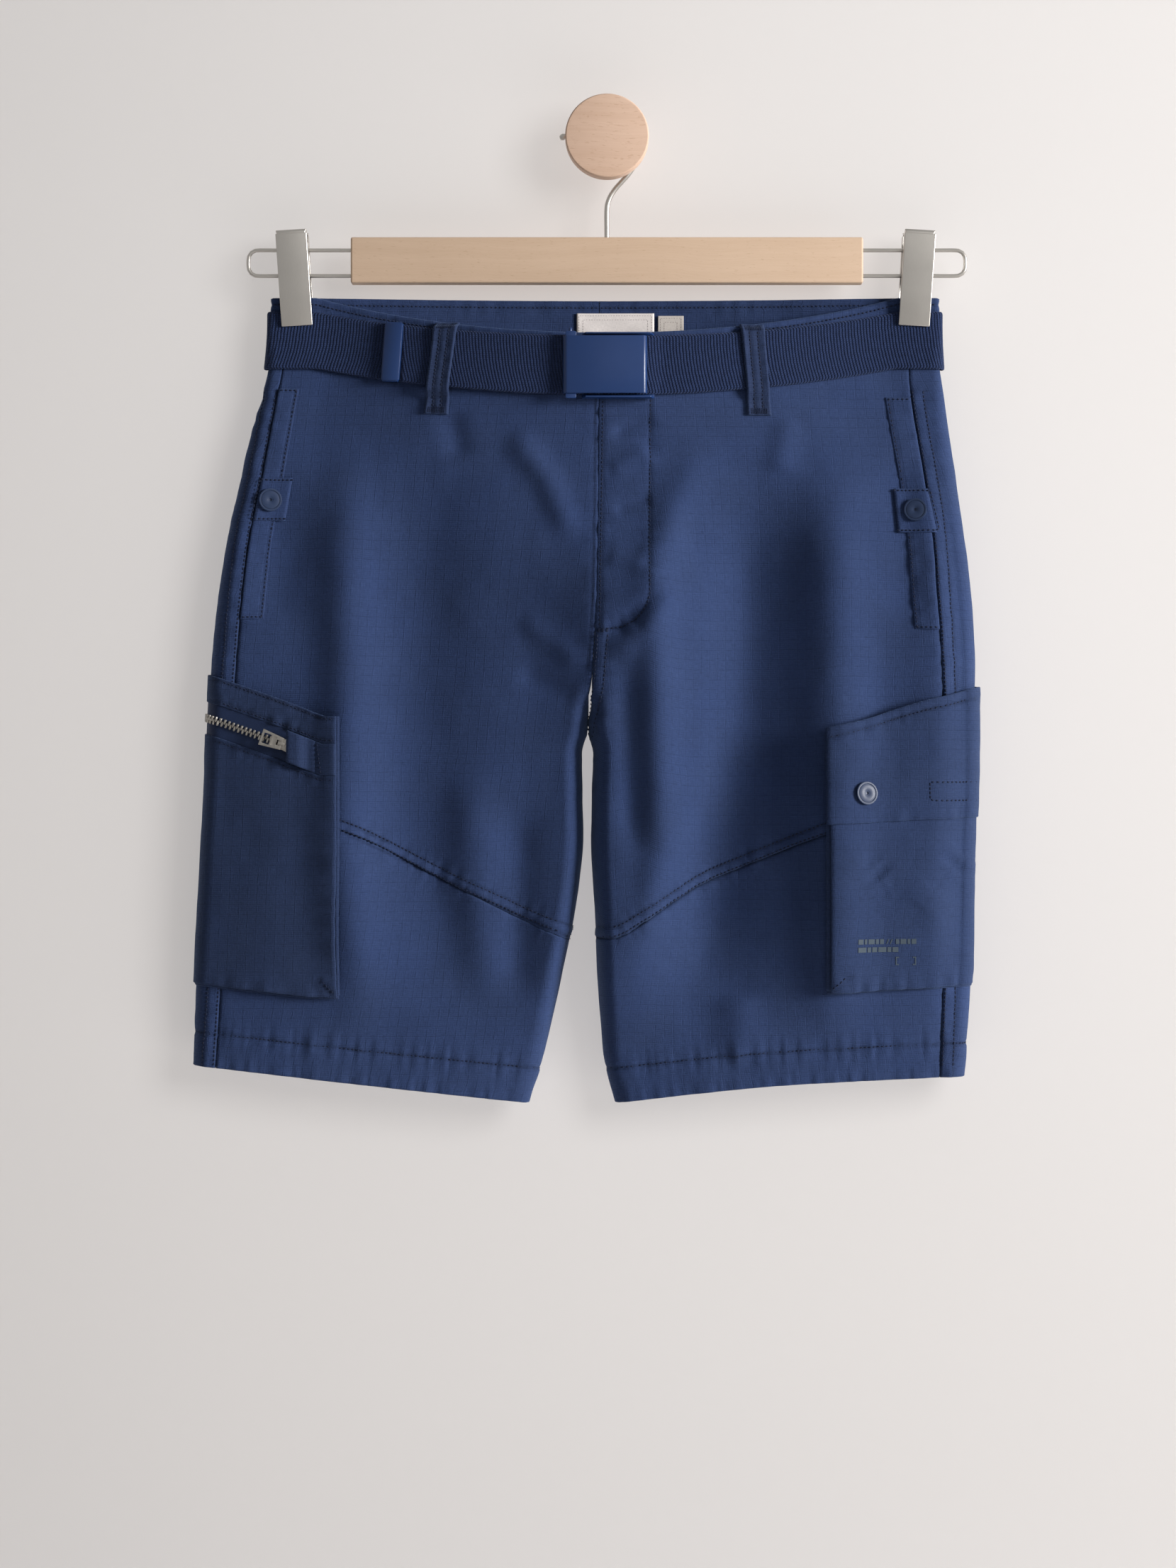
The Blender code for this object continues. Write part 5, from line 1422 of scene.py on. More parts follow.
@dataclass
class LegPanels:
    """Front, lower front, back and hem turn of each leg, with their seams."""

    knee_band: float = 7.8
    hem_depth: float = 22.5
    thread: Stitching = field(default_factory=Stitching)

    def seam_stations(self, side: Side) -> tuple[Columns, Columns]:
        """Columns of the front and of the back panel."""
        front = Columns(
            (fixed(0.0), fixed(0.06), fixed(1.0), beside_seam(side, -0.004), beside_seam(side, -0.0005)),
            (1, 6, 146, 1),
        )
        back = Columns(
            (
                beside_seam(side, 0.0005), beside_seam(side, 0.004), fixed(2.0), fixed(4.0), fixed(5.0),
                fixed(5.94), fixed(6.0),
            ),
            (1, 7, 18, 84, 5, 1),
        )
        return front, back

    def build(self) -> None:
        """Makes every panel and sews it."""
        for side in Side:
            front, back = self.seam_stations(side)
            knee = Route(KNEE_SEAM[side.value])
            towards_left = side is Side.LEFT
            knee_seam = Seam(knee, self.knee_band, 0.45, 0.3, 0.42, 7.0, 1)
            over_band = Seam(Route(offset(knee.points, dz=7.3)), pucker=0.3, seed=2)
            seams = [knee_seam, over_band]
            if towards_left:
                seams += self.fly_seams()
            else:
                seams += [Seam(Route(((-7.5, -165), (-9.5, -325), (-12.5, -350))), pucker=0.25, seed=5)]
            side_line = column_route(beside_seam(side, -0.001), side, -165, -636)
            seams.append(Seam(side_line, pucker=0.35, groove=0.2, reach=5.0, seed=6 + towards_left))
            below_knee = [Seam(knee, pucker=0.4, groove=0.3, reach=7.0, seed=3)]
            hem = Seam(Route(offset(HEM[side.value], dz=self.hem_depth)), -24.5, 0.3, 0.3, 0.5, 9.0, 8)
            hem_edge = Seam(Route(offset(HEM[side.value], dz=0.5)), pucker=0.45, groove=0.0, reach=8.0, seed=9)
            hems = [hem, hem_edge]
            low = [*below_knee, *hems, Seam(side_line, pucker=0.3, groove=0.2, reach=5.0, seed=10)]
            outer = column_route(beside_seam(side, 0.0), side, -165, -636, 8.3 * side.sign)
            felled = Seam(side_line, math.copysign(8.6, side.sign), 0.5, 0.3, 0.35, 5.0, 12)
            crotch_back = column_route(fixed(5.9), side, -150, -400)
            back_seams = [
                felled,
                Seam(outer, pucker=0.3, seed=13),
                *hems,
                Seam(crotch_back, pucker=0.3, seed=14),
            ]

            def under_band(side: Side, station: Array) -> Array:
                return FORM.waist_seam(side, station) - SEAM_LINE

            def over_knee(side: Side, station: Array) -> Array:
                return FORM.knee(side, station) + SEAM_LINE / 2

            def below(side: Side, station: Array) -> Array:
                return FORM.knee(side, station) - SEAM_LINE / 2

            name = side.value
            upper = ClothPiece(f"leg_front_{name}", side, front, under_band, over_knee, 196, seams=seams)
            lower = ClothPiece(f"leg_front_{name}_lower", side, front, below, FORM.hem, 84, seams=low)
            rear = ClothPiece(
                f"leg_back_{name}", side, back, under_band, FORM.hem, 190, seams=back_seams, rumple=0.5
            )
            panels = ((upper, f"front_{name}"), (lower, f"front_{name}_lower"), (rear, f"back_{name}"))
            for piece, nodes in panels:
                obj = dress(piece.build(), "cloth", replaces=[nodes])
                declare_sheet(obj)
            self.sew_leg(side, upper, lower, rear, knee)
            self.hem_turn(side)
        obj = self.thread.build("stitches_legs")
        dress(obj, "thread")

    def fly_seams(self) -> list[Seam]:
        """Seams of the fly and the centre front, on the left half."""
        return [
            Seam(Route(self.fly_route()), pucker=0.45, reach=7.0, seed=15),
            Seam(Route(((-2.6, -165), (-4.6, -325))), 0.0, 0.0, 0.3, 0.35, 6.0, 16),
            Seam(Route(((-7.6, -325), (-9.6, -364), (-14, -400))), 8.0, 0.5, 0.3, 0.35, 6.0, 17),
            Seam(Route(((0.6, -328), (-2.2, -364), (-6.4, -396))), pucker=0.35, seed=18),
        ]

    def fly_route(self) -> tuple[tuple[float, float], ...]:
        """The J-shaped line that holds the fly facing."""
        curve = [(28.4, -165), (28.1, -240), (27.8, -286)]
        centre, radius = (3.0, -300.0), (24.8, 24.5)
        for angle in np.linspace(0, 80, 9):
            turn = math.radians(angle)
            curve.append((centre[0] + radius[0] * math.cos(turn), centre[1] - radius[1] * math.sin(turn)))
        return (*curve, (-6.6, -325.0))

    def sew_leg(self, side: Side, upper: ClothPiece, lower: ClothPiece, rear: ClothPiece, knee: Route) -> None:
        """Sews one leg.

        Args:
            side: Which leg.
            upper: Its upper front.
            lower: Its lower front.
            rear: Its back.
            knee: The thigh seam.
        """
        t = self.thread
        inner = -14 if side is Side.RIGHT else -4
        outside = -246 if side is Side.RIGHT else 219
        low, high = sorted((inner, outside))
        line = SoftCurve(*zip(*knee.points))
        xs = np.linspace(low, high, 90)
        for over in (1.1, 7.3):
            t.sew(upper, Route(tuple(zip(xs.tolist(), (line(xs) + over).tolist()))))
        hem = SoftCurve(*zip(*HEM[side.value]))
        inner_hem = -44 if side is Side.RIGHT else 1
        outside_hem = -257 if side is Side.RIGHT else 219
        xs = np.linspace(*sorted((inner_hem, outside_hem)), 60)
        t.sew(lower, Route(tuple(zip(xs.tolist(), (hem(xs) + self.hem_depth).tolist()))))
        stations = np.linspace(2.05, 5.9, 400)
        t.sew_stations(rear, stations, FORM.hem(side, stations) + self.hem_depth * MM)
        if side is Side.LEFT:
            t.sew(upper, Route(self.fly_route()))
            t.sew(upper, Route(((-2.6, -166), (-4.8, -323))))
            t.sew(upper, Route(((-5.8, -328), (-8.4, -364), (-12.2, -394))))
            t.sew(upper, Route(((0.6, -328), (-2.2, -364), (-6.4, -396))))
            for shift in (0.0, 0.9):
                t.sew(upper, Route(((-6.6, -325.6 - shift), (1.5, -325.6 - shift))))
        z = np.linspace(-0.166, -0.612, 300)
        shift = 1.2 * MM
        x = FORM.seam_x(side, z)
        t.sew_stations(rear, FORM.station(side, "front", x + side.sign * shift, z), z)
        t.sew_stations(rear, FORM.station(side, "front", x + side.sign * 8.3 * MM, z), z)
        seat = np.linspace(-0.15, -0.39, 120)
        if side is Side.LEFT:
            for near in (1.6, 7.8):
                x = FORM.inner_x(side, seat) + near * MM
                t.sew_stations(rear, FORM.station(side, "back", x, seat), seat)

    def hem_turn(self, side: Side) -> None:
        """Makes the turned-up cloth inside a hem."""
        anchors = tuple(fixed(station) for station in (0.0, 1.0, 2.0, 4.0, 5.0, 5.9))
        stations = Columns(anchors, (4, 24, 14, 24, 4))

        def lower(side: Side, station: Array) -> Array:
            return FORM.hem(side, station) + 0.3 * MM

        def upper(side: Side, station: Array) -> Array:
            return FORM.hem(side, station) + 23 * MM

        piece = ClothPiece(
            f"hem_turn_{side.value}_cloth", side, stations, upper, lower, 5, -0.15 * MM - STRIP, STRIP,
            rumple=0.2, ring=True,
        )
        declare_sheet(dress(piece.build(), "cloth", replaces=[f"hem_turn_{side.value}"]))


@dataclass
class Waistband:
    """The waistband's two halves and the fly facing behind the left front."""

    thread: Stitching = field(default_factory=Stitching)

    def build(self) -> None:
        """Makes and sews both halves."""
        for side in Side:
            columns = Columns(
                tuple(fixed(station) for station in (0.0, 0.06, 1.0, 2.0, 4.0, 5.0, 5.94, 6.0)),
                (1, 4, 110, 12, 90, 4, 1),
            )
            piece = ClothPiece(
                f"waistband_{side.value}_cloth", side, columns, FORM.waist_top, FORM.waist_seam, 18, 0.0, BAND,
                rumple=0.3, seams=self.edge_seams(side),
            )
            declare_sheet(dress(piece.build(), "cloth", replaces=[f"waistband_{side.value}"]))
            stations = np.linspace(0.05, 5.95, 900)
            for drop in (4.5, WAISTBAND_DEPTH / MM - 2.5):
                self.thread.sew_stations(piece, stations, FORM.waist_top(side, stations) - drop * MM)
            self.sew_inside(piece, stations)
        dress(self.thread.build("stitches_waistband"), "thread")
        self.fly_facing()

    def edge_seams(self, side: Side) -> list[Seam]:
        """Puckers under the top stitching, on the front and the back alike."""
        seams = []
        for face, seed in (("front", 30), ("back", 31)):
            ends = (0.02, 2.9) if face == "front" else (3.1, 5.98)
            stations = np.linspace(*ends, 14)
            x = FORM.x_at(side, stations, -0.12) / MM
            z = FORM.waist_top(side, stations) / MM - 4.5
            seams.append(Seam(Route(tuple(zip(x.tolist(), z.tolist()))), pucker=0.22, groove=0.15, seed=seed))
        return seams

    def sew_inside(self, piece: ClothPiece, stations: Array) -> None:
        """Runs the top line again on the band's inner face, where it shows at the back."""
        z = FORM.waist_top(piece.side, stations) - 4.5 * MM
        base, normal = FORM.surface(piece.side, stations, z), FORM.outward(piece.side, stations, z)
        lift = piece.detail(base[..., 0], z) + 0.1 * MM
        self.thread.sew_points(base + normal * lift[..., None], -normal)

    def fly_facing(self) -> None:
        """Makes the facing behind the fly, with its rounded foot."""
        def foot(side: Side, station: Array) -> Array:
            return -324 * MM + smooth((station - 1.0) / 0.12) * 26 * MM

        def high(side: Side, station: Array) -> Array:
            return FORM.waist_seam(side, station) - 2 * MM

        def near(inset: float) -> Station:
            return lambda z: FORM.station(Side.LEFT, "front", FORM.inner_x(Side.LEFT, z) + inset, z)

        piece = ClothPiece(
            "fly_facing_cloth", Side.LEFT, Columns((near(0.6 * MM), near(33.5 * MM)), (14,)), high, foot, 40,
            -0.2 * MM - STRIP, STRIP, rumple=0.35,
        )
        declare_sheet(dress(piece.build(), "cloth", replaces=["fly_facing"]))


# ---------------------------------------------------------------- hard pieces, modelled as by hand
Faces = Callable[[Vector, Vector], bool]


def deselect() -> None:
    """Leaves nothing selected."""
    if bpy.context.mode != "OBJECT":
        bpy.ops.object.mode_set(mode="OBJECT")
    bpy.ops.object.select_all(action="DESELECT")


@dataclass
class Workbench:
    """One hard piece while it is shaped, at the origin, before it goes to its place."""

    name: str
    obj: bpy.types.Object | None = None

    def start(self) -> "Workbench":
        """Takes the new primitive as the piece and opens it for editing."""
        self.obj = bpy.context.object
        self.obj.name = self.obj.data.name = self.name
        return self

    def block(self, size: Sequence[float], at: Sequence[float] = (0, 0, 0)) -> "Workbench":
        """Starts from a box of a size."""
        deselect()
        bpy.ops.mesh.primitive_cube_add(size=1.0, location=at, scale=size)
        bpy.ops.object.transform_apply(location=True, rotation=False, scale=True)
        return self.start()

    def turned(self, radius: float, depth: float, sides: int = 40, at: Sequence[float] = (0, 0, 0)) -> "Workbench":
        """Starts from a cylinder along Z."""
        deselect()
        bpy.ops.mesh.primitive_cylinder_add(vertices=sides, radius=radius, depth=depth, location=at)
        bpy.ops.object.transform_apply(location=True, rotation=False, scale=True)
        return self.start()

    def select(self, wanted: Faces) -> "Workbench":
        """Selects the faces whose centre and normal are wanted, in edit mode."""
        if bpy.context.mode != "OBJECT":
            bpy.ops.object.mode_set(mode="OBJECT")
        bpy.ops.object.select_all(action="DESELECT")
        self.obj.select_set(True)
        bpy.context.view_layer.objects.active = self.obj
        bpy.ops.object.mode_set(mode="EDIT")
        bpy.ops.mesh.select_mode(type="FACE")
        bpy.ops.mesh.select_all(action="DESELECT")
        bpy.ops.object.mode_set(mode="OBJECT")
        for face in self.obj.data.polygons:
            face.select = wanted(face.center, face.normal)
        bpy.ops.object.mode_set(mode="EDIT")
        return self

    def inset(self, width: float, depth: float = 0.0) -> "Workbench":
        """Insets the selected faces, then moves them along their normal."""
        bpy.ops.mesh.inset(thickness=width, depth=0.0, use_even_offset=True)
        if depth:
            bpy.ops.transform.shrink_fatten(value=depth)
        return self

    def extrude(self, distance: float) -> "Workbench":
        """Extrudes the selected faces along their normals."""
        bpy.ops.mesh.extrude_region_shrink_fatten(TRANSFORM_OT_shrink_fatten={"value": distance})
        return self

    def cut(self, at: Sequence[float], normal: Sequence[float]) -> "Workbench":
        """Cuts the whole piece along a plane, so that it has an edge there."""
        self.select(lambda centre, normal: True)
        bpy.ops.mesh.bisect(plane_co=at, plane_no=normal)
        return self

    def edges(self, wanted: Faces) -> "Workbench":
        """Selects the edges whose two ends are wanted, in edit mode."""
        self.select(lambda centre, normal: False)
        bpy.ops.mesh.select_mode(type="EDGE")
        bpy.ops.object.mode_set(mode="OBJECT")
        points = self.obj.data.vertices
        for edge in self.obj.data.edges:
            edge.select = wanted(*(points[i].co for i in edge.vertices))
        bpy.ops.object.mode_set(mode="EDIT")
        return self

    def points(self, wanted: Callable[[Vector], bool]) -> "Workbench":
        """Selects the vertices that are wanted, in edit mode."""
        self.select(lambda centre, normal: False)
        bpy.ops.mesh.select_mode(type="VERT")
        bpy.ops.object.mode_set(mode="OBJECT")
        for point in self.obj.data.vertices:
            point.select = wanted(point.co)
        bpy.ops.object.mode_set(mode="EDIT")
        return self

    def bevel(self, width: float, segments: int) -> "Workbench":
        """Bevels the selected edges."""
        bpy.ops.mesh.bevel(offset=width, segments=segments, affect="EDGES")
        return self

    def shift(self, way: Sequence[float]) -> "Workbench":
        """Moves what is selected."""
        bpy.ops.transform.translate(value=way)
        return self

    def bridge(self) -> "Workbench":
        """Opens a hole between the two selected faces."""
        bpy.ops.mesh.bridge_edge_loops()
        return self

    def finish(self, matrix: Matrix, bevel: float = 0.0, segments: int = 3, angle: float = 30.0) -> bpy.types.Object:
        """Rounds the piece's edges and puts it in its place.

        Args:
            matrix: Its place.
            bevel: Width of its rounded edges.
            segments: Steps in them.
            angle: Edges sharper than this, in degrees, are rounded.

        Returns:
            The finished piece, its object at the origin.
        """
        deselect()
        obj = self.obj
        obj.select_set(True)
        bpy.context.view_layer.objects.active = obj
        if bevel:
            rounded = obj.modifiers.new("rounded edges", "BEVEL")
            rounded.width, rounded.segments = bevel, segments
            rounded.limit_method, rounded.angle_limit = "ANGLE", math.radians(angle)
            rounded.harden_normals = False
            bpy.ops.object.modifier_apply(modifier=rounded.name)
        bpy.ops.object.mode_set(mode="EDIT")
        bpy.ops.mesh.select_all(action="SELECT")
        bpy.ops.mesh.remove_doubles(threshold=1e-6)
        bpy.ops.mesh.normals_make_consistent(inside=False)
        bpy.ops.object.mode_set(mode="OBJECT")
        bpy.ops.object.shade_smooth_by_angle(angle=math.radians(38))
        obj.data.transform(matrix)
        obj.data.update()
        deselect()
        return obj


def copy_of(obj: bpy.types.Object, name: str, matrix: Matrix) -> bpy.types.Object:
    """A copy with its own mesh, moved by a matrix."""
    copy = bpy.data.objects.new(name, obj.data.copy())
    copy.data.name = name
    copy.data.transform(matrix)
    bpy.context.scene.collection.objects.link(copy)
    return copy


def tube(
    name: str, route: Sequence[Sequence[float]], radius: float, sides: int = 14, smooth_steps: int = 4,
    ball: float = 0.0,
) -> bpy.types.Object:
    """A round wire through points, closed at its ends.

    Args:
        name: Its name.
        route: The points of its centre line.
        radius: Its radius.
        sides: Sides of its section.
        smooth_steps: Steps between two points.
        ball: Radius of a ball at its end, if it has one.

    Returns:
        The wire.
    """
    points = np.array(route, float)
    run = np.concatenate([[0], np.cumsum(np.linalg.norm(np.diff(points, axis=0), axis=1))])
    at = np.linspace(0, run[-1], (len(points) - 1) * smooth_steps + 1)
    line = np.stack([SoftCurve(run, points[:, i])(at) for i in range(3)], -1)
    ahead = np.gradient(line, axis=0)
    ahead /= np.linalg.norm(ahead, axis=1, keepdims=True)
    radii = np.full(len(line), radius)
    backs = [1.0, 0.88, 0.6, 0.0]
    start = [line[0] - ahead[0] * radius * 0.5 * b for b in backs[:-1]]
    end = [line[-1] + ahead[-1] * radius * 0.5 * b for b in reversed(backs[:-1])]
    line = np.concatenate([start, line, end])
    ahead = np.concatenate([np.repeat(ahead[:1], 3, 0), ahead, np.repeat(ahead[-1:], 3, 0)])
    radii = np.concatenate([radius * np.array([0.02, 0.45, 0.8]), radii, radius * np.array([0.8, 0.45, 0.02])])
    if ball:
        away = np.linalg.norm(line - line[-1], axis=1)
        radii = np.maximum(radii, np.sqrt(np.maximum(ball**2 - (away - ball) ** 2, 1e-12)))
    side = np.cross(ahead, (0, 1, 0.001))
    side /= np.linalg.norm(side, axis=1, keepdims=True)
    other = np.cross(ahead, side)
    turn = np.linspace(0, 2 * math.pi, sides, endpoint=False)
    rings = line[:, None] + radii[:, None, None] * (
        side[:, None] * np.cos(turn)[None, :, None] + other[:, None] * np.sin(turn)[None, :, None]
    )
    rows = len(rings)
    r, c = np.meshgrid(np.arange(rows - 1), np.arange(sides), indexing="ij")
    r, c = r.ravel(), c.ravel()
    after = (c + 1) % sides
    faces = np.stack([r * sides + c, r * sides + after, (r + 1) * sides + after, (r + 1) * sides + c], 1)
    obj = new_object(name, rings.reshape(-1, 3), faces)
    deselect()
    obj.select_set(True)
    bpy.context.view_layer.objects.active = obj
    bpy.ops.object.mode_set(mode="EDIT")
    bpy.ops.mesh.select_all(action="SELECT")
    bpy.ops.mesh.remove_doubles(threshold=radius * 0.05)
    bpy.ops.mesh.fill_holes(sides=0)
    bpy.ops.mesh.normals_make_consistent(inside=False)
    bpy.ops.object.mode_set(mode="OBJECT")
    obj.data.shade_smooth()
    deselect()
    return obj


def axes(origin: Sequence[float], x_axis: Sequence[float], z_axis: Sequence[float]) -> Matrix:
    """Axes at origin: local X near x_axis, local Z along z_axis."""
    z = Vector(z_axis).normalized()
    y = z.cross(Vector(x_axis)).normalized()
    x = y.cross(z).normalized()
    return Matrix.Translation(origin) @ Matrix((x, y, z)).transposed().to_4x4()


def seat_of(piece: ClothPiece, x: float, z: float, over: float = 0.0, face: str = "front") -> Matrix:
    """Axes on a piece's outer skin at a place in millimetres, local Z outwards."""
    at = np.array([x]) * MM, np.array([z]) * MM
    points, normals = piece.outer_at(FORM.station(piece.side, face, *at), at[1], over)
    return axes(points[0], (1, 0, 0), normals[0])


def snap_cap() -> bpy.types.Object:
    """The domed cap of a press stud, with its rolled rim, ring and centre dimple."""
    bench = Workbench("snap_cap_model").turned(7.5 * MM, 2.2 * MM, 48, (0, 0, 1.1 * MM))
    bench.select(lambda centre, normal: normal.z > 0.9)
    bench.inset(1.25 * MM).extrude(-0.45 * MM).inset(0.25 * MM).extrude(0.30 * MM)
    bench.inset(4.1 * MM).extrude(-0.12 * MM).inset(0.9 * MM).extrude(-0.7 * MM)
    return bench.finish(Matrix.Identity(4), 0.22 * MM, 2, 28)


# ---------------------------------------------------------------- hip pockets
@dataclass
class HipPocket:
    """A slanted pocket: its edge band, the tab that a press stud closes, and their stitching."""

    side: Side
    top: float
    bottom: float
    width_top: float
    width_bottom: float
    tab: tuple[tuple[float, float], tuple[float, float], tuple[float, float], tuple[float, float]]
    snap: tuple[float, float]
    thread: Stitching = field(default_factory=Stitching)

    def edge(self, inset: float) -> Station:
        """A column of the band, from 0 at the opening to 1 at its inner edge."""
        def at(z: Array) -> Array:
            share = np.clip((self.top - z / MM) / (self.top - self.bottom), 0, 1)
            width = (self.width_top + (self.width_bottom - self.width_top) * share) * MM
            x = FORM.seam_x(self.side, z) - self.side.sign * (0.4 * MM + inset * width)
            return FORM.station(self.side, "front", x, z)

        return at

    def route(self, inset: float, high: float, low: float) -> Route:
        """A line down the band."""
        z = np.linspace(high, low, 14)
        x = FORM.surface(self.side, self.edge(inset)(z * MM), z * MM)[..., 0] / MM
        return Route(tuple(zip(x.tolist(), z.tolist())))

    def build(self, cap: bpy.types.Object) -> None:
        """Makes the pocket.

        Args:
            cap: The press stud's cap, to be copied.
        """
        name = self.side.value
        inner = self.route(0.9, self.top - 0.5, self.bottom + 0.5)
        seams = [
            Seam(inner, pucker=0.3, reach=4.0, seed=40),
            Seam(self.route(0.02, self.top, self.bottom), pucker=0.3, groove=0.0, reach=4.0, seed=41),
        ]
        columns = Columns((self.edge(0.0), self.edge(0.04), self.edge(0.96), self.edge(1.0)), (1, 9, 1))
        band = ClothPiece(
            f"hip_pocket_band_{name}", self.side, columns, straight(self.top * MM),
            straight(self.bottom * MM), 90, PANEL + LAP, STRIP, seams, 0.3,
        )
        declare_sheet(dress(band.build(), "cloth", replaces=[f"pocket_band_{name}"]))
        (x0, z0), (x1, _), (x2, _), (x3, z3) = self.tab

        def corner(top_x: float, low_x: float) -> Station:
            def at(z: Array) -> Array:
                share = np.clip((z0 - z / MM) / (z0 - z3), 0, 1)
                return FORM.station(self.side, "front", (top_x + (low_x - top_x) * share) * MM, z)

            return at

        patch = ClothPiece(
            f"hip_pocket_tab_{name}", self.side, Columns((corner(x0, x3), corner(x1, x2)), (10,)),
            straight(z0 * MM), straight(z3 * MM), 14,
            PANEL + LAP + STRIP + 0.05 * MM, 0.6 * MM, rumple=0.3,
        )
        declare_sheet(dress(patch.build(), "cloth"))
        inward = -self.side.sign
        self.thread.sew(band, inner)
        rim = [(x1 - inward * 1.3, z0 - 1.3), (x2 - inward * 1.3, z3 + 1.3)]
        self.thread.sew(patch, Route(((x0 + inward, z0 - 1.3), rim[0], rim[1], (x3 + inward, z3 + 1.3))))
        for z in (self.top - 1.2, self.bottom + 1.2):
            ends = self.route(0.05, z, z - 0.01).points[0], self.route(0.95, z, z - 0.01).points[0]
            self.thread.sew(band, Route(ends))
        place = seat_of(patch, *self.snap, 0.05 * MM)
        obj = copy_of(cap, f"press_stud_{name}_pocket", place)
        dress(obj, "stud", replaces=[f"snap_pocket_{name}"])
        dress(self.thread.build(f"stitches_hip_pocket_{name}"), "thread")


# ---------------------------------------------------------------- cargo pockets
@dataclass(frozen=True)
class CargoShape:
    """Outline of a cargo pocket: its front and back edges, and its top and foot at front, fold and back."""

    side: Side
    front_x: float
    back_x: float
    top: tuple[float, float, float]
    foot: tuple[float, float, float]

    fold_clear: float = 2.3 * MM
    stand: float = 6.6 * MM
    wall_press: float = 0.45

    def edge(self, face: str, inset: float = 0.0) -> Station:
        """The pocket's front or back edge, moved inwards by inset."""
        x = (self.front_x if face == "front" else self.back_x) * MM + self.side.sign * inset
        return at_x(self.side, face, x)

    def line(self, which: tuple[float, float, float], drop: float = 0.0) -> Line:
        """The top or the foot, moved down by drop."""
        front, fold, back = (value * MM for value in which)

        def share(face: str, side: Side, station: Array) -> Array:
            edge = self.edge(face)(np.array([-0.3]))
            start = FORM.x_at(side, edge, -0.46)[0]
            here = FORM.x_at(side, station, -0.46)
            return np.clip((here - start) / (FORM.outer_x(side, -0.46) - start), 0.0, 1.0)

        def height(side: Side, station: Array) -> Array:
            ahead = front + (fold - front) * share("front", side, station)
            behind = back + (fold - back) * share("back", side, station)
            return np.where(station <= SIDE_FOLD, ahead, behind) - drop

        return height

    def bellows(self, side: Side, station: Array, z: Array) -> Array:
        """How far the pocket's face stands off the cloth's inner face."""
        x = np.abs(FORM.outer_x(side, z) - FORM.surface(side, station, z)[..., 0])
        against_wall = 1 - self.wall_press * smooth(station - SIDE_FOLD)
        return self.fold_clear + (self.stand - self.fold_clear) * smooth(x / (55 * MM)) * against_wall

    def columns(self, inset: float = 0.0, face: int = 30) -> Columns:
        """Columns from the front edge, round the fold, to the back edge."""
        anchors = (
            self.edge("front", inset), self.edge("front", inset + 0.5 * MM), fixed(2.0), fixed(4.0),
            self.edge("back", inset + 0.5 * MM), self.edge("back", inset),
        )
        return Columns(anchors, (1, face, 16, face - 8, 1))

    def outline(self, which: tuple[float, float, float], face: str, drop: float, start: float, end: float) -> Route:
        """A route parallel to the top or foot on one face, from x start to end, in millimetres."""
        xs = np.linspace(start, end, 14) * MM
        z = np.full(14, -0.45)
        for _ in range(4):
            z = self.line(which, drop * MM)(self.side, FORM.station(self.side, face, xs, z))
        return Route(tuple(zip((xs / MM).tolist(), (z / MM).tolist())))


@dataclass
class CargoPocket:
    """What both cargo pockets share: the pleated bellows, darts and edge stitching."""

    shape: CargoShape
    thread: Stitching = field(default_factory=Stitching)

    def bellows(self, top: Line, node: str) -> None:
        """Makes the pleats between the pocket's face and the leg.

        Args:
            top: The pleats' top.
            node: The CAD node that they stand for.
        """
        shape, side = self.shape, self.shape.side
        name = side.value

        def part(share: float) -> Lift:
            low = PANEL + LAP
            return lambda side, s, z: low + (shape.bellows(side, s, z) - low - 1.6 * MM) * share

        foot = shape.line(shape.foot, -1.2 * MM)

        def upright(face: str, near: float, far: float, count: int) -> Columns:
            return Columns((shape.edge(face, near * MM), shape.edge(face, far * MM)), (count,))

        def foot_line(drop: float) -> Line:
            return shape.line(shape.foot, drop * MM)

        strips = {
            "upright": (upright("front", -1.3, 7, 5), top, foot, 60, 0.62),
            "upright_inner": (upright("front", 2.5, 8, 4), top, foot, 60, 0.1),
            "foot": (shape.columns(-0.6 * MM, 24), foot_line(-9), foot_line(1.4), 6, 0.45),
            "foot_inner": (shape.columns(3.0 * MM, 24), foot_line(-10), foot_line(-2.4), 5, 0.0),
            "back_upright": (upright("back", -1.3, 7, 5), top, foot, 40, 0.5),
        }
        for index, (label, (columns, high, low, rows, share)) in enumerate(strips.items()):
            piece = ClothPiece(
                f"cargo_bellows_{label}_{name}", side, columns, high, low, rows, part(share), 0.8 * MM,
                rumple=0.45,
            )
            obj = dress(piece.build(), "cargo", replaces=[node] if index == 0 else [])
            declare_sheet(obj)

    def dart(self, piece: ClothPiece) -> None:
        """Sews the short diagonal dart across the pocket's lower front corner."""
        shape = self.shape
        x, z = shape.front_x, shape.foot[0]
        out = shape.side.sign
        self.thread.sew(piece, Route(((x + out * 2, z + 3), (x + out * 9.5, z + 11))))


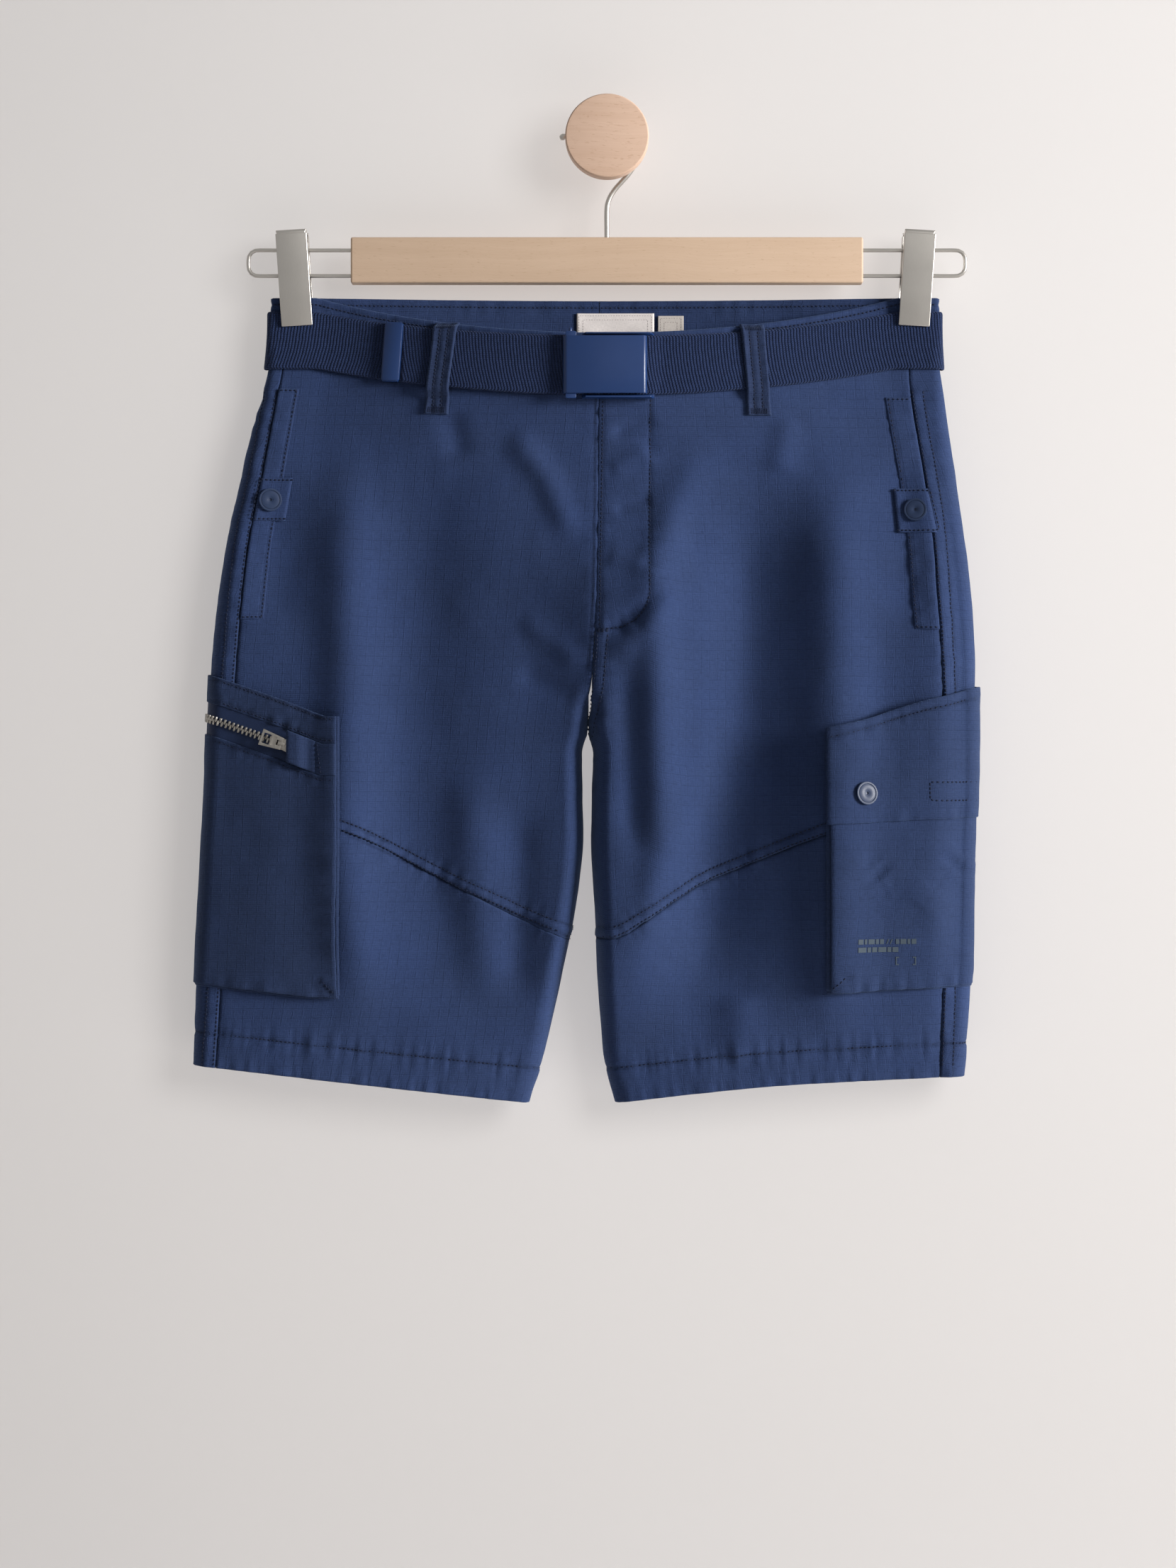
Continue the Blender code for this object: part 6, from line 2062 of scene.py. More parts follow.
@dataclass
class FlapPocket(CargoPocket):
    """The wearer's left pocket: a flap with a press stud, a tab and a tonal print."""

    flap_width: float = 96.0

    def build(self, cap: bpy.types.Object) -> None:
        """Makes the pocket.

        Args:
            cap: The press stud's cap, to be copied.
        """
        shape, side, skin = self.shape, self.shape.side, STRIP + 0.1 * MM
        face_top = shape.line(shape.top, 8 * MM)
        foot = shape.line(shape.foot)
        front_edge = Route(((147.6, -392), (147.6, -561)))
        foot_edge = shape.outline(shape.foot, "front", -1.0, 150, 240)
        seams = [
            Seam(front_edge, pucker=0.4, groove=0.0, reach=7.0, seed=50),
            Seam(foot_edge, pucker=0.5, groove=0.0, reach=8.0, seed=51),
            Seam(Route(((147, -561.5), (158, -549))), pucker=0.5, groove=0.12, reach=6.0, seed=52),
            # These last two are creases rather than seams; the second also darkens its line with faint painted shade.
            Seam(Route(((170, -475), (186, -500))), pucker=0.9, groove=-0.3, reach=9.0, seed=53),
            Seam(Route(((232, -470), (196, -520))), pucker=0.9, groove=0.05, reach=10.0, seed=54),
        ]
        face = ClothPiece(
            "cargo_flap_pocket_face", side, shape.columns(1.5 * MM, 44), face_top, foot, 74, shape.bellows, skin,
            seams, 0.7,
        )
        declare_sheet(dress(face.build(), "flap", replaces=["cargo_left_face"]))
        self.bellows(face_top, "cargo_left_gusset")

        def over_face(side: Side, station: Array, z: Array) -> Array:
            return shape.bellows(side, station, z) + skin + 0.55 * MM

        def flap_foot(side: Side, station: Array) -> Array:
            x = FORM.x_at(side, station, -0.45) / MM
            front = -452.6 + (x - 144.8) / self.flap_width * 4.8
            return np.where(station <= SIDE_FOLD, front, -447.8) * MM

        top_stitch = shape.outline(shape.top, "front", 6.4, 146, 240)
        flap_seams = [
            Seam(top_stitch, 7.0, 0.3, 0.3, 0.4, 6.0, 55),
            Seam(Route(((145.5, -391), (145.5, -452))), pucker=0.35, groove=0.0, reach=6.0, seed=56),
            Seam(Route(((146, -451.5), (240, -447))), pucker=0.4, groove=0.0, reach=7.0, seed=57),
        ]
        flap = ClothPiece(
            "cargo_flap", side, shape.columns(0.0, 44), shape.line(shape.top), flap_foot, 36, over_face, skin,
            flap_seams, 0.6,
        )
        declare_sheet(dress(flap.build(), "flap", replaces=["cargo_left_flap"]))
        t = self.thread
        t.sew(flap, top_stitch)
        t.sew(flap, shape.outline(shape.top, "back", 6.4, 150, 240), "back")
        t.sew(flap, Route(((210.7, -425.2), (210.7, -437.1), (240.4, -436.4))))
        t.sew(flap, Route(((210.7, -425.2), (240.4, -424.4))))
        self.dart(face)
        dress(t.build("stitches_flap_pocket"), "thread")
        place = seat_of(flap, 165.0, -432.9, 0.02 * MM)
        dress(copy_of(cap, "press_stud_flap", place), "stud", replaces=["snap_cargo"])
        self.print_marks(face)

    def print_marks(self, face: ClothPiece) -> None:
        """Lays the tonal gloss print: plain bars, two slashes and a bracket pair.

        Args:
            face: The cloth that it is printed on.
        """
        bars = []
        x = 161.0
        for width in (3.2, 1.6, 4.4, 2.2, 3.0):
            bars.append(((x, -526.4), (x + width, -529.6)))
            x += width + 0.9
        slash = x + 1.0
        x = slash + 7.0
        for width in (2.4, 4.0, 1.8, 3.2):
            bars.append(((x, -526.4), (x + width, -529.6)))
            x += width + 0.9
        x = 161.0
        for width in (5.2, 2.4, 3.6, 6.0, 2.8, 4.2):
            bars.append(((x, -531.6), (x + width, -534.8)))
            x += width + 0.9
        brackets = [((188.0, -538.0), (188.7, -543.4)), ((201.2, -538.0), (201.9, -543.4))]
        brackets += [((188.0, -538.0), (190.2, -538.7)), ((188.0, -542.7), (190.2, -543.4))]
        brackets += [((199.7, -538.0), (201.9, -538.7)), ((199.7, -542.7), (201.9, -543.4))]
        points, faces = [], []

        def add(corners: Sequence[tuple[float, float]]) -> None:
            spots = np.array(corners) * MM
            station = FORM.station(face.side, "front", spots[:, 0], spots[:, 1])
            high, _ = face.outer_at(station, spots[:, 1], 0.3 * MM)
            low, _ = face.outer_at(station, spots[:, 1], -0.1 * MM)
            first = len(points)
            points.extend([*low, *high])
            n = len(corners)
            faces.append([first + n + i for i in range(n)])
            faces.append([first + i for i in reversed(range(n))])
            after = [(i + 1) % n for i in range(n)]
            faces.extend([first + i, first + j, first + n + j, first + n + i] for i, j in enumerate(after))

        for (x0, z0), (x1, z1) in [*bars, *brackets]:
            add([(x0, z0), (x0, z1), (x1, z1), (x1, z0)])
        for shift in (0.0, 2.6):
            x = slash + shift
            add([(x + 1.3, -526.4), (x, -529.6), (x + 0.8, -529.6), (x + 2.1, -526.4)])
        obj = new_object("tonal_print", np.array(points), np.array(faces))
        obj.data.shade_flat()
        dress(obj, "print")


@dataclass
class ZipPocket(CargoPocket):
    """The wearer's right pocket: a sloping zip under a band, with its slider, pull and garage."""

    band: float = 18.0
    opening: float = 21.0
    margin: float = 13.0
    garage: float = 20.0
    tooth_pitch: float = 1.5

    def over_tape(self, side: Side, station: Array, z: Array) -> Array:
        """The layer just over the zip's tape."""
        return self.shape.bellows(side, station, z) + 0.9 * MM

    def build(self) -> None:
        """Makes the pocket and its zip."""
        shape, side, skin = self.shape, self.shape.side, STRIP + 0.1 * MM
        columns = shape.columns(0.0, 44)
        high, low = shape.line(shape.top), shape.line(shape.foot)
        above = shape.line(shape.top, self.band * MM)
        below = shape.line(shape.top, (self.band + self.opening) * MM)
        span = (-177.5, -258)
        rows = {drop: shape.outline(shape.top, "front", drop, *span) for drop in (2.2, 16.0, 42.0, 39.2)}
        top_seams = [
            Seam(rows[2.2], pucker=0.3, reach=5.0, seed=60),
            Seam(rows[16.0], pucker=0.4, reach=5.0, seed=61),
        ]
        edge = Route(((-176.5, -420), (-176.5, -565)))
        foot_edge = shape.outline(shape.foot, "front", -1.0, -180, -262)
        face_seams = [
            Seam(rows[42.0], pucker=0.4, reach=5.0, seed=62),
            Seam(edge, pucker=0.4, groove=0.0, reach=7.0, seed=63),
            Seam(foot_edge, pucker=0.4, groove=0.0, reach=7.0, seed=64),
            Seam(Route(((-178, -565), (-188, -553))), pucker=0.5, groove=0.3, reach=6.0, seed=65),
        ]
        upper = ClothPiece("zip_pocket_band", side, columns, high, above, 12, shape.bellows, skin, top_seams, 0.35)
        face = ClothPiece("zip_pocket_face", side, columns, below, low, 70, shape.bellows, skin, face_seams, 0.5)
        declare_sheet(dress(upper.build(), "cargo", replaces=["cargo_right_band"]))
        declare_sheet(dress(face.build(), "cargo", replaces=["cargo_right_face"]))
        self.bellows(high, "cargo_right_gusset")
        tape = ClothPiece(
            "zip_tape_cloth", side, columns, shape.line(shape.top, (self.band - 2) * MM),
            shape.line(shape.top, (self.band + self.opening + 2) * MM), 8,
            lambda side, s, z: shape.bellows(side, s, z) - 0.75 * MM, 0.7 * MM, rumple=0.1,
        )
        declare_sheet(dress(tape.build(), "zip_tape", replaces=["zip_tape"]))
        self.patches()
        t = self.thread
        t.sew(upper, rows[2.2])
        t.sew(upper, rows[16.0])
        t.sew(face, rows[42.0])
        for drop in (2.2, 16.0):
            t.sew(upper, shape.outline(shape.top, "back", drop, -182, -258), "back")
        t.sew(face, shape.outline(shape.top, "back", 42.0, -182, -258), "back")
        self.dart(face)
        self.teeth()
        self.slider()
        dress(t.build("stitches_zip_pocket"), "thread")

    def patches(self) -> None:
        """Makes the patches at the zip's ends and the garage that covers its stop."""
        shape, side = self.shape, self.shape.side
        high = shape.line(shape.top, (self.band + 0.2) * MM)
        low = shape.line(shape.top, (self.band + self.opening - 0.2) * MM)
        front, back = shape.front_x, shape.back_x
        stop = front - self.margin

        def patch(name: str, node: str, where: str, near: float, far: float, lift: Lift) -> ClothPiece:
            columns = Columns((at_x(side, where, near * MM), at_x(side, where, far * MM)), (10,))
            piece = ClothPiece(name, side, columns, high, low, 14, lift, STRIP, rumple=0.3)
            declare_sheet(dress(piece.build(), "cargo", replaces=[node]))
            return piece

        def level(side: Side, station: Array, z: Array) -> Array:
            return shape.bellows(side, station, z) + 0.12 * MM

        def raised(side: Side, station: Array, z: Array) -> Array:
            x = FORM.surface(side, station, z)[..., 0] / MM
            return level(side, station, z) + (0.3 + 3.6 * smooth((stop - x - 3) / 9)) * MM

        end = patch("zip_end_patch", "zip_end_front", "front", front, stop, level)
        patch("zip_end_patch_back", "zip_end_back", "back", back, back - self.margin, level)
        patch("zip_garage_patch", "zip_garage", "front", stop + 0.6, stop - self.garage, raised)
        up = shape.outline(shape.top, "front", self.band + 1.2, stop + 1.5, stop + 1.4).points[0]
        down = shape.outline(shape.top, "front", self.band + self.opening - 1.2, stop + 4.5, stop + 4.4).points[0]
        self.thread.sew(end, Route((up, down)))

    def spots(self, drop: float, stations: Array, over: float) -> tuple[Array, Array]:
        """Points and normals along the zip.

        Args:
            drop: How far below the pocket's top, in millimetres.
            stations: Stations along it.
            over: How far above the tape, in metres.

        Returns:
            The points and the normals.
        """
        side = self.shape.side
        z = self.shape.line(self.shape.top, drop * MM)(side, stations)
        base, normal = FORM.surface(side, stations, z), FORM.outward(side, stations, z)
        lift = self.over_tape(side, stations, z) - 0.9 * MM + over
        return base + normal * lift[..., None], normal

    def teeth(self) -> None:
        """Sets two rows of metal teeth, each tooth a small tapered block."""
        side, middle = self.shape.side, self.band + self.opening / 2
        start = self.shape.front_x - self.margin - self.garage - 1.5
        first = float(FORM.station(side, "front", np.array([start * MM]), np.array([-0.4]))[0])
        last = float(FORM.station(side, "back", np.array([(self.shape.back_x - 14) * MM]), np.array([-0.37]))[0])
        stations = np.linspace(first, last, 500)
        points, normals = self.spots(middle, stations, 0.2 * MM)
        run = np.concatenate([[0], np.cumsum(np.linalg.norm(np.diff(points, axis=0), axis=1))])
        at = np.arange(0, run[-1], self.tooth_pitch * MM)
        centre = np.stack([np.interp(at, run, points[:, i]) for i in range(3)], -1)
        up = np.stack([np.interp(at, run, normals[:, i]) for i in range(3)], -1)
        up /= np.linalg.norm(up, axis=1, keepdims=True)
        ahead = np.gradient(centre, axis=0)
        ahead /= np.linalg.norm(ahead, axis=1, keepdims=True)
        aside = np.cross(up, ahead)
        turn = np.where(np.arange(len(at)) % 2 == 0, 1.0, -1.0)[:, None]
        aside = aside * turn
        profile = [(-0.62, -0.75), (0.62, -0.75), (0.82, 1.6), (-0.82, 1.6), (-0.55, 2.75), (0.55, 2.75)]
        rings = []
        for height in (0.0, 0.85, 1.25):
            shrink = 1.0 if height < 1 else 0.62
            for a, b in profile:
                b_mid = 1.0 + (b - 1.0) * (1.0 if height < 1 else 0.8)
                rings.append(centre + ahead * a * shrink * MM + aside * b_mid * MM + up * height * MM)
        points = np.stack(rings, 1).reshape(-1, 3)
        outline = [0, 1, 2, 5, 4, 3]
        faces = []
        for layer in (0, 6):
            for i in range(6):
                a, b = outline[i], outline[(i + 1) % 6]
                faces.append((layer + a, layer + b, layer + 6 + b, layer + 6 + a))
        for layer, order in ((12, (0, 1, 2, 3)), (12, (3, 2, 5, 4)), (0, (3, 2, 1, 0)), (0, (4, 5, 2, 3))):
            faces.append(tuple(layer + i for i in order))
        faces = np.array(faces)
        whole = (faces[None] + 18 * np.arange(len(at))[:, None, None])
        whole[1::2] = whole[1::2, :, ::-1]
        obj = new_object("zip_teeth_rows", points, whole.reshape(-1, 4))
        obj.data.shade_flat()
        dress(obj, "nickel", replaces=["zip_teeth"])

    def slider(self) -> None:
        """Makes the slider's shield, with its bridge, and the pull that turns on it."""
        joint = frame["joints"][0]
        pivot = Vector(joint["pos_m"] if "pos_m" in joint else joint["position_m"])
        cross = -Vector(joint["axis"])
        low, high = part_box("zip_pull")
        ahead = ((low + high) / 2 - pivot)
        ahead = (ahead - cross * ahead.dot(cross)).normalized()
        out = ahead.cross(cross).normalized()
        place = axes(pivot, ahead, out)
        bench = Workbench("zip_slider_shield").block((9.6 * MM, 8.8 * MM, 1.1 * MM), (-2.0 * MM, 0, -1.15 * MM))
        bench.select(lambda centre, normal: normal.z > 0.9)
        bench.inset(0.9 * MM).extrude(0.35 * MM)
        bench.select(lambda centre, normal: normal.x > 0.9)
        bpy.ops.transform.resize(value=(1, 0.72, 1))
        shield = bench.finish(place, 0.35 * MM, 3)
        dress(shield, "nickel", replaces=["zip_slider"])
        base = Workbench("zip_slider_base").block((9.0 * MM, 8.4 * MM, 1.0 * MM), (-2.0 * MM, 0, -3.1 * MM))
        base.select(lambda centre, normal: normal.x < -0.9)
        bpy.ops.transform.resize(value=(1, 0.7, 1))
        dress(base.finish(place, 0.3 * MM, 2), "nickel")
        neck = Workbench("zip_slider_neck").block((2.2 * MM, 2.0 * MM, 2.2 * MM), (-4.6 * MM, 0, -2.2 * MM))
        neck.select(lambda centre, normal: abs(normal.z) > 0.9)
        neck.inset(0.3 * MM)
        dress(neck.finish(place, 0.15 * MM, 2), "nickel")
        bridge = Workbench("zip_slider_bridge").block((4.8 * MM, 2.0 * MM, 2.3 * MM), (0, 0, 0.05 * MM))
        bridge.select(lambda centre, normal: abs(normal.y) > 0.9)
        bridge.inset(0.62 * MM).bridge()
        dress(bridge.finish(place, 0.2 * MM, 2), "nickel")
        self.pull(place)

    def pull(self, place: Matrix) -> None:
        """Makes the pull: a tapered plate with a slot for the bridge, a window and a stepped grip.

        Args:
            place: Axes on its hinge, X towards its free end and Z outwards.
        """
        length, near, wide, narrow, thick = 15.0, -0.5, 11.0, 8.0, 1.1
        size = (length * MM, wide * MM, thick * MM)
        bench = Workbench("zip_pull_plate").block(size, ((length / 2 + near) * MM, 0, 0))
        bench.select(lambda centre, normal: normal.x < -0.9)
        bpy.ops.transform.resize(value=(1, narrow / wide, 1))
        deselect()
        obj = bench.obj
        obj.select_set(True)
        bpy.context.view_layer.objects.active = obj
        bpy.ops.object.mode_set(mode="EDIT")
        bpy.ops.mesh.select_all(action="SELECT")
        for x in (0.9, 3.6, 7.2, 8.0, 13.0):
            bpy.ops.mesh.select_all(action="SELECT")
            bpy.ops.mesh.bisect(plane_co=(x * MM, 0, 0), plane_no=(1, 0, 0))
        for y in (-3.4, -1.7, 1.7, 3.4):
            bpy.ops.mesh.select_all(action="SELECT")
            bpy.ops.mesh.bisect(plane_co=(0, y * MM, 0), plane_no=(0, 1, 0))
        bench.select(lambda c, n: abs(n.z) > 0.9 and 0.9 * MM < c.x < 3.6 * MM and abs(c.y) < 1.7 * MM)
        bench.bridge()
        bench.select(lambda c, n: abs(n.z) > 0.9 and 8.0 * MM < c.x < 13.0 * MM and abs(c.y) < 3.4 * MM)
        bpy.ops.mesh.dissolve_faces()
        bench.bridge()
        bench.select(lambda c, n: n.z > 0.9 and 3.6 * MM < c.x < 7.2 * MM and abs(c.y) < 3.4 * MM)
        bench.inset(0.4 * MM).extrude(-0.2 * MM)
        plate = bench.finish(place, 0.22 * MM, 2, 40)
        dress(plate, "nickel", "pull", ["zip_pull"])


# ---------------------------------------------------------------- belt and buckle
@dataclass
class Belt:
    """Webbing from the buckle round the back and through the buckle again, to its metal tip."""

    start_x: float = -23.0
    join_x: float = 44.0
    end_x: float = -134.5
    over_buckle: float = 2.0
    rows: tuple[float, ...] = (0.0, 0.018, 0.05, 0.12, 0.24, 0.38, 0.5, 0.62, 0.76, 0.88, 0.95, 0.982, 1.0)

    def layer(self, x: Array, tail: bool) -> Array:
        """Where the belt's inner face lies on the front.

        Args:
            x: Places across, in millimetres.
            tail: Whether this is the outer length.

        Returns:
            Its height over the cloth's inner face, in metres.
        """
        lift = BAND + LAP + self.over_buckle * MM * (1 - smooth((np.abs(x) - 25) / 12))
        return lift + (WEBBING + LAP) * smooth((14 - x) / 16) * float(tail)

    def front(self, start: float, end: float, pitch: float, tail: bool) -> list[tuple[Side, float, float]]:
        """Stops along the front between two places."""
        stops = []
        for x in np.linspace(start, end, max(2, int(abs(end - start) / pitch) + 1)):
            side = Side.LEFT if x > -5.3 else Side.RIGHT
            station = FORM.station(side, "front", np.array([x * MM]), np.array([-0.15]))[0]
            stops.append((side, float(station), float(self.layer(np.array([x]), tail)[0])))
        return stops

    def path(self) -> list[tuple[Side, float, float]]:
        """Stops from the belt's start to its tip: half, station and layer."""
        base, out = BAND + LAP, self.join_x
        stops = self.front(self.start_x, -out, 2.5, False)
        for side in (Side.RIGHT, Side.LEFT):
            edge = float(FORM.station(side, "front", np.array([side.sign * out * MM]), np.array([-0.15]))[0])
            stations = [*np.linspace(edge, 2, 44)[1:], *np.linspace(2, 4, 25)[1:], *np.linspace(4, 5.97, 60)[1:]]
            stops += [(side, s, base) for s in (stations if side is Side.RIGHT else reversed(stations))]
        stops += self.front(out, -out, 2.0, True)
        return stops + self.front(-out - 2.2, self.end_x, 2.2, True)

    def points(self, stops: Sequence[tuple[Side, float, float]], rows: Sequence[float]) -> tuple[Array, Array]:
        """Inner points of a strip through stops, with the form's normals.

        Args:
            stops: Half, station and layer of each.
            rows: Shares of the belt's width.

        Returns:
            The points and the normals, rows by stops.
        """
        sides = np.array([stop[0].sign for stop in stops])
        stations, layers = (np.array([stop[i] for stop in stops]) for i in (1, 2))
        share = np.array(rows)[:, None]
        points, normals = np.zeros((len(rows), len(stops), 3)), np.zeros((len(rows), len(stops), 3))
        for side in Side:
            here = sides == side.sign
            s = stations[here]
            z = FORM.belt_top(side, s) - BELT_WIDTH * share
            z = z + 0.3 * MM * RUMPLE(s * 5, 0.3) * np.where(share > 0.5, 1.0, -1.0)
            s = np.broadcast_to(s, z.shape)
            normals[:, here] = FORM.outward(side, s, z)
            wave = 0.22 * MM * RUMPLE(s * 7 + 9, share * 2.5)
            lift = layers[here] + wave
            points[:, here] = FORM.surface(side, s, z) + normals[:, here] * lift[..., None]
        return points, normals

    def build(self) -> None:
        """Makes the webbing and its tip."""
        stops = self.path()
        points, normals = self.points(stops, self.rows)
        edge = np.minimum(np.array(self.rows), 1 - np.array(self.rows)) * BELT_WIDTH
        half = (0.35 + 0.65 * np.sqrt(np.clip(edge / (1.3 * MM), 0, 1)))[:, None, None] / 2
        middle = points + normals * WEBBING / 2
        strip = cloth_shell("belt_webbing", middle - normals * WEBBING * half, middle + normals * WEBBING * half)
        dress(strip, "webbing", replaces=["belt"])
        declare_sheet(strip)
        self.tip()

    def tip(self) -> None:
        """Makes the folded metal cap on the belt's end, its corners cut."""
        stops = self.front(self.end_x - 0.5, self.end_x - 11.0, 10.0, True)
        points, normals = self.points(stops, (0.5,))
        centre, across = points[0].mean(0), points[0, 0] - points[0, -1]
        across[2] = -0.055 * abs(across[0])
        normal = normals[0].mean(0)
        place = axes(centre + normal * 1.25 * MM, across, normal)
        bench = Workbench("belt_tip_cap").block((12.4 * MM, 39.6 * MM, 3.2 * MM))
        bench.edges(lambda a, b: abs(a.z - b.z) > 3 * MM).bevel(1.3 * MM, 1)
        bench.select(lambda centre, normal: normal.z > 0.9)
        bench.inset(0.55 * MM).extrude(0.45 * MM)
        dress(bench.finish(place, 0.14 * MM, 2, 20), "enamel", replaces=["belt_tip"])


@dataclass
class Buckle:
    """A friction buckle: plate with a lip above and below the belt, pin, ears and folded cover."""

    middle_x: float = -1.4
    cover: tuple[float, float, float] = (55.0, 38.0, 1.5)
    plate: tuple[float, float, float] = (47.4, 42.6, 0.7)
    plate_shift: float = 8.6
    lip_depth: float = 7.3
    rolled_edge: tuple[tuple[float, float], ...] = ((0.0, 3.2), (0.5, 1.7), (1.2, 0.75), (2.0, 0.28), (2.9, 0.07))

    def build(self) -> None:
        """Makes the buckle."""
        x, z = np.array([self.middle_x * MM]), np.array([-0.15])
        station = FORM.station(Side.LEFT, "front", x, z)
        z = FORM.belt_top(Side.LEFT, station) - BELT_WIDTH / 2
        normal = FORM.outward(Side.LEFT, station, z)[0]
        base = FORM.surface(Side.LEFT, station, z)[0] + normal * (BAND + LAP + 0.15 * MM)
        place = axes(base - np.array([0, 0, 0.5 * MM]), (1, 0, 0), (0, normal[1], normal[2]))
        self.frame(place)
        self.lid(place)
        for sign in (1, -1):
            ear = Workbench(f"buckle_ear_{'top' if sign > 0 else 'foot'}")
            ear.block((7.0 * MM, 3.6 * MM, 2.4 * MM), (-22.3 * MM, sign * 20.3 * MM, 6.9 * MM))
            ear.edges(lambda a, b: abs(a.z - b.z) > 2 * MM).bevel(0.9 * MM, 3)
            dress(ear.finish(place, 0.3 * MM), "enamel")
        rivet = Workbench("buckle_rivet").turned(1.1 * MM, 3.0 * MM, 24)
        rivet.select(lambda centre, normal: normal.z > 0.9)
        rivet.inset(0.35 * MM).extrude(0.35 * MM)
        at = place @ Matrix.Translation((-22.6 * MM, 22.6 * MM, 6.9 * MM)) @ Matrix.Rotation(-math.pi / 2, 4, "X")
        dress(rivet.finish(at, 0.2 * MM, 2), "enamel")
        pin = Workbench("buckle_hinge_pin").turned(1.3 * MM, 38.5 * MM, 24)
        pin.select(lambda centre, normal: abs(normal.z) > 0.9)
        pin.inset(0.4 * MM).extrude(0.25 * MM)
        at = place @ Matrix.Translation((-24.6 * MM, 0.3 * MM, 6.8 * MM)) @ Matrix.Rotation(math.pi / 2, 4, "X")
        dress(pin.finish(at, 0.2 * MM, 2), "enamel", replaces=["buckle_pin"])

    def frame(self, place: Matrix) -> None:
        """Makes the plate under the belt, its lips slanting in towards the front."""
        width, height, thick = (value * MM for value in self.plate)
        bench = Workbench("buckle_plate").block((width, height, thick), (self.plate_shift * MM, 0, thick / 2))
        inner = height / 2 - 1.1 * MM
        bench.cut((0, inner, 0), (0, 1, 0)).cut((0, -inner, 0), (0, 1, 0))
        bench.select(lambda centre, normal: normal.z > 0.9 and abs(centre.y) > inner)
        bench.extrude(self.lip_depth * MM)
        bpy.ops.transform.resize(
            value=(0.9, 1.008, 1), center_override=(self.plate_shift * MM, 0, 0), orient_type="GLOBAL"
        )
        dress(bench.finish(place, 0.28 * MM, 2), "enamel", replaces=["buckle_frame"])

    def lid(self, place: Matrix) -> None:
        """Makes the cover, rolled over its hinge at one end and folded down at the other."""
        width, height, thick = (value * MM for value in self.cover)
        bench = Workbench("buckle_lid").block((width, height, thick), (0, 0, 9.1 * MM))
        half = width / 2
        drops = {-half: 2.3, -half + 0.8 * MM: 1.25, -half + 1.9 * MM: 0.55, -half + 3.2 * MM: 0.14}
        drops.update({half - inside * MM: drop for inside, drop in self.rolled_edge})
        for x in drops:
            if abs(x) < half:
                bench.cut((x, 0, 0), (1, 0, 0))
        for x, drop in drops.items():
            bench.points(lambda co, x=x: abs(co.x - x) < 0.05 * MM).shift((0, 0, -drop * MM))
        dress(bench.finish(place, 0.42 * MM, 3, 50), "enamel", replaces=["buckle_cover"])


@dataclass
class BeltLoop:
    """A folded strip sewn over the belt with a bar tack at each end."""

    name: str
    side: Side
    face: str
    x: float
    lean: float
    layers: int
    width: float = 16.2
    waist: float = 14.8
    long: float = 60.0

    def build(self, thread: Stitching, tack: Stitching) -> None:
        """Makes the loop.

        Args:
            thread: What its long rows are sewn with.
            tack: What its bar tacks are sewn with.
        """
        over = BAND + LAP + self.layers * (WEBBING + LAP) + 0.1 * MM
        under = PANEL + LAP
        middle = FORM.station(self.side, self.face, np.array([self.x * MM]), np.array([-0.13]))
        top = float(FORM.waist_top(self.side, middle)[0]) - 0.3 * MM
        high = float(FORM.belt_top(self.side, middle)[0]) + 0.9 * MM
        low = high - 2.1 * MM - BELT_WIDTH
        stops = [
            (top, BAND + LAP), (top - 1.2 * MM, BAND + LAP), (high, over), (high - 13 * MM, over),
            (high - 26 * MM, over), (low, over), (low - 4.5 * MM, under + 1.0 * MM), (low - 6.5 * MM, under),
            (top - self.long * MM, under),
        ]
        height = SoftCurve(*zip(*stops))

        def edge(sign: float) -> Station:
            def at(z: Array) -> Array:
                share = np.clip((top - z) / (self.long * MM), 0, 1)
                half = (self.waist + (self.width - self.waist) * np.abs(2 * share - 1) ** 3) / 2
                x = (self.x + self.lean * share + sign * half) * MM
                return FORM.station(self.side, self.face, x, z)

            return at

        ends = (edge(-1), edge(1)) if (self.face == "front") == (self.side is Side.LEFT) else (edge(1), edge(-1))

        def column(across: float, z0: float = 1.0, z1: float = 59.0) -> Route:
            places = []
            for z in np.linspace(z0, z1, 12):
                places.append((self.x + self.lean * z / self.long + across, top / MM - z))
            return Route(tuple(places))

        seams = [
            Seam(column(-2.7), pucker=0.16, groove=0.2, reach=2.5, seed=70),
            Seam(column(2.7), pucker=0.16, groove=0.2, reach=2.5, seed=71),
            Seam(column(-self.waist / 2 + 0.6), pucker=0.1, groove=-0.25, reach=2.0, seed=72),
            Seam(column(self.waist / 2 - 0.6), pucker=0.1, groove=-0.25, reach=2.0, seed=73),
        ]
        piece = ClothPiece(
            f"belt_loop_{self.name}_strip", self.side, Columns(ends, (18,)),
            straight(top), straight(top - self.long * MM), 74,
            lambda side, s, z: height(z), 1.6 * MM, seams, 0.2,
        )
        declare_sheet(dress(piece.build(), "loop", replaces=[f"belt_loop_{self.name}"]))
        for across in (-2.7, 2.7):
            thread.sew(piece, column(across, 5.0, 55.5), self.face)
        for z in (*np.arange(1.2, 4.4, 0.75), *np.arange(55.8, 59.2, 0.75)):
            x, here = self.x + self.lean * z / self.long, top / MM - z
            tack.sew(piece, Route(((x - 5.6, here), (x + 5.6, here))), self.face)


LOOPS = (
    BeltLoop("front_right", Side.RIGHT, "front", -104.4, -7.8, 2),
    BeltLoop("front_left", Side.LEFT, "front", 94.6, 5.2, 1),
    BeltLoop("back_right", Side.RIGHT, "back", -118.0, -3.0, 1),
    BeltLoop("back_left", Side.LEFT, "back", 118.0, 3.0, 1),
    BeltLoop("back_centre", Side.LEFT, "back", 4.4, 0.0, 1),
)


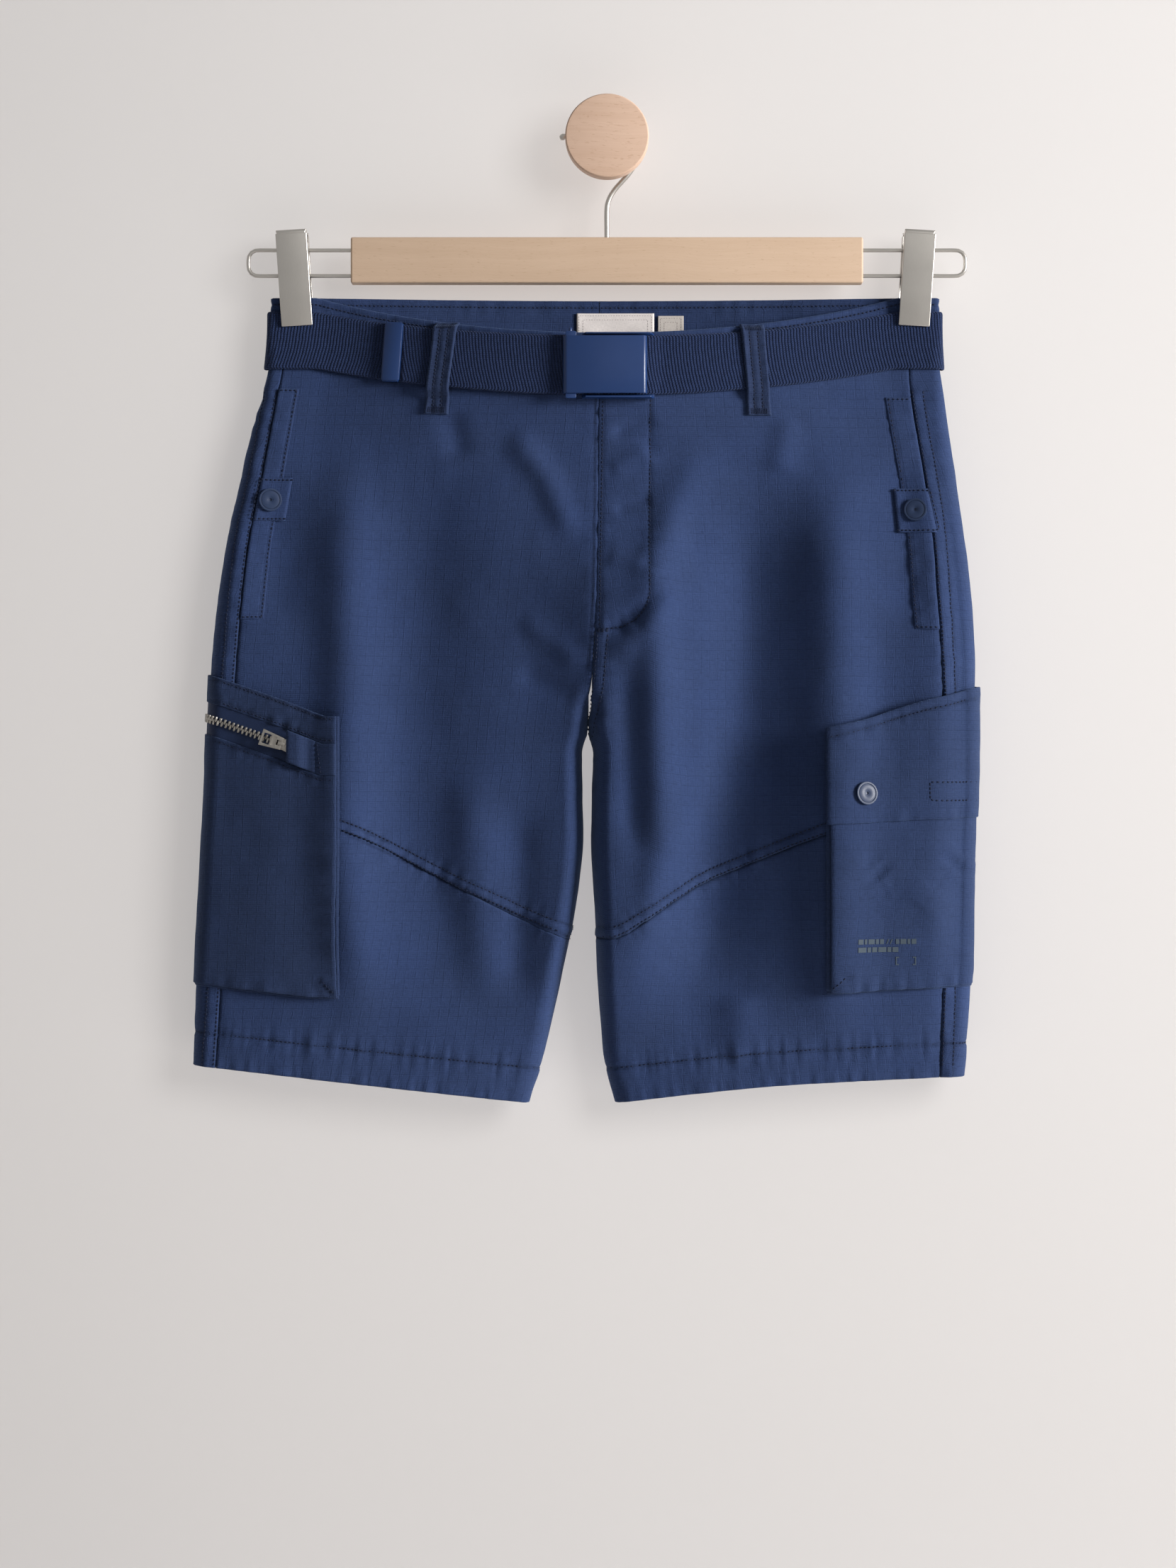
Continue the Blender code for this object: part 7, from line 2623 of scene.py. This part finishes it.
# ---------------------------------------------------------------- labels inside the back
@dataclass
class Label:
    """A blank woven label sewn inside the back of the waist, with a plain border."""

    name: str
    x: float
    width: float
    top: float
    long: float
    finish: str = "label"

    def skin(self, x: Array, z: Array, over: float) -> Array:
        """Points on the label.

        Args:
            x: Places across, in metres.
            z: Places up, in metres.
            over: How far in front of its back, in metres.

        Returns:
            The points.
        """
        points = np.zeros((*np.shape(x), 3))
        for side in Side:
            here = x > 0 if side is Side.LEFT else x <= 0
            at = FORM.surface(side, FORM.station(side, "back", x, z), z)
            points = np.where(here[..., None], at, points)
        wave = 0.35 * MM * RUMPLE(x / MM / 12 + 3, z / MM / 9) + 0.5 * MM
        points[..., 1] -= 0.45 * MM + wave + over
        points[..., 0] = x
        return points

    def build(self) -> None:
        """Makes the label and its border."""
        xs = np.linspace(self.x - self.width / 2, self.x + self.width / 2, 41) * MM
        zs = np.linspace(self.top, self.top - self.long, 25) * MM
        x, z = np.meshgrid(xs, zs)
        obj = cloth_shell(f"{self.name}_weave", self.skin(x, z, 0.0), self.skin(x, z, 0.45 * MM))
        dress(obj, self.finish, replaces=[self.name])
        declare_sheet(obj)
        thread = Stitching(1.7, 1.3, 0.34, 0.2)
        for inset in (1.6, 4.2):
            left, right = self.x - self.width / 2 + inset, self.x + self.width / 2 - inset
            high, low = self.top - inset, self.top - self.long + inset
            for (x0, z0), (x1, z1) in (
                ((left, high), (right, high)), ((right, high), (right, low)),
                ((right, low), (left, low)), ((left, low), (left, high)),
            ):
                t = np.linspace(0, 1, 40)
                points = self.skin((x0 + (x1 - x0) * t) * MM, (z0 + (z1 - z0) * t) * MM, 0.42 * MM)
                thread.sew_points(points, np.tile((0.0, -1.0, 0.0), (40, 1)))
        dress(thread.build(f"{self.name}_border"), "label_thread")


# ---------------------------------------------------------------- hanger and peg
def facing(x: float, y: float, z: float, tilt: float = 0.0) -> Matrix:
    """Axes for a plate that faces -Y: local X across, local Y up, local Z towards the front."""
    return Matrix.Translation((x, y, z)) @ Matrix.Rotation(tilt, 4, "Y") @ Matrix.Rotation(math.pi / 2, 4, "X")


def paint(node: str, name: str) -> None:
    """Gives a carried-over CAD node its finish."""
    obj = frame["nodes"][node]
    obj.data.materials.clear()
    obj.data.materials.append(finish(name))
    LOG.info("%s: CAD shape, %s", node, name)


@dataclass
class Hanger:
    """A beech bar with a wire rail and a sprung clip at each end, and a wire hook."""

    bar: tuple[float, float, float] = (339.0, 12.0, 30.4)
    bar_z: float = -79.4
    rail_radius: float = 1.3
    rail_z: tuple[float, float] = (-72.2, -89.2)
    rail_reach: float = 237.6
    clip: tuple[float, float] = (20.6, 61.0)
    clip_z: float = -92.6
    clip_x: tuple[float, float] = (-206.7, 205.0)
    hook_radius: float = 1.7

    def build(self) -> None:
        """Makes the hanger."""
        place = Matrix.Translation((0, HANG_Y, self.bar_z * MM))
        bench = Workbench("beech_bar").block([value * MM for value in self.bar])
        dress(bench.finish(place, 1.3 * MM, 4), "beech", replaces=["hanger_bar"])
        for side in Side:
            self.rail(side)
            self.clips(side)
            paint(f"clip_saddle_{side.value}", "steel")
        route = [
            (0, -75), (0, -60), (0, -46), (0.6, -41), (2.6, -36), (6.0, -31), (9.6, -27), (13.6, -22.5),
            (17.2, -17.5),
            (19.6, -12), (20.2, -6.5), (18.6, -1.0), (15.0, 3.8), (9.6, 7.2), (3.6, 8.8), (-2.6, 8.9), (-9, 8.3),
            (-15.5, 7.0), (-22, 5.2), (-27.6, 3.5), (-30.5, 2.5),
        ]
        points = [(x * MM, HANG_Y, z * MM) for x, z in route]
        hook = tube("wire_hook", points, self.hook_radius * MM, 18, 4, 2.3 * MM)
        dress(hook, "steel", replaces=["hanger_hook"])

    def rail(self, side: Side) -> None:
        """Bends one wire into a long U, its legs let into the bar."""
        bend, sign = 6.0, side.sign
        start, turn = sign * (self.bar[0] / 2 - 11.6), sign * (self.rail_reach - bend)
        high, low = self.rail_z
        path = [(start + (turn - start) * i / 5, high) for i in range(5)]
        for angle in np.linspace(0, math.pi / 2, 5):
            path.append((turn + sign * bend * math.sin(angle), high - bend * (1 - math.cos(angle))))
        for angle in np.linspace(math.pi / 2, math.pi, 5):
            path.append((turn + sign * bend * math.sin(angle), low + bend * (1 + math.cos(angle))))
        path += [(turn + (start - turn) * i / 5, low) for i in range(1, 6)]
        points = [(x * MM, HANG_Y, z * MM) for x, z in path]
        wire = tube(f"wire_rail_{side.value}", points, self.rail_radius * MM, 16, 3)
        dress(wire, "steel", replaces=[f"hanger_rail_{side.value}"])

    def clips(self, side: Side) -> None:
        """Folds a front and a back channel that bite the waist and the belt."""
        width, height = (value * MM for value in self.clip)
        x = self.clip_x[0 if side is Side.RIGHT else 1] * MM
        bite, lean, deep = 1.1 * MM + BAND + LAP + WEBBING + 0.3 * MM, math.radians(5), 7.0 * MM
        for name, turn in (("front", 0.0), ("back", math.pi)):
            upright = facing(x, HANG_Y, self.clip_z * MM, math.radians(3.5) * side.sign)
            outwards = upright @ Matrix.Rotation(turn, 4, "Y")
            foot = outwards @ Matrix.Translation((0, -height / 2, bite))
            middle = Matrix.Translation((0, height / 2, 1.0 * MM - deep / 2))
            place = foot @ Matrix.Rotation(lean, 4, "X") @ middle
            bench = Workbench(f"clip_channel_{name}_{side.value}").block((width, height, deep))
            bench.cut((0, -6 * MM, 0), (0, 1, 0)).cut((0, 8 * MM, 0), (0, 1, 0))
            bench.points(lambda co: co.y < -5 * MM and co.z < 0).shift((0, 0, 5.6 * MM))
            bench.select(lambda centre, normal: normal.z < -0.2)
            bench.inset(1.0 * MM)
            bpy.ops.transform.translate(value=(0, 0, 0.6 * MM))
            bench.select(lambda c, n: n.z < -0.2 and abs(c.x) < width / 2 - 1 * MM and c.y > 8 * MM)
            bench.extrude(-5.0 * MM)
            clip = bench.finish(place, 0.8 * MM, 4)
            dress(clip, "steel", replaces=[f"clip_{name}_{side.value}"])


@dataclass
class Peg:
    """A turned beech peg in the wall: its stem and its round front."""

    radius: float = 27.5
    thick: float = 13.0
    stem: float = 44.0

    def build(self) -> None:
        """Makes the peg's front and dresses its stem."""
        y = -(self.stem + 0.3 + self.thick / 2) * MM
        bench = Workbench("peg_round").turned(self.radius * MM, self.thick * MM, 96)
        disc = bench.finish(Matrix.Translation((0, y, 0)) @ Matrix.Rotation(math.pi / 2, 4, "X"), 1.1 * MM, 4)
        dress(disc, "beech_end", replaces=["peg_disc"])
        paint("peg_stem", "beech_end")


# ---------------------------------------------------------------- studio
def aim(obj: bpy.types.Object, place: Sequence[float], target: Sequence[float]) -> None:
    """Puts a light somewhere and turns it to a target."""
    obj.location = place
    obj.rotation_euler = (Vector(target) - Vector(place)).to_track_quat("-Z", "Y").to_euler()


@dataclass
class Studio:
    """Camera, soft lights, pale wall and floor."""

    camera_place: tuple[float, float, float] = (-0.0125, -2.4, -0.426)
    view_height: float = 1.0396
    sensor: float = 36.0
    wall_y: float = 0.0005
    floor_z: float = -1.25

    def build(self) -> None:
        """Makes the scene round the garment."""
        self.add_camera()
        self.add_backdrop()
        self.add_lights()

    def add_camera(self) -> None:
        """A level camera square to the wall."""
        data = bpy.data.cameras.new("camera")
        data.sensor_width = self.sensor
        data.lens = self.sensor * (abs(self.camera_place[1]) - abs(HANG_Y)) / self.view_height
        camera = bpy.data.objects.new("camera", data)
        camera.location = self.camera_place
        camera.rotation_euler = (math.pi / 2, 0, 0)
        bpy.context.scene.collection.objects.link(camera)
        bpy.context.scene.camera = camera

    def add_backdrop(self) -> None:
        """One sheet: the wall, a soft bend and the floor."""
        bend, steps = 0.35, 12
        profile = [(self.wall_y, 1.6)]
        for i in range(steps + 1):
            turn = math.pi / 2 * i / steps
            away, up = bend * (1 - math.cos(turn)), bend * (1 - math.sin(turn))
            profile.append((self.wall_y - away, self.floor_z + up))
        profile.append((-3.2, self.floor_z))
        xs = np.linspace(-2.6, 2.6, 3)
        points = np.array([(x, y, z) for y, z in profile for x in xs])
        r, c = np.meshgrid(np.arange(len(profile) - 1), np.arange(2), indexing="ij")
        r, c = r.ravel(), c.ravel()
        faces = np.stack([r * 3 + c, (r + 1) * 3 + c, (r + 1) * 3 + c + 1, r * 3 + c + 1], 1)
        obj = new_object("backdrop", points, faces)
        obj.data.materials.append(finish("backdrop"))
        self.backdrop = obj

    def add_light(
        self, name: str, size: float, power: float, place: Sequence[float], target: Sequence[float], only: str,
        shadows: bool = True,
    ) -> None:
        """Adds a square soft light.

        Args:
            name: Its name.
            size: Its side, in metres.
            power: Its power, in watts.
            place: Where it stands.
            target: Where it points.
            only: "stage" or "garment", which it lights alone.
            shadows: Whether the garment casts a shadow in it.
        """
        data = bpy.data.lights.new(name, "AREA")
        data.shape, data.size, data.energy, data.color = "SQUARE", size, power, (1.0, 0.985, 0.97)
        light = bpy.data.objects.new(name, data)
        bpy.context.scene.collection.objects.link(light)
        aim(light, place, target)
        receivers = bpy.data.collections.new(f"lit by {name}")
        for obj in bpy.data.objects:
            staged = obj.name == self.backdrop.name
            if obj.type == "MESH" and staged == (only == "stage"):
                receivers.objects.link(obj)
        light.light_linking.receiver_collection = receivers
        if not shadows:
            light.light_linking.blocker_collection = receivers

    def add_lights(self) -> None:
        """A grazing key for the cloth's folds, a broad wash for the wall and a faint one for its shadow."""
        middle = (-0.01, -0.04, -0.38)
        self.add_light("key", 2.2, 800, (6.25, -3.1, 0.7), middle, "garment")
        self.add_light("front fill", 1.6, 3.5, (0.5, -2.6, 0.7), middle, "garment")
        self.add_light("wall wash", 1.8, 48.5, (1.15, -2.2, 0.3), (0.3, 0, -0.42), "stage", shadows=False)
        self.add_light("wall shadow", 0.9, 11, (1.1, -1.9, 0.2), (0.0, 0, -0.4), "stage")
        world = bpy.data.worlds.new("soft daylight")
        world.use_nodes = True
        graph = Graph(world.node_tree)
        background = world.node_tree.nodes["Background"]
        background.inputs[0].default_value = (1.0, 0.99, 0.98, 1)
        ray = graph.node("ShaderNodeLightPath")
        graph.put(graph.step(ray.outputs["Is Glossy Ray"], 0.0, 1.0, 0.12, 0.45), background.inputs[1])
        bpy.context.scene.world = world
        bpy.context.scene.view_settings.view_transform = "Standard"


def main() -> None:
    """Builds the garment, its hanger and the studio, in that order."""
    logging.basicConfig(level=logging.INFO, format="%(name)s: %(message)s")
    LegPanels().build()
    Waistband().build()
    cap = snap_cap()
    HipPocket(
        Side.RIGHT, -165.0, -317.5, 13.0, 15.5,
        ((-207.0, -224.0), (-228.0, -224.0), (-233.8, -252.5), (-212.0, -252.5)),
        (-222.6, -238.7),
    ).build(cap)
    HipPocket(
        Side.LEFT, -171.0, -324.5, 17.0, 15.5,
        ((188.2, -232.0), (211.2, -232.0), (216.2, -261.0), (191.0, -261.0)),
        (203.5, -246.4),
    ).build(cap)
    ZipPocket(CargoShape(Side.RIGHT, -176, -178, (-381.8, -353.8, -330), (-565.5, -557.5, -552))).build()
    FlapPocket(CargoShape(Side.LEFT, 144.8, 148, (-389.5, -361.6, -336), (-561.5, -557.8, -553))).build(cap)
    bpy.data.objects.remove(cap)
    Belt().build()
    Buckle().build()
    thread, tack = Stitching(2.4, 2.0), Stitching(1.1, 1.05, 0.6, 0.4)
    for loop in LOOPS:
        loop.build(thread, tack)
    dress(thread.build("stitches_belt_loops"), "thread")
    dress(tack.build("bar_tacks_belt_loops"), "thread")
    Label("label_main", 5.7, 51.5, -113.3, 26).build()
    Label("label_size", 42.5, 17.0, -115.0, 20, "label_dark").build()
    Hanger().build()
    Peg().build()
    Studio().build()


if __name__ == "__main__":
    main()
